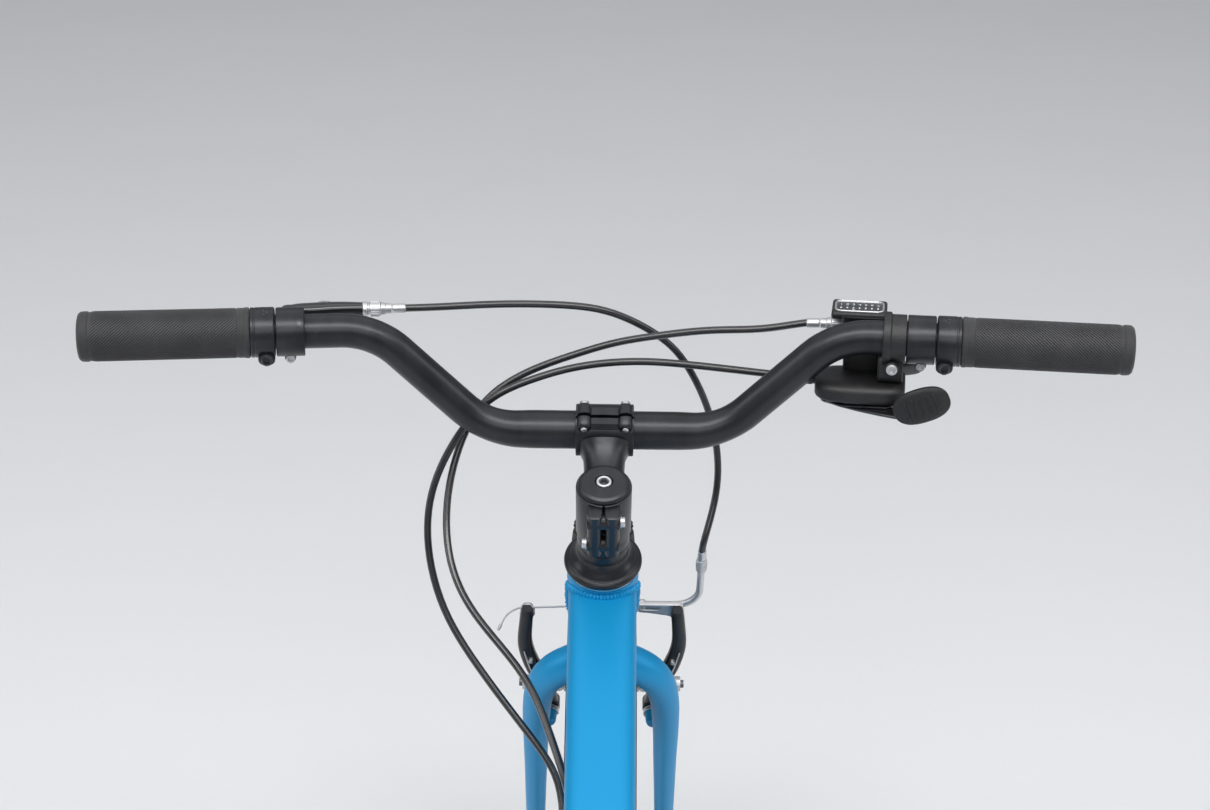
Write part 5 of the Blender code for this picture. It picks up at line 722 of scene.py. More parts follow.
    def head(self, place, direction, rows, finish):
        """A shell whose rows each have a level and a function of the angle, their reach."""
        at, sides = aimed(place, direction), 24
        angles = [TAU * index / sides for index in range(sides)]
        self.skin([[at @ Vector((reach(a) * cos(a), reach(a) * sin(a), level)) for a in angles]
                   for level, reach in rows], finish)

    def bolt(self, place, direction, radius, height, finish=0):
        """A round socket head with a hexagonal recess."""
        bevel = 0.14 * radius
        rows = [(level, lambda angle, size=size: size) for size, level in (
            (radius, 0), (radius, height - bevel), (radius - 0.4 * bevel, height - 0.4 * bevel),
            (radius - bevel, height), (0.66 * radius, height))]
        rows += [(level, lambda angle, size=size: hexagon_reach(size, angle)) for size, level in (
            (0.6 * radius, height - 0.3 * bevel), (0.58 * radius, 0.35 * height))]
        self.head(place, direction, rows, finish)

    def nut(self, place, direction, radius, height, finish=0):
        """A hexagon nut with chamfered corners."""
        def chamfered(limit):
            return lambda angle: min(hexagon_reach(radius, angle), radius * limit)
        self.head(place, direction, [
            (level * height, chamfered(limit))
            for level, limit in ((0, 0.9), (0.1, 0.98), (0.9, 0.98), (1, 0.9))], finish)

    def cut(self, *cutters):
        """Takes the cutters, made as forms, out of the shells made so far."""
        made = self.object("cut base")
        for cutter in cutters:
            tool = cutter.object("cutter")
            boolean = made.modifiers.new("cut", "BOOLEAN")
            boolean.operation, boolean.solver, boolean.object = "DIFFERENCE", "EXACT", tool
            mesh = evaluated(made)
            discard(tool)
            made.modifiers.clear()
            old, made.data = made.data, mesh
            bpy.data.meshes.remove(old)
        self.shape = bmesh.new()
        self.shape.from_mesh(made.data)
        self.uv = self.shape.loops.layers.uv.verify()
        discard(made)

    def object(self, name=None, crease=35):
        """A mesh object of the form, smooth but for edges sharper than the crease, in degrees."""
        shape = self.shape
        bmesh.ops.remove_doubles(shape, verts=shape.verts, dist=2e-6)
        bmesh.ops.dissolve_degenerate(shape, edges=shape.edges, dist=1e-6)
        bmesh.ops.recalc_face_normals(shape, faces=shape.faces)
        mesh = bpy.data.meshes.new(name or self.name)
        shape.to_mesh(mesh)
        shape.free()
        mesh.shade_smooth()
        mesh.set_sharp_from_angle(angle=radians(crease))
        for finish in self.finishes:
            mesh.materials.append(finish_of(finish))
        return linked(name or self.name, mesh)

    def ride(self, body, slot, *nodes, crease=35):
        return settle(self.object(crease=crease), body, slot, *nodes)


def linked(name, data):
    """A new object of the data, linked to the scene."""
    made = bpy.data.objects.new(name, data)
    bpy.context.scene.collection.objects.link(made)
    return made


def settle(made, body, slot, *nodes):
    """Hands the finished piece to the body that carries it."""
    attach(made, body)
    if nodes:
        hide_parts(*nodes)
    return made


def evaluated(made):
    bpy.context.view_layer.update()
    graph = bpy.context.evaluated_depsgraph_get()
    return bpy.data.meshes.new_from_object(made.evaluated_get(graph))


def discard(made):
    mesh = made.data
    bpy.data.objects.remove(made)
    bpy.data.meshes.remove(mesh)


# Repeats, made by geometry node trees

class Repeat(Graph):
    """A geometry node tree with named inputs. It ends in Realize Instances and Set Material."""

    def __init__(self, name, *inputs):
        tree = bpy.data.node_groups.new(name, "GeometryNodeTree")
        tree.interface.new_socket("Geometry", in_out="OUTPUT", socket_type="NodeSocketGeometry")
        tree.interface.new_socket("Geometry", in_out="INPUT", socket_type="NodeSocketGeometry")
        for label, kind in (*inputs, ("Finish", "Material")):
            tree.interface.new_socket(label, in_out="INPUT", socket_type="NodeSocket" + kind)
        super().__init__(tree)
        self.given = tree.nodes.new("NodeGroupInput")

    def input(self, label):
        return Value(self, self.given.outputs[label])

    def uneven(self, label):
        """A size near 1 that differs from copy to copy by up to the input of that label."""
        rand = self.node("FunctionNodeRandomValue", {"data_type": "FLOAT"}, {
            2: -1.0, 3: 1.0, "Seed": self.input("Seed")}, out=1)
        return 1 + rand * self.input(label)

    def close(self, shapes):
        real = self.node("GeometryNodeRealizeInstances", {}, {0: shapes})
        dressed = self.node("GeometryNodeSetMaterial", {}, {"Geometry": real,
                                                            "Material": self.input("Finish")})
        end = self.tree.nodes.new("NodeGroupOutput")
        self.tree.links.new(dressed.socket, end.inputs["Geometry"])
        return self.tree

    def instances(self, points, shape, turn=None, size=None, only=None):
        sockets = {"Points": points, "Instance": shape}
        for key, value in (("Rotation", turn), ("Scale", size), ("Selection", only)):
            if value is not None:
                sockets[key] = value
        return self.node("GeometryNodeInstanceOnPoints", {}, sockets)


def round_axis_tree():
    """Copies of the mesh turned round Z, each a little uneven in size."""
    tree = Repeat("copies_round_axis", ("Count", "Int"), ("Step", "Float"), ("Unevenness", "Float"),
                  ("Seed", "Int"))
    points = tree.node("GeometryNodeMeshLine", {},
                       {"Count": tree.input("Count"), "Offset": (0, 0, 0)})
    index = tree.node("GeometryNodeInputIndex")
    spin = tree.node("ShaderNodeCombineXYZ", {}, {2: index * tree.input("Step")})
    size = tree.uneven("Unevenness")
    scale = tree.node("ShaderNodeCombineXYZ", {}, {0: size, 1: size, 2: 1.0})
    return tree.close(tree.instances(points, tree.input("Geometry"), spin, scale))


def along_path_tree():
    """Copies of two shapes, by turns, along the mesh's edges and aimed along them."""
    tree = Repeat("copies_along_path", ("Spacing", "Float"), ("First", "Object"),
                  ("Second", "Object"), ("Wobble", "Float"), ("Seed", "Int"))
    path = tree.node("GeometryNodeMeshToCurve", {}, {"Mesh": tree.input("Geometry")})
    even = tree.node("GeometryNodeResampleCurve", {"mode": "LENGTH"},
                     {"Curve": path, "Length": tree.input("Spacing")})
    forward = tree.node("GeometryNodeInputTangent")
    turn = tree.node("FunctionNodeAlignRotationToVector", {"axis": "Y"}, {"Vector": forward})
    size = tree.uneven("Wobble")
    scale = tree.node("ShaderNodeCombineXYZ", {}, {0: size, 1: size, 2: size})
    odd = tree.node("GeometryNodeInputIndex").sum("FLOORED_MODULO",
                                                  tree.node("GeometryNodeInputIndex"), 2.0)
    both = tree.tree.nodes.new("GeometryNodeJoinGeometry")
    for label, chosen in (("Second", odd), ("First", 1 - odd)):
        shape = tree.node("GeometryNodeObjectInfo", {}, {"Object": tree.input(label)},
                          out="Geometry")
        made = tree.instances(even, shape, turn, scale, chosen)
        tree.tree.links.new(made.socket, both.inputs[0])
    return tree.close(Value(tree, both.outputs[0]))


TREES = {"copies_round_axis": round_axis_tree, "copies_along_path": along_path_tree}


def repeated(seed_object, tree_name, finish, **inputs):
    """A plain mesh of what the tree makes of the object, which it takes the place of."""
    tree = bpy.data.node_groups.get(tree_name) or TREES[tree_name]()
    modifier = seed_object.modifiers.new("repeat", "NODES")
    modifier.node_group = tree
    values = {label.replace("_", " "): value for label, value in inputs.items()}
    values["Finish"] = finish_of(finish)
    for socket in tree.interface.items_tree:
        if socket.in_out == "INPUT" and socket.name in values:
            modifier[socket.identifier] = values[socket.name]
    mesh = evaluated(seed_object)
    if not mesh.polygons:
        raise RuntimeError(f"{tree_name} made nothing of {seed_object.name}")
    discard(seed_object)
    return mesh


def add_repeat(form, mesh, place=None):
    """Puts the plain mesh of a repeat in the form, with the form's finish of the same name."""
    form.add(mesh, place or Matrix.Identity(4), form.finishes.index(mesh.materials[0].name))


def add_round(form, seed_object, finish, count, place, seed=1):
    """Puts even copies of the object round the place's Z axis in the form."""
    mesh = repeated(seed_object, "copies_round_axis", finish, Count=count, Step=TAU / count,
                    Unevenness=0.0, Seed=seed)
    add_repeat(form, mesh, place)


def add_ridges(form, finish, centre, size, rounding, count, place):
    """Small blocks round the place's Z axis, the first with the given centre."""
    ridge = Form("ridge", finish)
    ridge.block(Matrix.Translation(centre), size, rounding, segments=1)
    add_round(form, ridge.object(), finish, count, place)


def line_object(loops, closed=True):
    """A mesh of bare edges through each list of points."""
    shape = bmesh.new()
    for points in loops:
        made = [shape.verts.new(point) for point in points]
        for first, second in zip(made, made[1:] + made[:1] if closed else made[1:]):
            shape.edges.new((first, second))
    mesh = bpy.data.meshes.new("line")
    shape.to_mesh(mesh)
    shape.free()
    return linked("line", mesh)


def bead():
    """One ripple of a weld bead."""
    size = settings().weld
    form = Form("bead", "blue_paint")
    form.turned([(0, -0.52), (0.62, -0.42), (0.95, -0.12), (0.95, 0.12), (0.62, 0.42), (0, 0.52)],
                Matrix.Rotation(pi / 2, 4, "X") @ Matrix.Diagonal((size, size, size * 1.15, 1)),
                0, 10, 0)
    return form.object()


def weld(form, loops):
    """Rippled beads along the closed lines where the tubes meet."""
    ripple = bead()
    mesh = repeated(line_object(loops), "copies_along_path", "blue_paint",
                    Spacing=settings().weld * 0.72, First=ripple, Second=ripple, Wobble=0.1, Seed=7)
    discard(ripple)
    add_repeat(form, mesh)


def meeting_line(outside, inside, target_rows):
    """Where the lines from one row of a tube through another meet the target tube's surface."""
    points, faces = [], []
    count = len(target_rows[0])
    for row in target_rows:
        points += [Vector(point) for point in row[:count]]
    for level in range(len(target_rows) - 1):
        for index in range(count):
            after, base = (index + 1) % count, level * count
            faces.append((base + index, base + after, base + count + after, base + count + index))
    tree = BVHTree.FromPolygons(points, faces)
    found = []
    for start, end in zip(outside, inside):
        hit, _, _, _ = tree.ray_cast(start, end - start)
        if hit is not None:
            found.append(hit)
    return found


# Places on the bike

def on_head(height, forward=0.0, right=0.0):
    """A point by its height above the crown race and its place in front of the steering axis."""
    return CROWN + height * UP_HEAD + forward * FORWARD_HEAD + right * X


def on_seat_tube(distance, forward=0.0):
    return BB + distance * UP_SEAT + forward * FORWARD_SEAT


def bar_centre():
    return on_head(STEM_MIDDLE + 0.0155, 0.055)


def bar_corners():
    outer = 0.33 - 0.15
    half = [Vector((0.078, 0, 0)), Vector((0.15, 0, 0.069)),
            Vector((0.33, -outer * math.tan(radians(9)), 0.069 + outer * math.tan(radians(1.2))))]
    return [bar_centre() + point for point in [Vector((-p.x, p.y, p.z)) for p in reversed(half)]
            + half]


class Hand:
    """Places on one end of the bar: distance in from its end, then forward and up from its axis."""

    def __init__(self, side):
        corners = bar_corners()
        self.side, self.name = side, "right" if side > 0 else "left"
        self.end = corners[-1] if side > 0 else corners[0]
        inner = corners[-2] if side > 0 else corners[1]
        self.inward = (inner - self.end).normalized()
        self.forward = Z.cross(self.inward).normalized() * (-side)
        self.up = self.inward.cross(self.forward).normalized() * (-side)

    def at(self, inward, forward=0.0, up=0.0, tilt=0.0):
        c, s = cos(tilt), sin(tilt)
        return (self.end + inward * self.inward + forward * (c * self.forward + s * self.up)
                + up * (c * self.up - s * self.forward))

    def axes(self, tilt=0.0):
        root = self.at(0, 0, 0)
        return (self.inward, self.at(0, 1, 0, tilt) - root, self.at(0, 0, 1, tilt) - root)


def stem_frame():
    forward = (bar_centre() - on_head(STEM_MIDDLE)).normalized()
    return frame_of(bar_centre(), X, forward, X.cross(forward))


def stay_direction():
    top = on_seat_tube(STAY_TOP)
    return (Vector((0, top.y, top.z)) - REAR_AXLE).normalized()


def brake_frame(front):
    """Between the bosses of a brake: Y runs out along the studs and Z up the arms."""
    if front:
        drop = FORK_LENGTH - sqrt(BOSS_TO_AXLE ** 2 - (BOSS_HALF - FORK_RAKE) ** 2)
        return frame_of(on_head(-drop, 0.04), X, FORWARD_HEAD, UP_HEAD)
    up = stay_direction()
    out = Vector((0, -up.z, up.y))
    return frame_of(REAR_AXLE + BOSS_TO_AXLE * up + 0.016 * out, out.cross(up), out, up)


# Fork, headset and stem

def blade_route(side):
    stations = ((0.004, 0.01, 0.0, 1.0), (0.01, 0.013, 0.0, 1.0), (0.022, 0.02, 0.0, 1.0),
                (0.033, 0.03, 0.001, 0.97), (0.0415, 0.046, 0.003, 0.9),
                (0.0465, 0.072, 0.006, 0.82), (0.0485, 0.11, 0.01, 0.75),
                (0.0495, 0.16, 0.015, 0.68), (0.051, 0.22, 0.0225, 0.62),
                (0.052, 0.27, 0.029, 0.57), (0.0525, 0.332, 0.039, 0.5))
    points = [on_head(-drop, forward, side * x) for x, drop, forward, _ in stations]
    return curved(points, 6, [0.013 * share for *_, share in stations])


def make_fork():
    form = Form("fork_body", "blue_paint", "dark_steel", "bright_steel")
    form.turned([(0, -0.0285), (0.015, -0.0285), (0.0168, -0.026), (0.0176, -0.01),
                 (0.0176, -0.0003), (0, -0.0003)], aimed(CROWN, UP_HEAD), 0, 48)
    form.turned([(0.0143, 0.1612), (0.0143, -0.0003), (0.0205, -0.0003), (0.0205, -0.006),
                 (0.0182, -0.0085), (0.012, -0.0085), (0.012, 0.1612)], aimed(CROWN, UP_HEAD), 1,
                48, 0.0003, True)
    loops = []
    for side in (-1, 1):
        points, radii = blade_route(side)
        rows = form.tube(points, radii, 0, 40)
        target = [[on_head(level) + 0.0172
                   * (cos(TAU * i / 40) * X + sin(TAU * i / 40) * FORWARD_HEAD) for i in range(40)]
                  for level in (-0.06, 0.02)]
        loops.append(meeting_line(rows[14], rows[8], target))
        x = side * 0.0525
        centre = FRONT_AXLE + x * X
        slot = [(0.0053 * cos(a), 0.0053 * sin(a)) for a in [pi * k / 10 for k in range(11)]]
        down = atan2(-UP_HEAD.z, -UP_HEAD.y)
        outline = [(0.0155 * cos(a), 0.0155 * sin(a))
                   for a in [down + 0.42 + k * (TAU - 0.84) / 40 for k in range(41)]]
        mouth = [(0.0053, -0.0145), (0.0053, 0)]
        turned = [Vector((p[0], p[1])) for p in mouth + slot[1:-1]
                  + [(-0.0053, 0), (-0.0053, -0.0145)]]
        angle = down + pi / 2
        ring = [(p.x * cos(angle) - p.y * sin(angle), p.x * sin(angle) + p.y * cos(angle))
                for p in turned]
        form.plate([outline + list(reversed(ring))], 0.005, side_frame(x, centre.y, centre.z), 0,
                   0.0007)
        neck = [on_head(-FORK_LENGTH + level, 0.042 - back, x)
                for level, back in ((0.034, 0.0025), (0.008, 0.0))]
        form.skin([oval(neck[0], 0.0066 * X, 0.0066 * FORWARD_HEAD, 2.0, 28),
                   oval(neck[0].lerp(neck[1], 0.55), 0.004 * X, 0.0088 * FORWARD_HEAD, 2.6, 28),
                   oval(neck[1], 0.0026 * X, 0.0085 * FORWARD_HEAD, 4.0, 28)], 0)
        brake_boss(form, brake_frame(True), side, 0, 2, 0.0185)
    weld(form, [loop for loop in loops if len(loop) > 8])
    form.ride("steering", "blue_paint", "fork")


def brake_boss(form, at, side, painted, bright, depth=0.0262):
    """The boss, its stud and the bolt that holds the arm."""
    place = at @ Vector((side * BOSS_HALF, 0, 0))
    out = at.col[1].xyz
    form.turned([(0, -depth), (0.005, -depth), (0.006, 0.0022 - depth), (0.0064, 0.0062 - depth),
                 (0.0064, -0.0053), (0, -0.0053)], aimed(place, out), painted, 28)
    form.disc(place, out, 0.0042, -0.0055, 0.0055, bright, 24, 0.0004)
    form.disc(place, out, 0.0074, 0.0053, 0.0062, bright, 28)
    form.bolt(place + 0.006 * out, out, 0.0056, 0.0028, bright)


def make_headset():
    form = Form("upper_bearing_cup", "bright_steel")
    form.band(on_head(HEAD_TOP + 0.0003), on_head(HEAD_TOP + 0.0028), STEERER_BORE, 0.0237)
    form.ride("frame", "bright_steel", "headset_upper_cup")
    cover = Form("headset_cap", "black_alloy")
    h, r = 0.0155, 0.026
    cover.turned([(0.0172, h), (0.018, h - 0.003), (0.0196, h - 0.0055), (r - 0.0048, h - 0.0072),
                  (r - 0.0042, h - 0.0082), (r - 0.0034, h - 0.0094), (r - 0.0022, h - 0.0096),
                  (r - 0.0006, h - 0.0108), (r, h - 0.0122), (r, 0.0018), (r - 0.0012, 0),
                  (STEERER_BORE, 0), (STEERER_BORE, h)], aimed(on_head(COVER_BOTTOM), UP_HEAD), 0,
                 72, 0.0005, True)
    cover.ride("steering", "black_anodised", "headset_cover")
    rings = Form("spacer_stack", "black_alloy")
    for low, tall in ((0.0, 0.0078), (0.0081, 0.0099)):
        rings.band(on_head(SPACER_BOTTOM + low), on_head(SPACER_BOTTOM + low + tall), STEERER_BORE,
                   0.0172, soft=0.0005)
    rings.ride("steering", "black_anodised", "steerer_spacers")
    cap = Form("steerer_cap", "black_alloy")
    base = STEM_TOP + 0.0003
    cap.turned([(0.0058, 0.0041), (0.0062, 0.0045), (0.01, 0.0042), (0.014, 0.0034),
                (0.016, 0.0024), (0.0168, 0.001), (0.0168, 0), (0.0036, 0), (0.0036, 0.0014),
                (0.0058, 0.0014)], aimed(on_head(base), UP_HEAD), 0, 72, 0.0004, True)
    cap.ride("steering", "black_anodised", "top_cap")
    bolt = Form("cap_bolt", "bright_steel", "dark_steel")
    at = aimed(on_head(base), UP_HEAD)
    bolt.turned([(0.003, 0.0018), (0.005, 0.0018), (0.0051, 0.004), (0.0046, 0.0047),
                 (0.0036, 0.0049), (0.003, 0.0044)], at, 0, 36, 0.0003, True)
    bolt.turned([(0, -0.0026), (0.0028, -0.0026), (0.0031, 0.002), (0, 0.002)], at, 1, 24)
    socket = [[at @ Vector((r2 * cos(TAU * k / 6), r2 * sin(TAU * k / 6), lv)) for k in range(6)]
              for r2, lv in ((0.0031, 0.0046), (0.0025, 0.004), (0.0024, 0.0022))]
    bolt.skin(socket, 1, caps=False)
    bolt.ride("steering", "bright_steel", "top_cap_bolt")


def clamp_half(form, half):
    """Half of the bar clamp, its section drawn round the bar and run across it."""
    at = stem_frame()
    wall, split = 0.0172, 0.001
    section = []
    for step in range(33):
        angle = -pi / 2 + pi * step / 32
        section.append((half * max(split, wall * cos(angle)), wall * sin(angle)))
    inner = []
    for step in range(33):
        angle = pi / 2 - pi * step / 32
        inner.append((half * max(split, 0.01275 * cos(angle)), 0.01275 * sin(angle)))
    outline = softened(section + inner, 0.0004, True, 2)
    rows = []
    for x in (-0.019, -0.0186, -0.0186 + 0.0004, 0.0186 - 0.0004, 0.0186, 0.019):
        inset = 0.0005 if abs(x) > 0.0188 else 0
        rows.append([at @ Vector((x, y - half * inset * 0.6, z * (1 - inset * 12)))
                     for y, z in outline])
    form.skin(rows, 0)
    for side in (-1, 1):
        for level in (-1, 1):
            z = level * 0.0168
            centre = at @ Matrix.Translation((side * 0.0135, half * 0.0048, z))
            rows = [oval(centre @ Vector((0, half * y, 0)), (centre.col[0].xyz) * w,
                         centre.col[2].xyz * h, 2.6, 28)
                    for y, w, h in ((-0.0038, 0.0043, 0.0044), (-0.0034, 0.0047, 0.0048),
                        (0.0022, 0.0047, 0.0048), (0.0036, 0.0042, 0.0042),
                        (0.0042, 0.0036, 0.0036))]
            form.skin(rows, 0)
    pad = at @ Matrix.Translation((0, half * 0.0042, 0.0))
    for level in (-1, 1):
        rows = [oval(pad @ Vector((0, half * y, level * z)), pad.col[0].xyz * w, pad.col[2].xyz * h,
                     4.0, 28)
                for y, z, w, h in ((-0.0032, 0.015, 0.012, 0.0028),
                    (-0.003, 0.0152, 0.0125, 0.0032), (0.0015, 0.0152, 0.0125, 0.0032),
                    (0.004, 0.013, 0.0105, 0.0028))]
        form.skin(rows, 0)


def make_stem():
    form = Form("stem_body", "black_alloy", "bright_steel")
    low, middle = on_head(STEM_BOTTOM), on_head(STEM_MIDDLE)
    form.turned([(STEERER_BORE, 0), (0.018, 0), (0.018, 0.04), (STEERER_BORE, 0.04)],
                aimed(low, UP_HEAD), 0, 72, 0.0007, True)
    slit = Form("slit")
    slit.block(frame_of(on_head(STEM_MIDDLE, -0.024), X, FORWARD_HEAD, UP_HEAD),
               (0.0015, 0.026, 0.06), 0.00001)
    form.cut(slit)
    reach = stem_frame().col[1].xyz
    up = X.cross(reach)
    end = bar_centre() - 0.014 * reach
    rows = []
    for share, r, sq in ((0.0, 0.0148, 2.0), (0.22, 0.0152, 2.0), (0.34, 0.0142, 2.05),
            (0.48, 0.0134, 2.1), (0.62, 0.0133, 2.1), (0.8, 0.0138, 2.2), (0.92, 0.015, 2.4),
            (1.0, 0.016, 2.6)):
        rows.append(oval(middle.lerp(end, share), r * X * (1 + 0.1 * max(0, share - 0.8) * 5),
                         r * up, sq, 48))
    form.skin(rows, 0)
    clamp_half(form, -1)
    lug = frame_of(on_head(STEM_MIDDLE, -0.0195), X, FORWARD_HEAD, UP_HEAD)
    for side in (-1, 1):
        rows = []
        for level in (-0.0185, -0.018, -0.012, 0.012, 0.018, 0.0185):
            grow = 1 - 0.1 * (abs(level) > 0.0182)
            rows.append(oval(lug @ Vector((side * 0.0056, 0, level)), 0.0048 * grow * X,
                             0.0075 * grow * FORWARD_HEAD, 3.4, 28))
        form.skin(rows, 0)
    for side, share in ((1, 0.76), (-1, 0.24)):
        at = on_head(STEM_BOTTOM + share * 0.04, -0.0218)
        form.rod(at - side * 0.0106 * X, at + side * 0.0108 * X, 0.0052, finish=0, soft=0.001)
        form.disc(at + side * 0.0106 * X, side * X, 0.004, 0, 0.0008, 1, 28)
        form.bolt(at + side * 0.0112 * X, side * X, 0.0034, 0.0026, 1)
    form.ride("steering", "black_anodised", "stem")
    face = Form("stem_face", "black_alloy", "bright_steel")
    clamp_half(face, 1)
    at = stem_frame()
    for side in (-1, 1):
        for level in (-1, 1):
            place = at @ Vector((side * 0.0135, 0.0078, level * 0.0168))
            face.bolt(place, at.col[1].xyz, 0.0032, 0.0036, 1)
            face.turned([(0, 0), (0.0022, 0), (0.0022, 0.0035), (0.0016, 0.0042), (0, 0.0042)],
                        aimed(at @ Vector((side * 0.0135, -0.006, level * 0.0168)), -at.col[1].xyz),
                        1, 20, 0.0002)
    face.ride("steering", "black_anodised", "stem_faceplate")


# Handlebar and what is clamped to it

def make_handlebar():
    points = rounded_path(bar_corners(), 0.055, 0.05)
    dense = []
    for before, after in zip(points, points[1:]):
        pieces = max(1, round((after - before).length / 0.006))
        dense += [before.lerp(after, k / pieces) for k in range(pieces)]
    dense.append(points[-1])
    radii = []
    for point in dense:
        share = min(1, max(0, (abs(point.x) - 0.045) / 0.04))
        radii.append(BAR_RADIUS + (share * share * (3 - 2 * share)) * (BAR_END_RADIUS - BAR_RADIUS))
    form = Form("bar", "black_alloy")
    form.tube(dense, radii, 0, 56, start_side=Z)
    form.ride("steering", "black_anodised", "handlebar")


def grip_rib():
    """One rib of the grip, wound part of the way round as it runs along."""
    tall, reach = settings().rib_height, 0.0924
    rows = []
    for step in range(61):
        share = step / 60
        along = 0.0045 + share * reach
        angle = 5.3 * share
        fade = min(1, share / 0.03, (1 - share) / 0.03)
        row = []
        for offset, height in ((-0.00066, -0.0002), (-0.00034, tall * fade), (0.00034, tall * fade),
                (0.00066, -0.0002)):
            r, a = 0.0154 + height, angle + offset / 0.0154
            row.append(Vector((r * cos(a), r * sin(a), along)))
        rows.append(row)
    # the rib's finish holds the painted highlight on the rib tops
    form = Form("rib", "grip_ribs")
    form.skin(rows)
    return form.object(crease=50)


def make_grips():
    for hand in (Hand(-1), Hand(1)):
        form = Form(f"grip_sleeve_{hand.name}", "grip_rubber", "grip_ribs")
        at = aimed(hand.at(-0.003), hand.inward)
        form.turned([(0, 0), (0.012, 0), (0.0146, 0.0007), (0.0158, 0.0022), (0.016, 0.0042),
                     (0.016, 0.0066), (0.0154, 0.0072), (0.0154, 0.0985), (0.016, 0.0991),
                     (0.016, 0.1034), (0.0163, 0.1036), (0.0163, 0.106), (0.0156, 0.1066),
                     (END_BORE, 0.1066)], at, 0, 72, 0.0004)
        way = Matrix.Diagonal((hand.side, 1, 1, 1))
        add_round(form, grip_rib(), "grip_ribs", settings().rib_count,
                  at @ Matrix.Translation((0, 0, 0.003)) @ way, 3)
        form.ride("steering", "black_rubber", f"grip_{hand.name}")
        ring = Form(f"lock_ring_{hand.name}", "black_alloy", "bright_steel", "gloss_black")
        start = GRIP_LENGTH
        ring.turned([(END_BORE, 0), (0.016, 0), (0.0162, 0.0018), (0.0159, 0.0022),
                     (0.0159, 0.0028), (0.0162, 0.0032), (0.0162, 0.0146), (0.0154, 0.0154),
                     (END_BORE, 0.0154)], aimed(hand.at(start), hand.inward), 0, 72, 0.0004, True)
        middle = start + 0.0098
        ring.skin([oval(hand.at(middle, f, u), r * hand.inward,
                        r * 0.85 * (hand.up - hand.forward * 0.2).normalized(), 2.2, 28)
                   for f, u, r in ((0.004, -0.0132, 0.005), (-0.006, -0.0138, 0.0054),
                       (-0.0128, -0.0138, 0.0054), (-0.014, -0.0138, 0.0048))], 0)
        ring.bolt(hand.at(middle, -0.0128, -0.0138), -hand.forward, 0.004, 0.002, 2)
        for row, turn in ((0.0085, 1.75), (0.0107, 1.62), (0.0107, 1.88), (0.0085, 1.5),
                          (0.0085, 2.0)):
            c, s = cos(turn), sin(turn)
            out = c * hand.forward + s * hand.up
            dot = hand.at(start + row, c * 0.0161, s * 0.0161)
            ring.disc(dot, out, 0.0007, -0.0004, 0.00018, 2, 12, 0)
        ring.ride("steering", "black_anodised", f"grip_clamp_{hand.name}")


def make_levers():
    for hand in (Hand(-1), Hand(1)):
        tilt = LEVER_TILT[hand.side]

        def at(inward, forward, up):
            return hand.at(CLAMP_START + inward, forward, up, tilt)
        make_lever_bracket(hand, at, *hand.axes(tilt))
        make_lever_blade(hand, at, *hand.axes(tilt)[1:])


def make_lever_bracket(hand, at, across, fore, rise):
    """The clamp, its arm, the lever's pivot and the barrel for the cable."""
    form = Form(f"lever_mount_{hand.name}", "black_alloy", "bright_steel", "gloss_black")
    form.turned([(END_BORE, 0), (0.0158, 0), (0.0158, 0.018), (END_BORE, 0.018)],
                aimed(hand.at(CLAMP_START), hand.inward), 0, 72, 0.0008, True)
    form.skin([oval(at(0.009, f, u), w * across, h * rise, 3.2)
               for f, u, w, h in ((0.008, 0, 0.008, 0.0085), (0.016, 0.0003, 0.0074, 0.007),
                   (0.024, 0.0008, 0.0068, 0.0056), (0.034, 0.001, 0.0066, 0.005))], 2)
    stations = curved([at(x, f, u)
                       for x, f, u in ((0.002, 0.032, 0.0005), (0.012, 0.0345, 0.0006),
                           (0.024, 0.0366, 0.0006), (0.04, 0.037, 0.001), (0.0565, 0.036, 0.001))],
                      5, [0.004, 0.0056, 0.006, 0.0055, 0.0046],
                      [0.0036, 0.0048, 0.0046, 0.0044, 0.0042])
    rows = [oval(p, d * fore, h * rise, 3.0) for p, d, h in zip(*stations)]
    form.skin(rows, 2)
    for up in (0.0028, -0.004):
        form.skin([oval(at(x, f, up), w * across, 0.0013 * rise, 4.0)
                   for x, f, w in ((0.031, 0.0335, 0.006), (0.031, 0.037, 0.0066),
                       (0.031, 0.0415, 0.0058), (0.031, 0.045, 0.0035))], 2)
    form.rod(at(0.031, 0.04, -0.0168), at(0.031, 0.04, 0.003), 0.0021, finish=1, sides=20)
    form.bolt(at(0.031, 0.04, 0.0028), rise, 0.0036, 0.0022, 1)
    form.disc(at(0.031, 0.04, -0.016), -rise, 0.0034, 0, 0.0008, 1, 20)
    barrel = aimed(at(0.056, 0.036, 0.001), across)
    form.turned([(0, 0), (0.0049, 0), (0.0049, 0.003), (0.004, 0.0034), (0.004, 0.0044),
                 (0.0049, 0.0048), (0.005, 0.0115), (0.0042, 0.012), (0.0038, 0.015),
                 (0.0034, 0.0154), (0.0033, 0.019), (0, 0.019)], barrel, 1, 36, 0.0002)
    add_ridges(form, "bright_steel", (0.00495, 0, 0.0082), (0.0006, 0.0004, 0.0056), 0.0001, 22,
               barrel)
    place = hand.at(CLAMP_START + 0.0085, -0.0022, -0.0163)
    form.rod(hand.at(CLAMP_START + 0.0085, -0.004, -0.0163),
             hand.at(CLAMP_START + 0.0085, 0.01, -0.0163), 0.0036, finish=0, sides=24)
    form.bolt(place - 0.0022 * hand.forward, -hand.forward, 0.003, 0.0024, 1)
    form.ride("steering", "black_anodised", f"lever_bracket_{hand.name}")


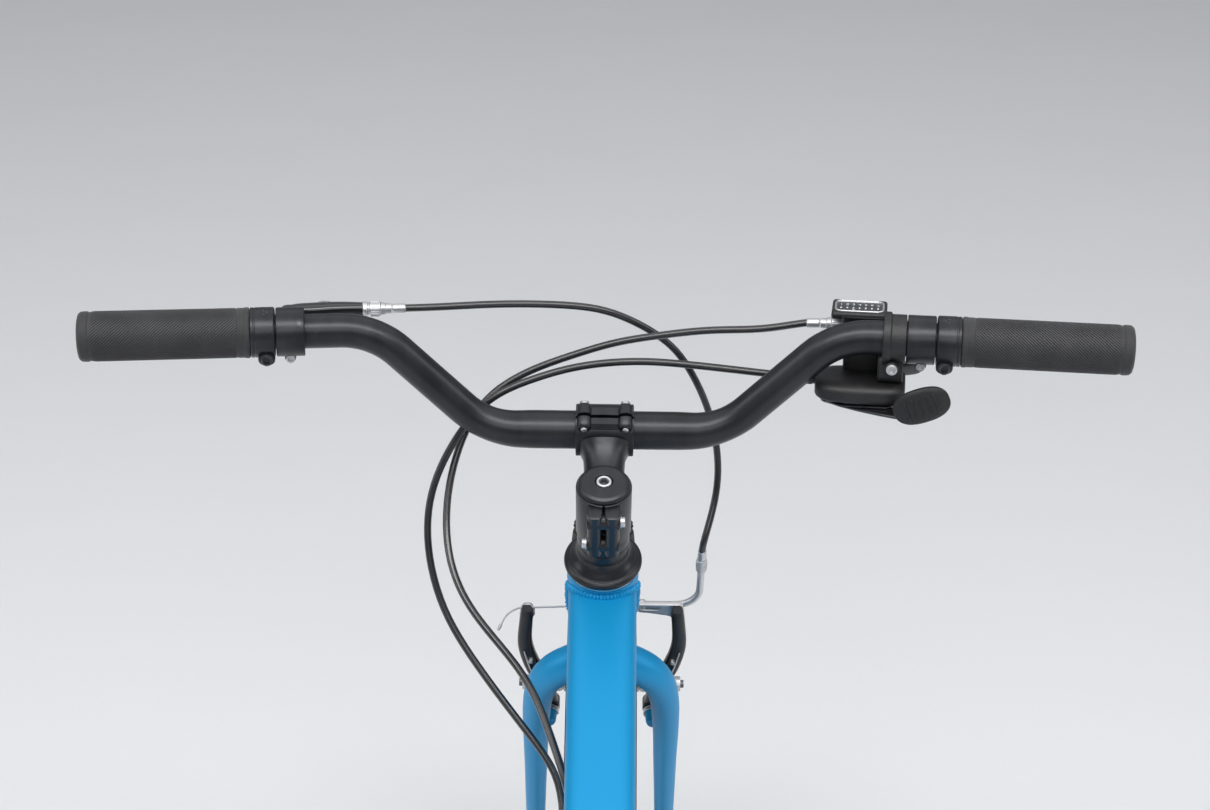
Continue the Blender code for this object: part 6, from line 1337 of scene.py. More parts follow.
def make_lever_blade(hand, at, fore, rise):
    blade = Form(f"lever_blade_{hand.name}", "gloss_black", "bright_steel")
    level = -0.0095
    route, deep, tall = [], [], []
    for index in range(11):
        share = index / 10
        bow = sin(pi * share) * 0.005
        route.append(at(0.033 - share * 0.098, 0.04 + 0.016 * min(1, 2.2 * share) - bow * share,
                        level - 0.01 * share))
        deep.append(0.0042 - 0.0014 * sin(pi * share))
        tall.append(0.0036 + 0.0017 * sin(pi * share))
    rows = [oval(p, d * fore, h * rise, 2.6) for p, d, h in zip(*curved(route, 3, deep, tall))]
    blade.skin(rows, 0)
    blade.turned([(0.0022, -0.0036), (0.0064, -0.0036), (0.0064, 0.0036), (0.0022, 0.0036)],
                 aimed(at(0.031, 0.04, level), rise), 0, 36, 0.0006, True)
    tip = at(-0.065, 0.057, level - 0.01)
    blade.turned([(0, -0.0044), (0.0034, -0.0042), (0.005, -0.0026), (0.0052, 0), (0.005, 0.0026),
                  (0.0034, 0.0042), (0, 0.0044)], aimed(tip, rise), 0, 32, 0.0004)
    screw = at(0.02, 0.03, level)
    blade.rod(at(0.022, 0.036, level), screw, 0.0012, finish=1, sides=14, soft=0.0002)
    blade.ride(f"brake_lever_{hand.name}", "black_anodised", f"brake_lever_{hand.name}")


def make_shifter():
    hand = Hand(1)
    make_shifter_case(hand, SHIFTER_START)
    make_thumb_lever(hand, SHIFTER_START)
    make_release_lever(hand, SHIFTER_START)


def add_gear_window(form, box):
    """The clear window with its rim, the printed gears and the pointer."""
    rim = [box @ Vector(p)
           for p in ((-0.0155, -0.0098, 0.0026), (0.0155, -0.0098, 0.0026),
                     (0.0155, 0.0098, 0.0026), (-0.0155, 0.0098, 0.0026))]
    closed = rounded_path(rim + rim[:2], 0.0045, 0.2)[1:-1]
    form.tube(closed + closed[:2], 0.0007, 1, 12, soft_end=False)
    form.block(box @ Matrix.Translation((0, 0, 0.0022)), (0.03, 0.0186, 0.0012), 0.0005, 3)
    for number in range(7):
        mark = box @ Matrix.Translation((-0.012 + 0.004 * number, 0.0022, 0.00285))
        curve = bpy.data.curves.new("mark", "FONT")
        curve.body, curve.align_x = str(7 - number), "CENTER"
        curve.size, curve.extrude = 0.0042, 0.00006
        form.add(mesh_of(curve),
                 mark @ Matrix.Rotation(pi, 4, "Z") @ Matrix.Translation((0, -0.0016, 0)), 4)
        form.block(mark @ Matrix.Translation((0, -0.0062, 0)), (0.001, 0.0026, 0.00012), 0.00004, 4,
                   1)
    form.block(box @ Matrix.Translation((0.004, -0.0068, 0.003)), (0.0016, 0.004, 0.0003), 0.0001,
               1, 1)


def make_shifter_case(hand, start):
    top, tall, pod = SHIFTER_TOP, SHIFTER_TALL, SHIFTER_MIDDLE
    form = Form("shifter_case", "moulded_black", "bright_steel", "gloss_black", "clear_lens",
                "pale_marks")
    form.turned([(END_BORE, 0), (0.0158, 0), (0.0158, 0.0094), (0.0172, 0.0098), (0.0173, 0.0146),
                 (END_BORE, 0.0146)], aimed(hand.at(start), hand.inward), 0, 72, 0.0006, True)

    def section(x, f, u, d, h, sq=3.2):
        return oval(hand.at(start + x, f, u), d * hand.forward, h * hand.up, sq, 36)
    form.skin([section(x, 0.007, -0.019, d, h, 3.6)
               for x, d, h in ((0.0008, 0.0145, 0.01), (0.0014, 0.0155, 0.0108),
                   (0.016, 0.0155, 0.0108), (0.0172, 0.0145, 0.01))], 0)
    form.skin([section(x, 0.008, pod, 0.022 * d, tall / 2 * h)
               for x, d, h in ((-0.0012, 0.58, 0.6), (-0.0008, 0.68, 0.74), (0.0015, 0.84, 0.9),
                   (0.006, 0.96, 0.98), (0.016, 1, 1), (0.036, 1, 0.97), (0.047, 0.92, 0.92),
                   (0.053, 0.78, 0.84), (0.056, 0.62, 0.7), (0.0572, 0.46, 0.55))], 0)
    form.skin([section(x, 0.008, top - tall - 0.0002 + 0.0009, 0.0205 * d, 0.0013, 3)
               for x, d in ((0.004, 0.6), (0.01, 0.95), (0.04, 0.95), (0.05, 0.6))], 2)
    form.skin([oval(hand.at(start + 0.027, 0.0188, u), w * hand.inward, d * hand.forward, 4.0, 36)
               for u, w, d in ((-0.032, 0.013, 0.005), (-0.01, 0.0135, 0.0052),
                   (0.004, 0.015, 0.0062), (0.0085, 0.016, 0.0078))], 0)
    box = frame_of(hand.at(start + 0.031, 0.0275, 0.0082), hand.inward, hand.forward, hand.up)
    form.block(box, (0.036, 0.027, 0.0052), 0.002, 0, 4)
    add_gear_window(form, box)
    exit_at = start + 0.054
    form.rod(hand.at(exit_at - 0.008, 0.018, pod), hand.at(exit_at + 0.004, 0.018, pod), 0.0062,
             0.0052, 0, soft=0.0008)
    barrel = aimed(hand.at(exit_at + 0.0035, 0.018, pod), hand.inward)
    form.turned([(0, 0), (0.0046, 0), (0.0048, 0.002), (0.0048, 0.011), (0.0036, 0.0128),
                 (0.0034, 0.0168), (0, 0.0168)], barrel, 0, 36, 0.0003)
    add_ridges(form, "moulded_black", (0.0048, 0, 0.0062), (0.0007, 0.0006, 0.008), 0.0002, 16,
               barrel)
    place = hand.at(start + 0.0082, -0.015, -0.0155)
    form.rod(place, hand.at(start + 0.0082, 0.002, -0.0155), 0.0044, finish=0, sides=28)
    form.bolt(place + 0.0008 * hand.forward, -hand.forward, 0.0036, 0.0028, 1)
    form.ride("steering", "black_plastic", "shifter_body")


def make_thumb_lever(hand, start):
    level = SHIFTER_TOP - SHIFTER_TALL - 0.0003 - 0.0015
    lever = Form("thumb_paddle", "gloss_black", "moulded_black", "bright_steel")
    lever.skin([oval(hand.at(start + x, f, level), w * hand.forward, 0.0015 * hand.up, 3.2, 32)
                for x, f, w in ((0.053, 0.007, 0.003), (0.051, 0.0067, 0.0055),
                    (0.046, 0.006, 0.0078), (0.04, 0.004, 0.01), (0.028, -0.002, 0.01),
                    (0.015, -0.008, 0.0092), (0.004, -0.013, 0.0078), (-0.005, -0.017, 0.006))], 0)
    lever.turned([(0, -0.0006), (0.0052, -0.0006), (0.0046, 0.001), (0, 0.001)],
                 aimed(hand.at(start + 0.04, 0.008, level - 0.0014), -hand.up), 2, 32, 0.0002)
    along = (hand.inward * 0.93 - hand.up * 0.37).normalized()
    tilt = (hand.up * 0.93 + hand.inward * 0.37).normalized()
    rows = []
    for offset, size in ((-1.25, 0.72), (-1.05, 0.86), (-0.6, 0.97), (0, 1.0), (0.6, 0.98),
            (1.0, 0.9), (1.2, 0.8)):
        centre = hand.at(start - 0.012, -0.0225 + 0.0019 * offset, level + 0.0105)
        rows.append(oval(centre, 0.0185 * size * along, 0.0118 * size * tilt, 2.5, 44))
    lever.skin(rows, 1)
    for step in range(5):
        centre = hand.at(start - 0.012, -0.0249, level + 0.0105) + (step - 2) * 0.0048 * along
        lever.tube([centre - 0.0068 * tilt, centre - 0.006 * tilt - 0.0003 * hand.forward,
                    centre + 0.006 * tilt - 0.0003 * hand.forward, centre + 0.0068 * tilt], 0.0007,
                   1, 10)
    lever.ride("thumb_lever", "black_plastic", "shift_thumb_lever")


def make_release_lever(hand, start):
    pod = SHIFTER_MIDDLE
    small = Form("release_trigger", "gloss_black")
    stations = ((0.03, 0.032, 0.0016, 0.0026), (0.024, 0.0332, 0.0026, 0.004),
                (0.018, 0.0343, 0.003, 0.0045), (0.004, 0.0393, 0.0025, 0.005),
                (-0.008, 0.0437, 0.0019, 0.0048), (-0.0125, 0.0455, 0.0009, 0.003))
    route = [hand.at(start + x, f, pod) for x, f, *_ in stations]
    rows = curved(route, 4, [d for *_, d, _ in stations], [h for *_, h in stations])
    small.skin([oval(p, d * hand.forward, h * hand.up, 2.8) for p, d, h in zip(*rows)], 0)
    small.ride("release_lever", "black_plastic", "shift_release_lever")


# Rim brakes

def axes_of(at):
    return [at.col[axis].xyz for axis in range(3)]


def arm_shape(form, at, side):
    """The arm: hub on the stud, the bow round the tyre and the flattened top."""
    stations = ((0.0002, -0.0072, 0.0052), (0.0, -0.005, 0.0072), (0.0, 0.0, 0.0078),
                (0.0012, 0.012, 0.0072), (0.0035, 0.027, 0.007), (0.012, 0.05, 0.0061),
                (0.0165, 0.074, 0.0054), (0.0155, 0.097, 0.0049), (0.0145, 0.108, 0.0047),
                (0.0145, 0.113, 0.0036))
    points, widths, depths = curved([(side * (BOSS_HALF + x), 0, z) for x, z, _ in stations], 4,
        [w for *_, w in stations],
        [0.0034, 0.0046, 0.005, 0.005, 0.005, 0.0048, 0.0044, 0.0044, 0.0044, 0.0034])
    form.skin([oval(at @ p, w * at.col[0].xyz, d * at.col[1].xyz, 3.4, 36)
               for p, w, d in zip(points, widths, depths)], 0)


def make_brake(front):
    prefix, at = "front" if front else "rear", brake_frame(front)
    for side in (-1, 1):
        hand = "right" if side * at.col[0].x > 0 else "left"
        make_brake_arm(at, side, prefix, hand)
        make_brake_shoe(at, side, prefix, hand, 0.002 if front else -0.016)
    make_noodle(at, prefix)
    make_inner_wire(at, prefix, "steering" if front else "frame")


def make_brake_arm(at, side, prefix, hand):
    """The arm on its stud, the shoe's post and nut, the spring and the pinch bolt."""
    across, out, up = axes_of(at)
    stud = at @ Vector((side * BOSS_HALF, 0, 0))
    form = Form(f"{prefix}_caliper_{hand}", "black_alloy", "bright_steel", "dark_steel")
    form.band(stud - 0.0049 * out, stud + 0.0049 * out, 0.0045, 0.0085, 0, 48, 0.0007)
    arm_shape(form, at, side)
    post = at @ Vector((side * 0.0445, 0, SHOE_LEVEL))
    form.rod(post - side * 0.0085 * across, post + side * 0.0085 * across, 0.0068, finish=0,
             soft=0.0008)
    form.rod(post + side * 0.0083 * across, post + side * 0.01 * across, 0.0062, finish=1,
             soft=0.0003)
    form.nut(post + side * 0.0099 * across, side * across, 0.0058, 0.005, 1)
    form.rod(post + side * 0.0148 * across, post + side * 0.0175 * across, 0.003, finish=2,
             sides=20, soft=0.0003)
    coil = [stud + 0.0076 * (cos(a) * across + sin(a) * up) - (0.01 - 0.00035 * a) * out
            for a in [k * 0.35 for k in range(38)]]
    leg = [at @ Vector((side * (BOSS_HALF + 0.0075), -0.007, 0.01)),
           at @ Vector((side * (BOSS_HALF + 0.008), -0.0066, 0.032)),
           at @ Vector((side * (BOSS_HALF + 0.0135), -0.006, 0.052)),
           at @ Vector((side * (BOSS_HALF + 0.017), -0.0056, 0.07))]
    form.tube(coil, 0.0006, 1, 8, soft_end=False)
    form.tube(curved(leg, 5), 0.0006, 1, 8)
    form.rod(at @ Vector((side * (BOSS_HALF + 0.0125), -0.008, 0.06)),
             at @ Vector((side * (BOSS_HALF + 0.0125), -0.003, 0.06)), 0.0016, finish=1, sides=16,
             soft=0.0002)
    top = at @ Vector((side * (BOSS_HALF + 0.0145), 0, ARM_HEIGHT - 0.007))
    form.rod(top + 0.0036 * out, top + 0.0086 * out, 0.0021, finish=1, sides=20, soft=0.0002)
    if side < 0:
        form.rod(top + 0.0042 * out, top + 0.0054 * out, 0.0056, finish=1, soft=0.0003)
        form.rod(top + 0.0078 * out, top + 0.009 * out, 0.0054, finish=1, soft=0.0003)
        form.bolt(top + 0.0088 * out, out, 0.0042, 0.003, 1)
    else:
        form.turned([(0, 0), (0.0036, 0), (0.0036, 0.0008), (0, 0.001)],
                    aimed(top + 0.0086 * out, out), 1, 24, 0.0002)
    form.ride(f"{prefix}_arm_{hand}", "black_anodised", f"{prefix}_brake_arm_{hand}")


def make_brake_shoe(at, side, prefix, hand, base):
    """The grooved pad, its backing and its washers."""
    across, _, up = axes_of(at)
    pad = Form(f"{prefix}_shoe_{hand}", "grip_rubber", "black_alloy", "bright_steel")
    inner, thick, mean = 0.0143, 0.0072, 0.2535

    def section(along, near, far, tall, sq=5.0):
        drop = mean - sqrt(mean * mean - along * along)
        centre = at @ Vector((side * (near + far) / 2, base + along, SHOE_LEVEL - drop))
        return oval(centre, (far - near) / 2 * across, tall * up, sq, 32)
    rows, grooves = [], (-0.014, -0.0047, 0.0047, 0.014)
    for step in range(-56, 57):
        along = step * 0.0005
        gap = min(abs(along - groove) for groove in grooves)
        depth = 0.0022 * min(1, (0.0011 - gap) / 0.0005) if gap < 0.0011 else 0.0
        end = min(1, (0.028 - abs(along)) / 0.0035)
        ease = sqrt(max(0.03, 1 - (1 - end) ** 2))
        rows.append(section(along, inner + depth + 0.0014 * (1 - ease), inner + thick,
                            0.0049 * (0.55 + 0.45 * ease)))
    pad.skin(rows, 0)
    pad.skin([section(k * 0.0027, inner + thick - 0.0006, inner + 0.0099,
                      0.0044 * min(1, 0.62 + 0.14 * (9 - abs(k)))) for k in range(-9, 10)], 1)
    start = at @ Vector((side * (inner + 0.0094), 0, SHOE_LEVEL))
    pad.turned([(0.0, 0.0), (0.0052, 0), (0.0066, 0.0034), (0.0066, 0.0044), (0.005, 0.0048),
                (0.0062, 0.0064), (0.0064, 0.0096), (0, 0.01)], aimed(start, side * across), 2, 36,
               0.0003)
    pad.ride(f"{prefix}_arm_{hand}", "black_rubber", f"{prefix}_brake_pad_{hand}")


def make_noodle(at, prefix):
    """The bent tube that guides the wire, with its barrel and its hook."""
    across, _, up = axes_of(at)
    form = Form(f"{prefix}_guide", "bright_steel", "moulded_black")
    line, y, pin = GUIDE_LEVEL, GUIDE_FORE, BOSS_HALF + 0.0145
    corners = [at @ Vector(c)
               for c in ((0.025, y, line), (GUIDE_OUT, y, line), (GUIDE_OUT, y, line + GUIDE_RISE))]
    form.tube(rounded_path(corners, 0.018, 0.08), 0.0026, 0, 28)
    tip = at @ Vector((0.025, y, line))
    form.turned([(0.0028, 0.0), (0.0036, 0.0006), (0.004, 0.005), (0.0034, 0.006), (0.0026, 0.006),
                 (0.0026, 0)], aimed(tip, across), 0, 28, 0.0002, True)
    collar = aimed(corners[2] - 0.0062 * up, up)
    form.turned([(0, 0), (0.0032, 0), (0.0038, 0.001), (0.0038, 0.0112), (0.0031, 0.0122),
                 (0, 0.0122)], collar, 0, 32, 0.0002)
    add_ridges(form, "bright_steel", (0.0038, 0, 0.0064), (0.0005, 0.0004, 0.0074), 0.0001, 18,
               collar)
    flat = at @ Matrix.Translation((0, 0.0074, 0)) @ Matrix.Rotation(pi / 2, 4, "X")
    outline = [(0.026, line + 0.0042), (pin + 0.002, line + 0.0045), (pin + 0.0048, line + 0.002),
               (pin + 0.005, line - 0.006), (pin + 0.003, line - 0.0102),
               (pin - 0.003, line - 0.0106), (pin - 0.006, line - 0.008), (0.034, line - 0.0052),
               (0.026, line - 0.0042)]
    window = [(0.031 + 0.003 * cos(TAU * k / 20) + (0.008 if cos(TAU * k / 20) > 0 else 0),
               line + 0.0017 * sin(TAU * k / 20)) for k in range(20)]
    form.plate([[tuple(p) for p in softened(outline, 0.0016, True)], window], 0.0032, flat, 0,
               0.0006)
    form.ride(f"{prefix}_arm_" + ("right" if across.x > 0 else "left"), "bright_steel",
              f"{prefix}_brake_noodle")


def make_inner_wire(at, prefix, body):
    """The bare wire from the guide to the pinch bolt, and its loose tail."""
    _, out, up = axes_of(at)
    line, clamp = GUIDE_LEVEL, -(BOSS_HALF + 0.0145)
    wire = Form(f"{prefix}_inner_wire", "bright_steel")
    route = [(0.0243, GUIDE_FORE, line), (0.0, 0.009, line - 0.0004),
             (clamp + 0.01, 0.0069, line - 0.0008), (clamp, 0.0065, line - 0.0012),
             (clamp - 0.007, 0.0071, line - 0.003), (clamp - 0.015, 0.0075, line - 0.011),
             (clamp - 0.02, 0.0065, line - 0.022)]
    path = curved([at @ Vector(p) for p in route], 8)
    for strand in range(5):
        twist = [path[k] + 0.00042
                 * (cos(strand * TAU / 5 + k * 0.9) * out + sin(strand * TAU / 5 + k * 0.9) * up)
                 for k in range(len(path))]
        wire.tube(twist, 0.0004, 0, 8)
    wire.rod(path[-1] - 0.3 * (path[-1] - path[-3]),
             path[-1] + 1.2 * (path[-1] - path[-3]).normalized() * 0.004, 0.0012, finish=0,
             sides=16, soft=0.0003)
    wire.ride(body, "bright_steel", f"{prefix}_brake_wire")


def make_front_brake():
    make_brake(True)


def make_rear_brake():
    make_brake(False)


# Frame and seat

def stay_route(low):
    """A stay's points and radii on the right side: low for the chain stay, else the seat stay."""
    if low:
        start, direction = BB, (BB - REAR_AXLE).normalized()
        stations = ((0.0, 0.018, 1), (0.12, 0.0295, 1), (0.25, 0.0375, 0.97), (0.45, 0.0425, 0.92),
                    (0.75, 0.05, 0.82), (0.92, 0.0585, 0.72))
        radius = 0.009
    else:
        start, direction = on_seat_tube(STAY_TOP), stay_direction()
        stations = ((0.0, 0.008, 1), (0.045, 0.018, 1), (0.13, 0.03, 1), (0.24, 0.0375, 1),
                    (0.48, 0.042, 0.97), (0.75, 0.051, 0.93), (0.92, 0.0595, 0.86))
        radius = 0.0072
    tip = REAR_AXLE + 0.04 * direction
    points = [start + share * (tip - start) + x * X for share, x, _ in stations] + [tip + 0.065 * X]
    return curved(points, 8, [radius * share for *_, share in stations] + [0.0058])


def mirrored(points, side):
    return [Vector((side * p.x, p.y, p.z)) for p in points]


def hanger_point():
    return Vector((0, REAR_AXLE.y - 0.006, REAR_AXLE.z - 0.028))


def rear_dropout(form, side):
    x = side * (DROPOUT + 0.0025)
    low, high = (degrees(atan2(v.z, v.y)) for v in (BB - REAR_AXLE, stay_direction()))
    reach, waist, back = 0.05, 0.028, 0.016
    down = degrees(atan2(-1, 0.35))
    outline = [(reach, low - 8), (reach, low + 8), (waist, (low + high) / 2), (reach, high - 8),
               (reach, high + 8), (0.022, high + 40), (back, high + 75), (back, high + 110),
               (back, high + 145)]
    if side > 0:
        tab = hanger_point() - REAR_AXLE
        middle, far = degrees(atan2(tab.z, tab.y)), tab.length
        outline += [(back, middle - 35), (far, middle - 20), (far + 0.008, middle - 12),
                    (far + 0.01, middle), (far + 0.008, middle + 9), (back + 0.002, middle + 13)]
    else:
        outline += [(back, down - 60), (back, down - 32)]
    cut = radians(down)
    away, aside = Vector((cos(cut), sin(cut))), Vector((-sin(cut), cos(cut)))
    flat = [Vector((r * cos(radians(a)), r * sin(radians(a)))) for r, a in outline]
    flat += [0.0155 * away - 0.0053 * aside]
    flat += [0.0053 * Vector((cos(cut - pi / 2 - k * pi / 12), sin(cut - pi / 2 - k * pi / 12)))
             for k in range(13)]
    flat += [0.0155 * away + 0.0053 * aside]
    last = radians(low - 40)
    flat += [Vector((0.022 * cos(last), 0.022 * sin(last)))]
    form.plate([[tuple(p) for p in softened(flat, 0.0022, True, 2)]], 0.005,
               side_frame(x, REAR_AXLE.y, REAR_AXLE.z), 0, 0.0008)


def tube_rows(form, start, end, radius):
    """A straight tube in even steps; returns its rows for the weld lines."""
    return form.tube([start.lerp(end, k / 12) for k in range(13)], radius, 0, 48)


def make_frame():
    form = Form("main_frame", "blue_paint", "bright_steel", "black_alloy", "dark_steel")
    loops = add_main_tubes(form)
    for side in (-1, 1):
        rear_dropout(form, side)
        brake_boss(form, brake_frame(False), side, 0, 1)
    hanger = hanger_point()
    form.band(hanger + (DROPOUT + 0.0003) * X, hanger + (DROPOUT + 0.0047) * X, 0.0046, 0.0082, 0,
              36)
    add_bottle_bosses(form)
    add_cable_rests(form)
    weld(form, [loop for loop in loops if len(loop) > 8])
    form.ride("frame", "blue_paint", "frame")


def add_main_tubes(form):
    """The tubes, the shell and the bridges; returns the lines where they meet."""
    seat = form.turned([(0.0139, 0.15), (SEAT_TUBE_RADIUS, 0.15),
                        (SEAT_TUBE_RADIUS, SEAT_TUBE_LENGTH), (0.0139, SEAT_TUBE_LENGTH)],
                       aimed(BB, UP_SEAT), 0, 64, 0.0004, True)
    slot = Form("slot")
    slot.block(frame_of(on_seat_tube(SEAT_TUBE_LENGTH, -SEAT_TUBE_RADIUS), X, FORWARD_SEAT,
                        UP_SEAT), (0.002, 0.012, 0.03), 0.0009)
    form.cut(slot)
    r = HEAD_RADIUS
    head = form.turned([(0.0163, 0), (r - 0.001, 0), (r - 0.001, 0.003), (r, 0.0034), (r, 0.0105),
                        (r - 0.0011, 0.0135), (r - 0.0011, 0.0735), (r, 0.0765), (r, 0.087),
                        (0.0163, 0.087)], aimed(on_head(0), UP_HEAD), 0, 72, 0.0006, True)
    front, rear = on_head(TOP_TUBE_HEIGHT), on_seat_tube(TOP_TUBE_REAR)
    along = (front - rear).normalized()
    rise = X.cross(along)
    top = []
    for k in range(41):
        share = k / 40
        wide, tall = 0.038 + 0.008 * share, 0.03 + 0.006 * share
        top.append(oval(rear.lerp(front, share), wide / 2 * X, tall / 2 * rise, 4.2, 64))
    form.skin(top, 0)
    lower = tube_rows(form, BB, on_seat_tube(0.155), SEAT_TUBE_RADIUS)
    shell = form.turned([(0.009, -0.034), (0.02, -0.034), (0.02, 0.034), (0.009, 0.034)],
                        aimed(BB, X), 0, 64, 0.0006, True)
    for side in (-1, 1):
        cup = aimed(BB + side * 0.0339 * X, side * X)
        form.turned([(0.009, 0), (0.0196, 0), (0.0196, 0.0036), (0.0182, 0.0043), (0.012, 0.004),
                     (0.009, 0.004)], cup, 2, 64, 0.0003, True)
        add_ridges(form, "dark_steel", (0.0186, 0, 0.00415), (0.0018, 0.003, 0.0004), 0.0001, 16,
                   cup)
    down = tube_rows(form, on_head(DOWN_TUBE_HEIGHT), BB, DOWN_TUBE_RADIUS)
    loops = [meeting_line(top[24], top[-1], head), meeting_line(top[16], top[0], seat),
             meeting_line(down[6], down[1], head), meeting_line(down[7], down[-1], shell),
             meeting_line(lower[6], lower[1], shell)]
    for low in (True, False):
        points, radii = stay_route(low)
        for side in (-1, 1):
            rows = form.tube(mirrored(points, side), radii, 0, 32)
            loops.append(meeting_line(rows[9 if low else 14], rows[3], shell if low else seat))
        distance = [hypot(p.y - REAR_AXLE.y, p.z - REAR_AXLE.z) for p in points]
        nearest = min(range(len(points)), key=lambda k: abs(distance[k] - 0.319))
        direction = (BB - REAR_AXLE).normalized() if low else stay_direction()
        middle, x = REAR_AXLE + 0.319 * direction, points[nearest].x * X
        form.rod(middle - x, middle + x, 0.006, finish=0, sides=32)
    return loops


def add_bottle_bosses(form):
    normal = down_tube_normal()
    for y in (0.06, 0.06 + 0.064 * cos(atan2(normal.y, normal.z))):
        share = (y - BB.y) / (on_head(DOWN_TUBE_HEIGHT).y - BB.y)
        base = BB.lerp(on_head(DOWN_TUBE_HEIGHT), share)
        form.turned([(0, 0), (0.0068, 0), (0.0066, 0.0012), (0.0056, 0.0018), (0.0055, 0.003),
                     (0, 0.003)], aimed(base + 0.0181 * normal, normal), 0, 32, 0.0003)
        form.disc(base + 0.0209 * normal, normal, 0.0047, 0, 0.001, 1, 32)
        form.bolt(base + 0.0216 * normal, normal, 0.0042, 0.0026, 1)


def add_cable_rests(form):
    """Rests with a tie round the housing: two under the top tube, two beside the down tube."""
    direction = (on_head(DOWN_TUBE_HEIGHT) - BB).normalized()
    along = (on_head(TOP_TUBE_HEIGHT) - on_seat_tube(TOP_TUBE_REAR)).normalized()
    for place, wide in ((0.573, 0), (0.286, 0), (0.19, 1), (0.1, 1)):
        if wide:
            share = (place - BB.y) / (on_head(DOWN_TUBE_HEIGHT).y - BB.y)
            centre = BB.lerp(on_head(DOWN_TUBE_HEIGHT), share) - 0.0183 * X
            line, size = direction, (0.0026, 0.01, 0.01)
            hold = centre - 0.0042 * X
        else:
            centre, line, size = by_top_tube(place, -0.68, -0.972), along, (0.006, 0.012, 0.004)
            hold = centre - 0.005 * Z
        form.block(frame_of(centre, X, line, X.cross(line)), size, 0.0008, 0)
        tie = [hold + 0.0038 * (cos(a) * X + sin(a) * X.cross(line))
               for a in [TAU * k / 24 for k in range(24)]]
        form.skin([[p + w * line + 0.0006 * (p - hold).normalized() * s for p in tie]
                   for w, s in ((-0.0014, 0), (-0.0014, 1), (0.0014, 1), (0.0014, 0))], 2,
                  ring=True)


def make_seat_clamp():
    form = Form("seat_collar", "black_alloy", "bright_steel")
    low = SEAT_TUBE_LENGTH - 0.016
    form.turned([(0.0162, 0), (0.0198, 0), (0.0205, 0.001), (0.0205, 0.012), (0.0198, 0.0134),
                 (0.0205, 0.0144), (0.0205, 0.016), (0.0198, 0.017), (0.0162, 0.017)],
                aimed(on_seat_tube(low), UP_SEAT), 0, 72, 0.0004, True)
    ear = on_seat_tube(0.327, -0.0235)
    for side in (-1, 1):
        form.skin([oval(ear + side * 0.0045 * X + level * UP_SEAT, 0.0035 * grow * X,
                        0.008 * grow * FORWARD_SEAT, 3.6, 32)
                   for level, grow in ((-0.0065, 0.86), (-0.006, 0.97), (-0.004, 1), (0.004, 1),
                       (0.006, 0.97), (0.0065, 0.86))], 0)
        form.rod(ear - 0.002 * FORWARD_SEAT + side * 0.006 * X,
                 ear - 0.002 * FORWARD_SEAT + side * 0.0106 * X, 0.0048, finish=0, soft=0.0006)
    form.bolt(ear - 0.002 * FORWARD_SEAT + 0.0104 * X, X, 0.004, 0.0034, 1)
    form.nut(ear - 0.002 * FORWARD_SEAT - 0.0104 * X, -X, 0.0042, 0.0034, 1)
    gap = Form("gap")
    gap.block(frame_of(ear + 0.004 * FORWARD_SEAT, X, FORWARD_SEAT, UP_SEAT), (0.002, 0.018, 0.03),
              0.00002)
    form.cut(gap)
    form.ride("frame", "black_anodised", "seat_clamp")


def rail_centre():
    return Vector((0, on_seat_tube(0.406).y, RAIL_HEIGHT))


def make_seatpost():
    form = Form("seat_pillar", "black_alloy", "bright_steel", "pale_marks")
    at = aimed(on_seat_tube(0.215), UP_SEAT)
    form.turned([(0.0118, 0), (0.0136, 0), (0.0136, 0.176), (0.015, 0.184), (0.0158, 0.1905),
                 (0, 0.1915)], at, 0, 64, 0.0005)
    for k in range(8):
        mark = at @ Matrix.Translation((0, 0, 0.124 + 0.005 * k))
        length = 0.55 if k % 2 else 0.9
        arc = [mark @ Vector((0.01364 * sin(a), 0.01364 * cos(a), 0))
               for a in [(-0.5 + j / 10) * length for j in range(11)]]
        form.skin([[p + level * UP_SEAT for p in arc]
                   + [p + level * UP_SEAT - 0.0003 * FORWARD_SEAT for p in reversed(arc)]
                   for level in (0, 0.0005)], 2)
    middle = rail_centre()
    for low, high, depth in ((-0.0095, -0.0039, 0.02), (0.0039, 0.0088, 0.019)):
        rows = []
        for level, grow in ((low, 0.92), (low + 0.0008, 0.98), ((low + high) / 2, 1.0),
                            (high - 0.0006, 0.98), (high, 0.92)):
            rows.append(oval(middle + level * Z, 0.0285 * grow * X, depth * grow * Y, 3.6, 44))
        form.skin(rows, 0)
    for side in (-1, 1):
        form.tube([middle + side * 0.022 * X + y * Y - 0.0046 * Z for y in (-0.019, 0.0, 0.019)],
                  0.0052, 0, 24)
        form.tube([middle + side * 0.022 * X + y * Y + 0.005 * Z for y in (-0.018, 0.0, 0.018)],
                  0.0048, 0, 24)
    form.skin([oval(middle + level * Z + (-0.0012 + level * -0.25) * Y, x * X, y * Y, 3.0, 36)
               for level, x, y in ((-0.03, 0.0135, 0.0135), (-0.022, 0.015, 0.015),
                   (-0.014, 0.0165, 0.017), (-0.0085, 0.0175, 0.0185))], 0)
    for y in (-0.0115, 0.0115):
        form.rod(middle + y * Y - 0.019 * Z, middle + y * Y + 0.0095 * Z, 0.0026, finish=1,
                 sides=20)
        form.turned([(0, 0), (0.006, 0), (0.006, 0.001), (0, 0.0014)],
                    aimed(middle + y * Y + 0.0086 * Z, Z), 1, 28, 0.0002)
        form.bolt(middle + y * Y + 0.0096 * Z, Z, 0.0044, 0.0036, 1)
    form.ride("seat", "black_anodised", "seatpost")
    make_rails()


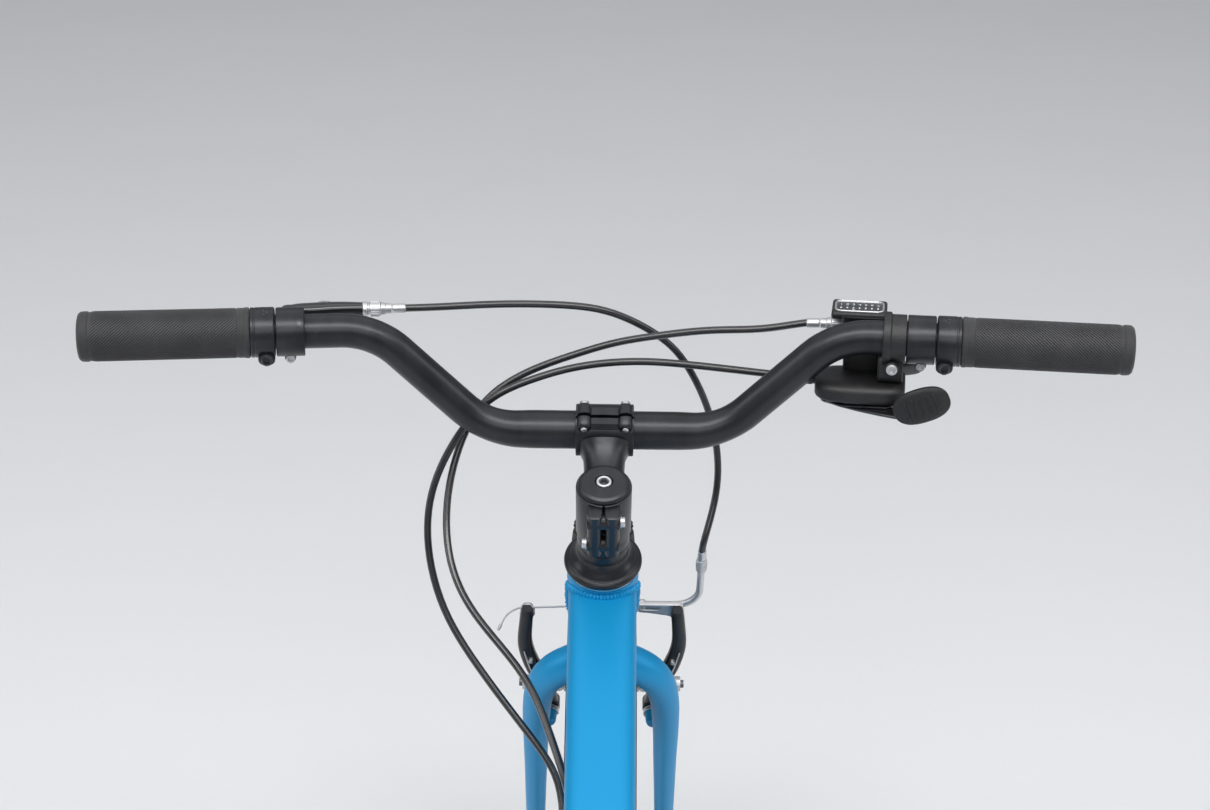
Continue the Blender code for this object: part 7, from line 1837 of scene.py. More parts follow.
def make_rails():
    y, low, high, half = rail_centre().y, RAIL_HEIGHT, 0.705 - 0.0035 - 0.0006, 0.022
    side = [(half + 0.016, -0.296, high), (half + 0.012, -0.281, high - 0.002),
            (half, y - 0.05, low), (half, y + 0.045, low), (half - 0.009, y + 0.085, high - 0.002),
            (half - 0.012, -0.106, high)]
    corners = side + [(-x, place, z) for x, place, z in reversed(side)]
    rails = Form("seat_rails", "bright_steel", "moulded_black")
    rails.tube(rounded_path(corners, 0.007, 0.12), 0.0035, 0, 28)
    rails.ride("seat", "dark_steel", "saddle_rails")


def half_width(share):
    """The saddle's half width from its rear, at 0, to its nose, at 1."""
    slope = min(1, max(0, (share - 0.16) / 0.5))
    narrowing = slope * slope * (3 - 2 * slope)
    width = 0.072 - 0.052 * narrowing
    end = min(share / 0.14, (1 - share) / 0.09, 1)
    return width * sqrt(max(0.0, 1 - (1 - end) ** 2))


def saddle_shares(count, first=0.012):
    return [0.5 - (0.5 - first) * cos(pi * k / count) for k in range(count + 1)]


def make_saddle():
    make_saddle_shell()
    stitch(make_cushion())


def make_saddle_shell():
    shell = Form("saddle_shell", "moulded_black", "bright_steel")
    rows = []
    for share in saddle_shares(40):
        half = max(0.004, half_width(share) - 0.0025)
        rows.append(oval(Vector((0, SADDLE_REAR + share * SADDLE_LENGTH, 0.708)), half * X,
                         0.003 * Z, 5, 48))
    shell.skin(rows, 0)
    for x, y, long in ((0, -0.26, 0.1), (0.03, -0.285, 0.05), (-0.03, -0.285, 0.05)):
        shell.block(Matrix.Translation((x, y, 0.7046)), (0.0022, long, 0.002), 0.0008)
    for side in (-1, 1):
        shell.block(Matrix.Translation((side * 0.037, -0.297, 0.7035)), (0.014, 0.02, 0.004),
                    0.0015)
    shell.block(Matrix.Translation((0, -0.108, 0.703)), (0.028, 0.018, 0.004), 0.0015)
    shell.ride("seat", "black_plastic", "saddle_base")


def make_cushion():
    """The padded cushion, with its channel and its two seams pressed in."""
    cushion = Form("saddle_cushion", "saddle_cover")
    bottom, count, rows = 0.7113, 72, []
    for share in saddle_shares(56, 0.01):
        half = half_width(share)
        rise = 0.027 * (0.8 + 0.2 * cos(pi * min(1, share / 0.55)) ** 2)
        rise *= 0.55 + 0.45 * sqrt(min(1, half / 0.02))
        row = []
        for index in range(count):
            angle = TAU * (index + 0.5) / count
            c, s = cos(angle), sin(angle)
            x = half * math.copysign(abs(c) ** 0.75, c)
            if s > 0:
                z = bottom + rise * (0.3 + 0.7 * s ** 0.8)
            elif s > -0.25:
                z = bottom + 0.3 * rise * (1 + s / 0.25)
                x *= 1 + 0.016 * sin(pi * (s + 0.25) / 0.25)
            else:
                z, x = bottom, x * 0.965
            channel = 0.0042 * math.exp(-(x / 0.0085) ** 2) * (s > 0) * min(1, half / 0.05)
            seam = 0.0009 * math.exp(-((abs(x) - 0.74 * half) / 0.0016) ** 2) * (s > 0.1) * min(1,
                half / 0.03)
            row.append(Vector((x, SADDLE_REAR + share * SADDLE_LENGTH, z - channel - seam)))
        rows.append(row)
    cushion.skin(rows, 0)
    made = cushion.object(crease=70)
    fluffed(made)
    settle(made, "seat", "black_rubber", "saddle_pad")
    return made


def stitch(made):
    """Stitches along both sides of the cushion's seams, laid on its surface."""
    one = Form("stitch", "pale_marks")
    one.tube([(0, -0.0013, 0), (0, -0.0007, 0.0003), (0, 0.0007, 0.0003), (0, 0.0013, 0)], 0.00032,
             0, 6)
    seed = one.object()
    lines = []
    for side in (-1, 1):
        for share_across in (0.7, 0.78):
            line = []
            for share in saddle_shares(56, 0.1):
                half = half_width(share)
                x = side * share_across * half
                top = made_height(made, x, SADDLE_REAR + share * SADDLE_LENGTH)
                if top:
                    line.append(top)
            lines.append(line)
    thread = Form("saddle_stitching", "pale_marks")
    mesh = repeated(line_object(lines, False), "copies_along_path", "pale_marks", Spacing=0.004,
                    First=seed, Second=seed, Wobble=0.08, Seed=2)
    discard(seed)
    add_repeat(thread, mesh)
    thread.ride("seat", "black_rubber")


def made_height(made, x, y):
    hit, place, _, _ = made.ray_cast(Vector((x, y, 0.8)), -Z)
    return place + 0.0001 * Z if hit else None


def fluffed(made):
    """The cushion blown up a little as cloth, with its lower rim held where it is glued."""
    lowest = min(v.co.z for v in made.data.vertices)
    sim = made.copy()
    sim.data = made.data.copy()
    bpy.context.scene.collection.objects.link(sim)
    remesh = sim.modifiers.new("even", "REMESH")
    remesh.mode, remesh.voxel_size = "VOXEL", 0.005
    mesh = evaluated(sim)
    sim.modifiers.clear()
    sim.data = mesh
    held = sim.vertex_groups.new(name="glued")
    held.add([v.index for v in mesh.vertices if v.co.z < lowest + 0.0045], 1.0, "ADD")
    cloth = sim.modifiers.new("cloth", "CLOTH")
    rule = cloth.settings
    rule.vertex_group_mass = "glued"
    rule.use_pressure, rule.uniform_pressure_force = True, 4.0
    rule.tension_stiffness, rule.compression_stiffness, rule.bending_stiffness = 40, 40, 6
    rule.quality = 6
    rule.effector_weights.gravity = 0
    cloth.point_cache.frame_start, cloth.point_cache.frame_end = 1, 20
    scene = bpy.context.scene
    before = [v.co.copy() for v in mesh.vertices]
    for number in range(1, 21):
        scene.frame_set(number)
    after = evaluated(sim)
    moved = [a.co - b for a, b in zip(after.vertices, before)]
    largest = max(m.length for m in moved)
    limit = 0.006
    tree = BVHTree.FromPolygons(before, [tuple(p.vertices) for p in mesh.polygons])
    for vertex in made.data.vertices:
        _, _, face, _ = tree.find_nearest(vertex.co)
        corners = mesh.polygons[face].vertices
        weights = [1 / (1e-6 + (before[i] - vertex.co).length) for i in corners]
        step = sum((w * moved[i] for w, i in zip(weights, corners)), Vector()) / sum(weights)
        if vertex.co.z > lowest + 0.003:
            vertex.co += step * min(1, limit / max(step.length, 1e-9))
    scene.frame_set(1)
    print("cushion moved at most", round(largest * 1000, 2), "mm")
    discard(sim)
    bpy.data.meshes.remove(after)


# Wheels

def tyre_knobs():
    """The tread's blocks over one pitch, at the top of the frame's X axis."""
    tall = settings().knob_height
    form = Form("knobs", "tyre_tread")

    def knob(tangent, across, long, wide, height=1.0):
        angle = math.asin(min(1, abs(across) / TYRE_WIDE))
        radius = TYRE_RING + TYRE_TALL * cos(angle)
        lean = atan2(sin(angle) / TYRE_WIDE, cos(angle) / TYRE_TALL) * (1 if across > 0 else -1)
        turn = Matrix.Rotation(-lean, 4, "Y")
        place = Matrix.Translation((radius, tangent, across)) @ turn @ Matrix.Translation((tall
                * height / 2 - 0.0005, 0, 0))
        form.block(place, (tall * height + 0.0008, long, wide), 0.0008, segments=1)
    for tangent, across, long, wide, height in ((-0.0066, 0.0048, 0.0094, 0.0074, 1),
            (-0.0066, -0.0048, 0.0094, 0.0074, 1), (0.0066, 0, 0.0066, 0.014, 1),
            (0.006, 0.0135, 0.009, 0.0064, 0.96), (0.006, -0.0135, 0.009, 0.0064, 0.96),
            (-0.007, 0.0192, 0.0104, 0.006, 0.9), (-0.007, -0.0192, 0.0104, 0.006, 0.9),
            (0.0066, 0.0222, 0.006, 0.0044, 0.6), (0.0066, -0.0222, 0.006, 0.0044, 0.6)):
        knob(tangent, across, long, wide, height)
    return form.object()


def make_tyre(prefix, centre, body):
    form = Form(f"{prefix}_tyre_body", "tyre_wall", "tyre_tread")
    outer = [(TYRE_RING + TYRE_TALL * cos(radians(a)), TYRE_WIDE * sin(radians(a)))
             for a in range(-118, 119, 4)]
    foot = [(0.259, -0.0108), (0.2612, -0.0118), (0.2618, -0.0136), (0.2632, -0.016)]
    profile = foot + outer + [(radius, -x) for radius, x in reversed(foot)]
    form.turned(profile, wheel_axis(centre), 0, 160, 0, True)
    for side in (-1, 1):
        for radius, x in ((0.2668, 0.0213), (0.2725, 0.025)):
            form.turned([(radius - 0.001, side * (x - 0.0012)),
                         (radius - 0.0004, side * (x + 0.0004)),
                         (radius + 0.0004, side * (x + 0.0004)),
                         (radius + 0.001, side * (x - 0.0012))], wheel_axis(centre), 0, 160, 0,
                        True)
    add_round(form, tyre_knobs(), "tyre_tread", settings().knob_count, wheel_axis(centre), 5)
    form.ride(body, "tyre_rubber", f"{prefix}_tyre", crease=40)


def make_rim(prefix, centre, body):
    form = Form(f"{prefix}_wheel_rim", "rim_black", "brake_track", "bright_steel", "moulded_black")
    at = wheel_axis(centre)
    r, w = RIM_RADIUS, 0.0125
    form.turned([(r, -w), (r, -w + 0.0016), (r - 0.0066, -w + 0.0022), (r - 0.0078, -0.006),
                 (r - 0.01, -0.003), (r - 0.01, 0.003), (r - 0.0078, 0.006),
                 (r - 0.0066, w - 0.0022), (r, w - 0.0016), (r, w), (r - 0.013, w - 0.0006),
                 (r - 0.0168, w - 0.0062), (r - 0.0175, w - 0.009), (r - 0.0175, -w + 0.009),
                 (r - 0.0168, -w + 0.0062), (r - 0.013, -w + 0.0006)], at, 0, 160, 0.0007, True)
    for side in (-1, 1):
        form.turned([(r - 0.012, side * (w - 0.0008)), (r - 0.0118, side * (w - 0.0001)),
                     (r - 0.0015, side * (w + 0.00035)), (r - 0.0013, side * (w - 0.0008))], at, 1,
                    160, 0, True)
    angle = radians(200)
    foot = at @ Vector(((r - 0.018) * cos(angle), (r - 0.018) * sin(angle), 0))
    inward = (centre - foot).normalized()
    form.turned([(0, -0.003), (0.0046, -0.003), (0.0046, 0.0006), (0.0038, 0.002), (0.0036, 0.016),
                 (0.003, 0.02), (0, 0.02)], aimed(foot, inward), 3, 32, 0.0004)
    form.turned([(0, 0.0198), (0.0037, 0.02), (0.0039, 0.0205), (0.0039, 0.0292), (0.0032, 0.0302),
                 (0, 0.0302)], aimed(foot, inward), 3, 24, 0.0003)
    form.ride(body, "black_anodised", f"{prefix}_rim")


def make_hub(prefix, centre, body, left, right, flange, start, stop):
    form = Form(f"{prefix}_hub_shell", "bright_steel", "black_alloy", "brushed_alloy")
    at = wheel_axis(centre)
    half, shell = 0.0021, 0.0145
    form.turned([(shell - 0.0015, start), (shell, start + 0.002), (shell, left - half - 0.002),
                 (flange - 0.004, left - half - 0.0004), (flange, left - half),
                 (flange, left + half), (flange - 0.004, left + half + 0.0004),
                 (shell + 0.0008, left + half + 0.004), (shell - 0.0012, left + half + 0.012),
                 (shell - 0.0012, right - half - 0.012), (shell + 0.0008, right - half - 0.004),
                 (flange - 0.004, right - half - 0.0004), (flange, right - half),
                 (flange, right + half), (flange - 0.004, right + half + 0.0004),
                 (shell, right + half + 0.002), (shell, stop - 0.002), (shell - 0.0015, stop),
                 (0.0056, stop), (0.0056, start)], at, 1, 72, 0.0005, True)
    step, lean, offset = TAU / 10, radians(62), 0.0012
    rim_inner = (RIM_RADIUS - 0.0175) - 0.0004
    root = flange - 0.003
    group = Form("spokes", "bright_steel")
    for side, flange_x in ((-1, left), (1, right)):
        for index in range(2):
            way = 1 if index % 2 else -1
            angle = (index + 0.5) * step

            def place(x, radius, turn):
                return Vector((radius * cos(turn), radius * sin(turn), x))
            bend = place(flange_x + way * (half + 0.0009), root, angle)
            end = place(side * 0.002 + way * offset, rim_inner,
                        angle + way * lean + side * step / 4)
            head = place(flange_x - way * (half + 0.001), root, angle)
            line = (end - bend).normalized()
            path = [head, bend - 0.0006 * way * Z, bend + 0.0012 * line, bend + 0.02 * line]
            path += [bend.lerp(end, k / 6) for k in range(1, 7)]
            group.tube(path, settings().spoke, 0, 8)
            group.turned([(0, -0.0006), (0.0018, -0.0004), (0.0018, 0.0003), (0, 0.0006)],
                         aimed(head, Z), 0, 10, 0)
            group.turned([(0, -0.014), (0.0016, -0.014), (0.002, -0.012), (0.002, 0.001),
                          (0, 0.001)], aimed(end, line), 0, 10, 0)
    add_round(form, group.object(), "bright_steel", 5, at)
    form.ride(body, "dark_steel", f"{prefix}_hub")


def make_axle(name, centre, dropout, body):
    form = Form(name.replace("_axle", "_spindle"), "dark_steel", "bright_steel")
    inside, outside = dropout - 0.0003, dropout + 0.0053
    end = outside + 0.012
    r = 0.0047
    thread = []
    for k in range(22):
        x = outside - 0.002 + k * 0.00068
        thread += [(r, x), (r - 0.0005, x + 0.00034)]
    for side in (-1, 1):
        at = aimed(centre, side * X)
        form.turned([(0, 0), (r - 0.0004, 0), (r - 0.0004, outside - 0.003), *thread,
                     (r - 0.0008, end - 0.0001), (0, end)], at, 0, 32, 0)
        form.disc(centre, side * X, 0.0098, outside, outside + 0.0012, 1, 40, 0.0003)
        form.nut(centre + side * (outside + 0.0012) * X, side * X, 0.0085, 0.0078, 1)
        form.nut(centre + side * (inside - 0.004) * X, side * X, 0.0084, 0.0038, 1)
        form.disc(centre + side * (inside - 0.0056) * X, side * X, 0.0072, 0, 0.001, 0, 32)
    form.ride(body, "dark_steel", name)


def cog_x(index):
    return CHAINLINE + (index - ACTIVE_COG) * 0.005


def make_front_wheel():
    make_tyre("front", FRONT_AXLE, "front_wheel")
    make_rim("front", FRONT_AXLE, "front_wheel")
    make_hub("front", FRONT_AXLE, "front_wheel", -0.031, 0.031, 0.02, -0.041, 0.041)
    make_axle("front_axle", FRONT_AXLE, 0.05, "steering")


def make_rear_wheel():
    make_tyre("rear", REAR_AXLE, "rear_wheel")
    make_rim("rear", REAR_AXLE, "rear_wheel")
    make_hub("rear", REAR_AXLE, "rear_wheel", -0.033, 0.018, 0.026, -0.058, cog_x(0) - 0.0048)
    make_axle("rear_axle", REAR_AXLE, DROPOUT, "frame")


# Drivetrain

def pitch_radius(teeth):
    return CHAIN_PITCH / (2 * sin(pi / teeth))


def toothed(teeth, turn=0.0, tip=0.0028, root=-0.004):
    """A toothed wheel's outline with a gap's middle at the angle turn."""
    radius, outline = pitch_radius(teeth), []
    for tooth in range(teeth):
        for share, height in ((0, 0), (0.13, 0.06), (0.23, 0.28), (0.33, 0.62), (0.43, 0.95),
                (0.5, 1), (0.57, 0.95), (0.67, 0.62), (0.77, 0.28), (0.87, 0.06)):
            angle = turn + TAU * (tooth + share) / teeth
            size = radius + root + (tip - root) * height
            outline.append((size * cos(angle), size * sin(angle)))
    return outline


def ring_line(radius, count=48, y=0.0, z=0.0):
    return [(y + radius * cos(TAU * k / count), z + radius * sin(TAU * k / count))
            for k in range(count)]


def chain_path():
    """The chain's pins, evenly spaced on their way round the cog, the pulleys and the chainring."""
    pulley = pitch_radius(PULLEY_TEETH)
    wheels = [(REAR_AXLE.y, REAR_AXLE.z, pitch_radius(COGS[ACTIVE_COG]), 1),
              (GUIDE.y, GUIDE.z, pulley, -1), (TENSION.y, TENSION.z, pulley, 1),
              (BB.y, BB.z, pitch_radius(RING_TEETH), 1)]
    leaving, dense = [], []
    for index, (y1, z1, r1, turn1) in enumerate(wheels):
        y2, z2, r2, turn2 = wheels[(index + 1) % 4]
        distance = hypot(y2 - y1, z2 - z1)
        leaving.append(atan2(z2 - z1, y2 - y1) - math.asin((turn2 * r2 - turn1 * r1) / distance))
    for index, (y, z, radius, turn) in enumerate(wheels):
        start, end = leaving[index - 1], leaving[index]
        sweep = (end - start) % TAU if turn > 0 else -((start - end) % TAU)
        for part in range(33):
            heading = start + sweep * part / 32
            dense.append(Vector((CHAINLINE, y + turn * radius * sin(heading),
                                    z - turn * radius * cos(heading))))
    lengths = [(b - a).length for a, b in zip(dense, dense[1:] + dense[:1])]
    total = sum(lengths)
    count = 2 * round(total / CHAIN_PITCH / 2)
    pins, travelled, index = [], 0.0, 0
    for number in range(count):
        wanted = total * number / count
        while travelled + lengths[index] < wanted:
            travelled += lengths[index]
            index += 1
        share = (wanted - travelled) / lengths[index]
        pins.append(dense[index].lerp(dense[(index + 1) % len(dense)], share))
    return pins


def gap_angle(pins, centre, teeth):
    """The angle of the pin that sits deepest on the wheel, where a gap between teeth belongs."""
    radius = pitch_radius(teeth)
    on = [p for p in pins if abs(hypot(p.y - centre.y, p.z - centre.z) - radius) < 0.0006]
    chosen = on[len(on) // 2]
    return atan2(chosen.z - centre.z, chosen.y - centre.y)


def link(name, half, outer):
    """One link lying along Y: two figure-eight plates, and its pins or its rollers."""
    form = Form(name, "chain_steel")
    outline = []
    for side in (1, -1):
        for k in range(9):
            a = -1.15 + 2.3 * k / 8
            outline.append((side * (half + 0.0041 * cos(a)), side * 0.0041 * sin(a)))
        outline.append((0, side * 0.003))
    for x in ((-0.003, 0.003) if outer else (-0.0021, 0.0021)):
        form.plate([outline], 0.0008, side_frame(x, 0, 0), 0, 0.0002)
    for y in (-half, half):
        if outer:
            form.turned([(0, -0.0037), (0.0016, -0.0037), (0.0018, -0.0034), (0.0018, 0.0034),
                         (0.0016, 0.0037), (0, 0.0037)], side_frame(0, y, 0), 0, 12, 0)
        else:
            form.turned([(0, -0.0016), (0.0036, -0.0016), (0.0038, -0.0012), (0.0038, 0.0012),
                         (0.0036, 0.0016), (0, 0.0016)], side_frame(0, y, 0), 0, 14, 0)
    return form.object()


def make_chain():
    pins = chain_path()
    middles = [(a + b) / 2 for a, b in zip(pins, pins[1:] + pins[:1])]
    spacing = sum((b - a).length for a, b in zip(middles, middles[1:] + middles[:1])) / len(middles)
    first, second = link("outer_link", CHAIN_PITCH / 2, True), link("inner_link", CHAIN_PITCH / 2,
        False)
    mesh = repeated(line_object([middles]), "copies_along_path", "chain_steel",
                    Spacing=spacing * 0.99995, First=first, Second=second, Wobble=0.0, Seed=1)
    discard(first)
    discard(second)
    form = Form("roller_chain", "chain_steel")
    add_repeat(form, mesh)
    form.ride("frame", "dark_steel", "chain")


def make_cassette():
    form = Form("cog_set", "dark_steel", "brushed_alloy", "bright_steel")
    start, end = cog_x(0) - 0.0045, cog_x(len(COGS) - 1) + 0.0015
    at = wheel_axis(REAR_AXLE)
    form.turned([(0.0053, start), (0.0195, start), (0.0195, end), (0.0053, end)], at, 0, 64, 0.0004,
                True)
    form.turned([(0.0056, end - 0.0002), (0.0185, end - 0.0002), (0.0185, end + 0.0003),
                 (0.016, end + 0.0007), (0.0056, end + 0.0006)], at, 2, 64, 0.0001, True)
    pins = chain_path()
    for index, teeth in enumerate(COGS):
        turn = gap_angle(pins, REAR_AXLE, teeth) if index == ACTIVE_COG else 0.11 * index
        radius = pitch_radius(teeth)
        holes = [ring_line(0.0188, 48)]
        if radius > 0.036:
            lobes = 8 if teeth > 24 else 6
            for k in range(lobes):
                a = TAU * (k + 0.5) / lobes
                middle = (radius - 0.006 + 0.0215) / 2
                holes.append(ring_line((radius - 0.0075 - 0.0215) / 2 * 0.86, 20, middle * cos(a),
                                 middle * sin(a)))
        form.plate([toothed(teeth, turn, 0.0024)] + holes, 0.0018,
                   side_frame(cog_x(index), REAR_AXLE.y, REAR_AXLE.z), 1, 0.00025)
    form.ride("cassette", "dark_steel", "cassette")


def add_spider(form):
    """The axle, its sleeve and the four arms that the chainring is bolted to."""
    form.rod((-(CRANK_X + CRANK_WIDTH - 0.001), BB.y, BB.z), (CRANK_X + 0.004, BB.y, BB.z), 0.0084,
             finish=2, sides=48)
    low = CHAINLINE + 0.0012 + 0.0003
    form.turned([(0.0084, low), (0.019, low), (0.0196, low + 0.002), (0.019, low + 0.011),
                 (0.0084, low + 0.0125)], wheel_axis(BB), 0, 64, 0.0005, True)
    for index in range(4):
        angle = pi / 4 + index * pi / 2
        direction = Vector((0, cos(angle), sin(angle)))
        aside = X.cross(direction)
        rows = []
        for reach, wide, thick, lift in ((0.012, 0.0095, 0.0034, 0.005),
                (0.022, 0.008, 0.0028, 0.0034), (0.034, 0.0062, 0.0022, 0.0022),
                (0.044, 0.006, 0.002, 0.002), (0.0505, 0.0062, 0.002, 0.002),
                (0.053, 0.0038, 0.0018, 0.002)):
            rows.append(oval(BB + reach * direction + (low + lift) * X, thick * X, wide * aside,
                             3.0, 28))
        form.skin(rows, 0)
        form.bolt(BB + 0.0485 * direction + (low + 0.0038) * X, X, 0.0044, 0.0022, 1)


def make_cranks():
    for side, name in ((1, "right"), (-1, "left")):
        form = Form(f"crank_arm_{name}", "black_alloy", "bright_steel", "dark_steel")
        x = side * (CRANK_X + CRANK_WIDTH / 2)
        eye = BB + Vector((0, side * CRANK_LENGTH, 0))
        stations = ((-0.018, 0.006, 0.8), (-0.0165, 0.011, 0.94), (-0.011, 0.015, 1.0),
                    (0.0, 0.0168, 1.0), (0.02, 0.0145, 0.95), (0.05, 0.0122, 0.88),
                    (CRANK_LENGTH / 2, 0.0115, 0.85), (CRANK_LENGTH - 0.03, 0.0116, 0.85),
                    (CRANK_LENGTH - 0.012, 0.0128, 0.86), (CRANK_LENGTH, 0.0135, 0.9),
                    (CRANK_LENGTH + 0.009, 0.0108, 0.88), (CRANK_LENGTH + 0.013, 0.006, 0.8))
        places, halves, deeps = curved([BB + Vector((x, side * s, 0)) for s, _, _ in stations], 5,
            [h for _, h, _ in stations], [d for *_, d in stations])
        form.skin([oval(p, CRANK_WIDTH / 2 * d * X, h * Z, 3.2, 44)
                   for p, h, d in zip(places, halves, deeps)], 0)
        face = BB + Vector((side * (CRANK_X + CRANK_WIDTH), 0, 0))
        form.turned([(0, 0), (0.01, 0), (0.01, 0.0008), (0, 0.0012)],
                    aimed(face - side * 0.0004 * X, side * X), 0, 44, 0.0003)
        form.bolt(face + side * 0.0003 * X, side * X, 0.0075, 0.0007, 1)
        out = eye + (x + side * CRANK_WIDTH * 0.45 - eye.x) * X
        form.disc(out, side * X, 0.0088, 0, 0.0012, 1, 32)
        form.turned([(0, 0), (0.0062, 0), (0.0062, 0.004), (0.0045, 0.006), (0.0042, 0.09),
                     (0.004, 0.093), (0, 0.0935)], aimed(out, side * X), 2, 32, 0.0003)
        form.nut(out + side * 0.0012 * X, side * X, 0.0086, 0.0024, 2)
        if side > 0:
            add_spider(form)
        form.ride("crank", "black_anodised", f"crank_{name}")
    make_chainring()


def make_chainring():
    ring = Form("front_chainring", "dark_steel", "bright_steel")
    turn = gap_angle(chain_path(), BB, RING_TEETH)
    ring.plate([toothed(RING_TEETH, turn), ring_line(0.047, 72)], 0.0024,
               side_frame(CHAINLINE, BB.y, BB.z), 0, 0.0004)
    ring.turned([(0.0505, -0.0014), (0.0535, -0.0017), (0.0555, -0.0014), (0.0555, -0.0005),
                 (0.0505, -0.0005)], wheel_axis(BB + CHAINLINE * X), 0, 96, 0.0002, True)
    for index in range(8):
        angle = pi / 4 + index * pi / 4
        direction = Vector((0, cos(angle), sin(angle)))
        place = BB + 0.0545 * direction + (CHAINLINE - 0.0012) * X
        ring.turned([(0, 0), (0.003, 0), (0.0028, 0.0007), (0, 0.0008)], aimed(place, -X), 1, 20,
                    0.0001)
    ring.ride("crank", "dark_steel", "chainring")


def make_pedals():
    for side, name in ((1, "right"), (-1, "left")):
        x = side * (CRANK_X + CRANK_WIDTH + 0.002 + 0.044)
        centre = Vector((x, BB.y + side * CRANK_LENGTH, BB.z))
        form = Form(f"platform_{name}", "moulded_black", "bright_steel")
        flat = frame_of(centre, X, Y, Z)
        outer = [(sx * 0.044, sy * 0.03) for sx, sy in ((-1, -1), (1, -1), (1, 1), (-1, 1))]

        def window(cx, cy, wx, wy):
            return [tuple(p) for p in softened([(cx - wx, cy - wy), (cx + wx, cy - wy),
                            (cx + wx, cy + wy), (cx - wx, cy + wy)], 0.004, True, 3)]
        holes = [window(cx, cy, 0.0158, 0.0072) for cx in (-0.019, 0.019)
                 for cy in (-0.0165, 0.0165)]
        form.plate([[tuple(p) for p in softened(outer, 0.008, True, 5)]] + holes, 0.0176, flat, 0,
                   0.0016)
        form.turned([(0.005, -0.043), (0.0085, -0.043), (0.01, -0.04), (0.01, 0.04),
                     (0.0085, 0.043), (0.005, 0.043)], wheel_axis(centre), 0, 40, 0.0006, True)
        for level in (-1, 1):
            for px, py in [(a, b) for a in (-0.036, -0.0225, -0.0075, 0.0075, 0.0225, 0.036)
                           for b in (-0.0262, 0.0262)] + [(a, b) for a in (-0.04, 0.04)
                    for b in (-0.01, 0.01)]:
                form.turned([(0, 0), (0.0019, 0), (0.0013, 0.0016), (0, 0.0018)],
                            flat @ Matrix.Translation((px, py, level * 0.0086))
                            @ Matrix.Diagonal((1, 1, level, 1)), 0, 12, 0)
        form.bolt(centre + side * 0.0428 * X, side * X, 0.0068, 0.001, 1)
        form.ride(f"pedal_{name}", "black_plastic", f"pedal_{name}")


def make_derailleur():
    make_cage()
    make_jockeys()
    make_mech()


def make_cage():
    direction = (TENSION - GUIDE).normalized()
    length = (TENSION - GUIDE).length
    cage = Form("pulley_cage", "dark_steel", "bright_steel")
    for side in (-1, 1):
        x = side * 0.00545
        flat = frame_of(GUIDE + x * X, direction, X.cross(direction), X)
        outline = [(-0.011, 0.005), (0.004, 0.0108), (length * 0.35, 0.0072), (length * 0.7, 0.007),
                   (length - 0.004, 0.009), (length + 0.0085, 0.0048), (length + 0.0085, -0.0048),
                   (length - 0.004, -0.009), (length * 0.7, -0.007), (length * 0.35, -0.0072),
                   (0.004, -0.0108), (-0.011, -0.005)]
        slots = [[tuple(p) for p in softened([(a, -0.003), (b, -0.003), (b, 0.003), (a, 0.003)],
                      0.0029, True, 4)] for a, b in ((0.0135, 0.0275), (0.0315, length - 0.0135))]
        cage.plate([[tuple(p) for p in softened(outline, 0.006, True, 4)]] + slots, 0.0015, flat, 0,
                   0.0003)
    for centre in (GUIDE, TENSION):
        cage.turned([(0, -0.0072), (0.0042, -0.0072), (0.0042, -0.006), (0.0029, -0.006),
                     (0.0029, 0.0062), (0, 0.0062)], wheel_axis(centre), 1, 24, 0.0002)
        cage.bolt(centre + 0.006 * X, X, 0.0044, 0.0016, 1)
    cage.rod(CAGE_PIVOT - 0.0075 * X, CAGE_PIVOT - 0.0002 * X, 0.0038, finish=1)
    cage.ride("derailleur_cage", "dark_steel", "derailleur_cage")


def make_jockeys():
    pins = chain_path()
    for name, centre in (("guide_pulley", GUIDE), ("tension_pulley", TENSION)):
        wheel = Form(name.replace("_pulley", "_jockey"), "moulded_black", "bright_steel")
        turn = gap_angle(pins, centre, PULLEY_TEETH)
        holes = [ring_line(0.0035, 24)] + [ring_line(0.0022, 14, 0.0092 * cos(TAU * k / 6),
                0.0092 * sin(TAU * k / 6)) for k in range(6)]
        wheel.plate([toothed(PULLEY_TEETH, turn, 0.0022, -0.0042)] + holes, 0.0024,
                    side_frame(CHAINLINE, centre.y, centre.z), 0, 0.0003)
        wheel.turned([(0.0033, -0.003), (0.0058, -0.003), (0.0062, -0.002), (0.0062, 0.002),
                      (0.0058, 0.003), (0.0033, 0.003)], wheel_axis(centre), 1, 32, 0.0002, True)
        wheel.ride(name, "black_plastic", name)


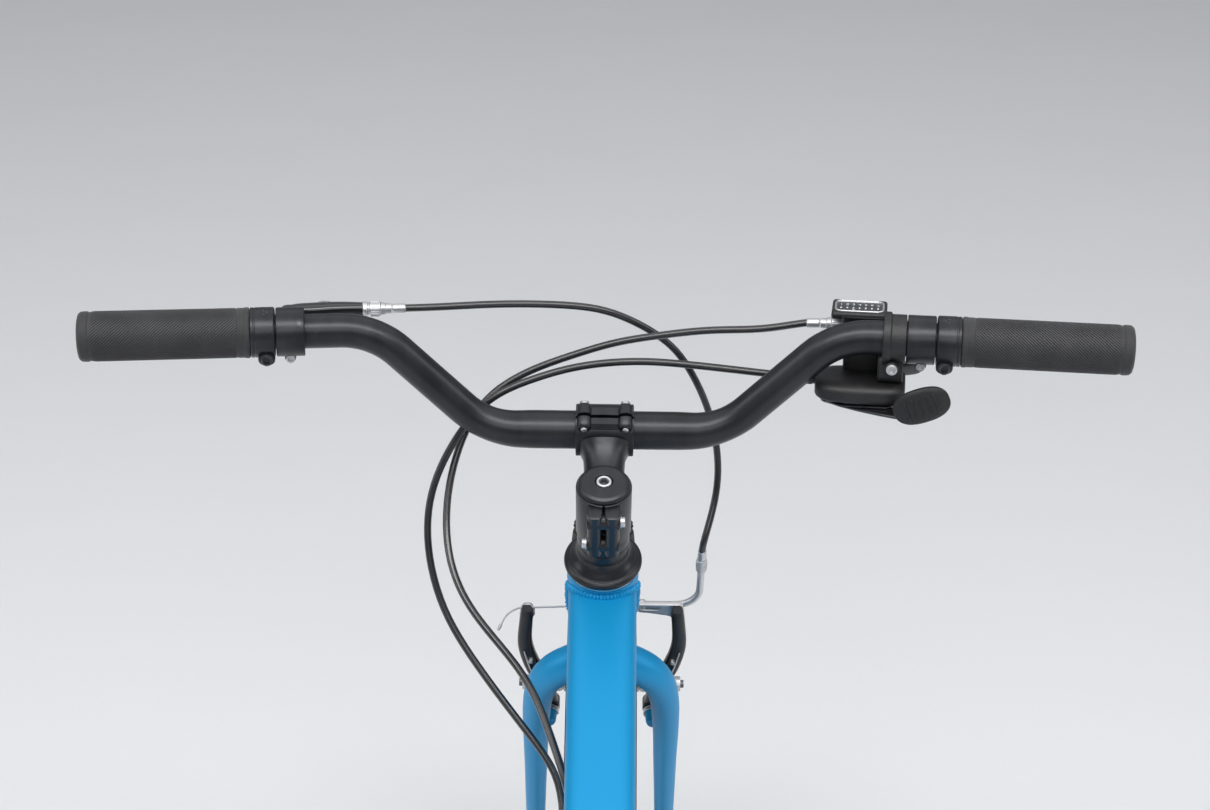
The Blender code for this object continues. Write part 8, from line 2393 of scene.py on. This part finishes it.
def make_mech():
    """The mounting knuckle, the two links, the cage's knuckle and the barrel for the cable."""
    hanger = hanger_point()
    face = DROPOUT + 0.0053
    form = Form("mech", "black_alloy", "bright_steel", "moulded_black")
    form.turned([(0, face), (0.01, face), (0.0108, face + 0.002), (0.0108, face + 0.0105),
                 (0.0092, face + 0.0128), (0, face + 0.013)], wheel_axis(hanger), 0, 48, 0.0006)
    form.bolt(hanger + (face + 0.0127) * X, X, 0.0062, 0.0018, 1)
    form.rod(hanger + (DROPOUT - 0.001) * X, hanger + (face + 0.002) * X, 0.0042, finish=1)
    knuckle = Vector((0, CAGE_PIVOT.y, CAGE_PIVOT.z))
    form.turned([(0.0043, CAGE_FACE + 0.001), (0.0115, CAGE_FACE + 0.001),
                 (0.0118, CAGE_FACE + 0.003), (0.0118, CAGE_FACE + 0.012),
                 (0.01, CAGE_FACE + 0.0148), (0, CAGE_FACE + 0.015)], wheel_axis(knuckle), 0, 48,
                0.0006)
    form.bolt(knuckle + (CAGE_FACE + 0.0146) * X, X, 0.005, 0.0016, 1)
    low = Vector((CAGE_FACE + 0.0072, knuckle.y, knuckle.z))
    high = Vector((face + 0.006, hanger.y, hanger.z))
    run = high - low
    wide = X.cross(run).normalized()
    for shift, size in ((0.0032, 0.0085), (-0.0036, 0.0078)):
        rows = []
        for k in range(13):
            s = k / 12
            rows.append(oval(low + s * run + (0.01 * sin(pi * s) + shift) * X, 0.0024 * X,
                             size * (1 - 0.22 * sin(pi * s)) * wide, 3.4, 32))
        form.skin(rows, 0)
    for s in (0.16, 0.84):
        for way in (-1, 1):
            place = low + s * run + (0.01 * sin(pi * s)) * X + way * 0.005 * wide
            form.rod(place - 0.0064 * X, place + 0.0064 * X, 0.0017, finish=1, sides=20,
                     soft=0.0003)
    spring_low, spring_high = low + 0.22 * run + 0.0062 * X, low + 0.78 * run + 0.0062 * X
    around = (spring_high - spring_low).normalized()
    coil = [spring_low.lerp(spring_high, k / 96) + 0.0031
            * (cos(k * TAU / 10) * X + sin(k * TAU / 10) * X.cross(around)) for k in range(97)]
    form.tube(coil, 0.0006, 1, 8, soft_end=False)
    back = Vector((CAGE_FACE + 0.011, knuckle.y - 0.008, knuckle.z - 0.001))
    along = Vector((0, -0.02, -0.002)).normalized()
    form.turned([(0, 0), (0.005, 0), (0.005, 0.008), (0.0042, 0.01), (0.0042, 0.0195), (0, 0.02)],
                aimed(back, along), 0, 36, 0.0004)
    add_ridges(form, "black_alloy", (0.0042, 0, 0.015), (0.0008, 0.0006, 0.0076), 0.0002, 14,
               aimed(back, along))
    form.bolt(low + 0.5 * run + 0.015 * X - 0.004 * wide, X, 0.004, 0.0028, 1)
    for shift in (-0.0035, 0.0035):
        screw = hanger + (face + 0.006 + shift) * X - 0.01 * Y
        form.rod(screw, screw - 0.0046 * Y, 0.0017, finish=1, sides=16, soft=0.0003)
    form.ride("derailleur", "black_anodised", "derailleur_body")


# Cable housings and their ferrules

def down_tube_normal():
    direction = (on_head(DOWN_TUBE_HEIGHT) - BB).normalized()
    return Vector((0, -direction.z, direction.y))


def beside_down_tube(distance, turn):
    along = (on_head(DOWN_TUBE_HEIGHT) - BB).normalized()
    angle = radians(turn)
    reach = DOWN_TUBE_RADIUS + 0.0025 + 0.0018
    return BB + distance * along - reach * (cos(angle) * X + sin(angle) * down_tube_normal())


def by_top_tube(share, across, level):
    """A point at that share of the top tube, off its middle by parts of its half sizes."""
    point = on_seat_tube(TOP_TUBE_REAR).lerp(on_head(TOP_TUBE_HEIGHT), share)
    return point + Vector((across * (0.019 + 0.004 * share), 0, level * (0.015 + 0.003 * share)))


def eased(points, rounds):
    """The path with its small waves smoothed out and its two ends kept."""
    for _ in range(rounds):
        points = points[:3] + [0.5 * b + 0.25 * (a + c)
            for a, b, c in zip(points[2:], points[3:-3], points[4:])] + points[-3:]
    return points


def housing(name, route, start, end):
    """One length of housing with a ferrule at each end, held along its whole route."""
    points = eased(curved(route, 6), 14)
    form = Form(name, "cable_plastic", "bright_steel")
    form.tube(points, settings().housing, 0, 20, start_side=Z)
    for tip, after in ((points[0], points[5]), (points[-1], points[-6])):
        away = (after - tip).normalized()
        form.turned([(0, 0), (0.0029, 0), (0.0031, 0.0008), (0.0031, 0.008), (0.0027, 0.0088),
                     (0, 0.0088)], aimed(tip, away), 1, 24, 0.0002)
    made = form.object()
    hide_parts(name.replace("_cable", "_housing"))
    if start is None:
        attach(made, "steering")
    else:
        tuple(start)
        tuple(end)
        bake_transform(made)


def noodle_top(front):
    return brake_frame(front) @ Vector((GUIDE_OUT, GUIDE_FORE, GUIDE_LEVEL + GUIDE_RISE + 0.006))


def make_housings():
    left, right = Hand(-1), Hand(1)
    for hand in (left, right):
        tilt = LEVER_TILT[hand.side]
        start = hand.at(CLAMP_START + 0.0756, 0.036, 0.001, tilt)
        if hand is left:
            end, up = noodle_top(True), brake_frame(True).col[2].xyz
            housing("front_brake_cable", [start, start + 0.01 * hand.inward, (-0.104, 0.35, 0.853),
                        (-0.07, 0.357, 0.853), (-0.019, 0.364, 0.85), (0.008, 0.367, 0.843),
                        (0.036, 0.37, 0.827), (0.054, 0.371, 0.809), (0.071, 0.369, 0.776),
                        (0.079, 0.365, 0.744), (0.08, 0.36, 0.712), end + 0.018 * up,
                        end + 0.009 * up, end + 0.0008 * up], None, None)
        else:
            end, up = noodle_top(False), brake_frame(False).col[2].xyz
            housing("rear_brake_cable", [start, start + 0.01 * hand.inward, (0.103, 0.345, 0.841),
                        (0.07, 0.348, 0.84), (0.033, 0.352, 0.833), (0.007, 0.353, 0.828),
                        (-0.018, 0.352, 0.82), (-0.044, 0.35, 0.811), (-0.064, 0.348, 0.801),
                        (-0.082, 0.343, 0.788), (-0.097, 0.332, 0.765), (-0.106, 0.311, 0.732),
                        (-0.104, 0.286, 0.701), (-0.091, 0.262, 0.679), (-0.07, 0.24, 0.663),
                        *[by_top_tube(*place)
                          for place in ((0.8273, -2.062, -0.229), (0.761, -1.474, -0.81),
                              (0.7, -0.986, -1.374), (0.62, -0.698, -1.281),
                              (0.4405, -0.674, -1.274), (0.23, -0.703, -1.287),
                              (0.17, -0.915, -1.29), (0.135, -1.254, -0.844))],
                        (-0.029, -0.112, 0.564), (-0.037, -0.136, 0.567), (-0.052, -0.16, 0.58),
                        end + 0.022 * up, end + 0.011 * up, end + 0.001 * up],
                    (-0.097, 0.332, 0.765), (-0.0325, 0.185, 0.628))
    start = right.at(SHIFTER_START + 0.075, 0.018, SHIFTER_MIDDLE)
    end = Vector((CAGE_FACE + 0.011, CAGE_PIVOT.y - 0.0286, CAGE_PIVOT.z - 0.003))
    route = [start, start + 0.012 * right.inward, (0.05, 0.336, 0.82), (0.016, 0.339, 0.82),
             (-0.018, 0.339, 0.816), (-0.044, 0.336, 0.809), (-0.066, 0.333, 0.801),
             (-0.084, 0.33, 0.789), (-0.103, 0.323, 0.764), (-0.117, 0.312, 0.734),
             (-0.119, 0.298, 0.7), (-0.108, 0.282, 0.66), (-0.084, 0.266, 0.627),
             (-0.056, 0.248, 0.596), (-0.034, 0.231, 0.5745)]
    route += [beside_down_tube(distance, turn) for distance, turn in (
        (0.4, 0), (0.31, 0), (0.225, 12), (0.17, 40), (0.11, 70), (0.05, 92))]
    for x, turn in ((0.007, -35), (0.013, -85)):
        angle = radians(turn)
        route.append(BB + Vector((x, 0.0231 * cos(angle), 0.0231 * sin(angle))))
    route += [(0.0225, -0.112, 0.26), (0.0345, -0.165, 0.2675), (0.042, -0.26, 0.275),
              (0.049, -0.35, 0.2825), (0.06, -0.402, 0.283), (0.078, -0.436, 0.278),
              (0.092, -0.476, 0.274), (0.097, -0.518, 0.265), (0.091, -0.545, 0.248),
              end + Vector((0.006, -0.034, 0.002)), end + Vector((0.001, -0.014, -0.001)), end]
    housing("shift_cable", route, (-0.103, 0.323, 0.764), (-0.034, 0.231, 0.5745))


# Studio

def make_stage():
    colour = tuple(settings().floor)
    f = Finish("studio_floor")
    stain = f.noise(2.2, 4) * 0.5 + f.noise(160, 4) * 0.5
    f.done(f.mix(stain, shade(colour, 0.965), shade(colour, 1.03)), 0.62 + stain * 0.1,
           f.noise(900, 3), 0.00006)
    shape = bmesh.new()
    flat, curve, rise, count = 14.0, 4.0, 9.0, 96
    line = [(flat + curve * sin(k * pi / 24), curve - curve * cos(k * pi / 24)) for k in range(13)]
    line.append((flat + curve, rise))
    rows = [[shape.verts.new((r * cos(TAU * k / count), r * sin(TAU * k / count), z - 0.0002))
             for k in range(count)] for r, z in line]
    shape.faces.new(rows[0])
    for low, high in zip(rows, rows[1:]):
        for k in range(count):
            shape.faces.new((low[k], high[k], high[k - 1], low[k - 1]))
    bmesh.ops.recalc_face_normals(shape, faces=shape.faces[:])
    mesh = bpy.data.meshes.new("studio_floor")
    shape.to_mesh(mesh)
    shape.free()
    mesh.shade_smooth()
    mesh.materials.append(f.material)
    linked("studio_floor", mesh)
    for name, place, aim, size, power in (("top", (0, 1.6, 7.0), (0, 1.6, 0), (12.0, 12.0), 300),
            ("side_left", (-3.2, -0.2, 2.2), (0, 0.1, 0.6), (1.2, 3.0), 26),
            ("side_right", (3.2, -0.2, 2.2), (0, 0.1, 0.6), (1.2, 3.0), 26),
            ("behind", (0, -3.4, 3.0), (0, 0.1, 0.6), (3.2, 1.2), 30),
            ("above", (0, -1.1, 3.1), (0, 0.3, 0.8), (3.4, 0.8), 60)):
        lamp = bpy.data.lights.new(name, "AREA")
        lamp.shape, lamp.size, lamp.size_y, lamp.energy = "RECTANGLE", *size, power
        turn = (Vector(aim) - Vector(place)).to_track_quat("-Z", "Y").to_matrix().to_4x4()
        linked(name, lamp).matrix_world = Matrix.Translation(place) @ turn
    world = bpy.data.worlds.new("studio")
    world.use_nodes = True
    ground = world.node_tree.nodes["Background"]
    ground.inputs["Color"].default_value = (0.86, 0.88, 0.92, 1)
    ground.inputs["Strength"].default_value = 0.38
    bpy.context.scene.world = world
    bpy.context.scene.view_settings.view_transform = "Standard"


def make_camera():
    data = bpy.data.cameras.new("photograph")
    data.lens, data.sensor_width, data.clip_start, data.clip_end = 53.85, 36.0, 0.02, 60
    camera = linked("photograph", data)
    pitch, roll = radians(23.5), radians(0.75)
    turn = Matrix.Rotation(pi / 2 - pitch, 4, "X") @ Matrix.Rotation(roll, 4, "Z")
    camera.matrix_world = Matrix.Translation((0, -0.7822, 1.2752)) @ turn
    bpy.context.scene.camera = camera


# Operators, one for each group of pieces

PIECES = []


def piece_operator(name, label, words, make):
    """An operator that makes one group of pieces."""
    def execute(self, context):
        make()
        return {"FINISHED"}
    made = type(f"BIKE_OT_{name}", (bpy.types.Operator,),
                {"__doc__": words, "bl_idname": f"bike.{name}", "bl_label": label,
                 "bl_options": {"REGISTER", "UNDO"}, "execute": execute})
    PIECES.append(made)

for name, label, words, make in (("fork", "Fork",
            "Makes the fork with its crown, legs and dropouts.", make_fork),
        ("headset", "Headset", "Makes the bearing cup, cover, spacers, top cap and its bolt.",
         make_headset), ("stem", "Stem", "Makes the stem and its faceplate.", make_stem),
        ("handlebar", "Handlebar", "Makes the riser bar.", make_handlebar),
        ("grips", "Grips", "Makes both grips and their lock rings.", make_grips),
        ("levers", "Brake levers", "Makes the lever brackets and blades.", make_levers),
        ("shifter", "Shifter", "Makes the shifter, its paddle and its trigger.", make_shifter),
        ("front_brake", "Front brake", "Makes the front arms, shoes, guide tube and wire.",
         make_front_brake), ("rear_brake", "Rear brake",
            "Makes the rear arms, shoes, guide tube and wire.", make_rear_brake),
        ("housings", "Cable housings", "Makes the three cable housings.", make_housings),
        ("main_frame", "Frame", "Makes the welded frame.", make_frame),
        ("seat_clamp", "Seat clamp", "Makes the collar on the seat tube.", make_seat_clamp),
        ("seatpost", "Seatpost", "Makes the seatpost, its head and the rails.", make_seatpost),
        ("saddle", "Saddle", "Makes the saddle's shell, cushion and stitching.", make_saddle),
        ("front_wheel", "Front wheel", "Makes the front tyre, rim, hub and axle.",
         make_front_wheel),
        ("rear_wheel", "Rear wheel", "Makes the rear tyre, rim, hub and axle.", make_rear_wheel),
        ("chain", "Chain", "Makes the chain's links.", make_chain),
        ("cassette", "Cassette", "Makes the seven cogs.", make_cassette),
        ("cranks", "Cranks", "Makes the cranks and the chainring.", make_cranks),
        ("pedals", "Pedals", "Makes both pedals.", make_pedals),
        ("derailleur", "Derailleur", "Makes the derailleur, its cage and its pulleys.",
         make_derailleur)):
    piece_operator(name, label, words, make)


class BIKE_OT_studio(bpy.types.Operator):
    """Makes the floor, the lamps, the background and the camera."""
    bl_idname = "bike.studio"
    bl_label = "Studio"
    bl_options = {"REGISTER", "UNDO"}

    def execute(self, context):
        make_stage()
        make_camera()
        return {"FINISHED"}


class BIKE_PT_pieces(bpy.types.Panel):
    """Lists the bike's sizes, colours and operators."""
    bl_idname = "BIKE_PT_pieces"
    bl_label = "Kids mountain bike"
    bl_space_type = "VIEW_3D"
    bl_region_type = "UI"
    bl_category = "Bike"

    def draw(self, context):
        column = self.layout.column()
        for name in BikeSettings.__annotations__:
            column.prop(context.scene.kids_bike, name)
        for piece in (*PIECES, BIKE_OT_studio):
            column.operator(piece.bl_idname)


def register():
    for made in (BikeSettings, *PIECES, BIKE_OT_studio, BIKE_PT_pieces):
        bpy.utils.register_class(made)
    bpy.types.Scene.kids_bike = bpy.props.PointerProperty(type=BikeSettings)


def unregister():
    del bpy.types.Scene.kids_bike
    for made in reversed((BikeSettings, *PIECES, BIKE_OT_studio, BIKE_PT_pieces)):
        bpy.utils.unregister_class(made)


def visual_box():
    """The box round every piece that is shown, but for the studio's floor."""
    bpy.context.view_layer.update()
    low, high = Vector((math.inf,) * 3), Vector((-math.inf,) * 3)
    for made in bpy.data.objects:
        left_out = made.name == "studio_floor" or made.name in CAD_NAMES
        if made.type != "MESH" or made.hide_render or left_out:
            continue
        for vertex in made.data.vertices:
            point = made.matrix_world @ vertex.co
            for axis in range(3):
                low[axis], high[axis] = min(low[axis], point[axis]), max(high[axis], point[axis])
    return [list(low), list(high)]


def main():
    register()
    for piece in PIECES:
        getattr(bpy.ops.bike, piece.bl_idname.split(".")[1])()
    bpy.ops.bike.studio()
    low, high = CAD_BOX
    {"cad": [list(low), list(high)], "visual": visual_box()}


if __name__ == "__main__":
    main()
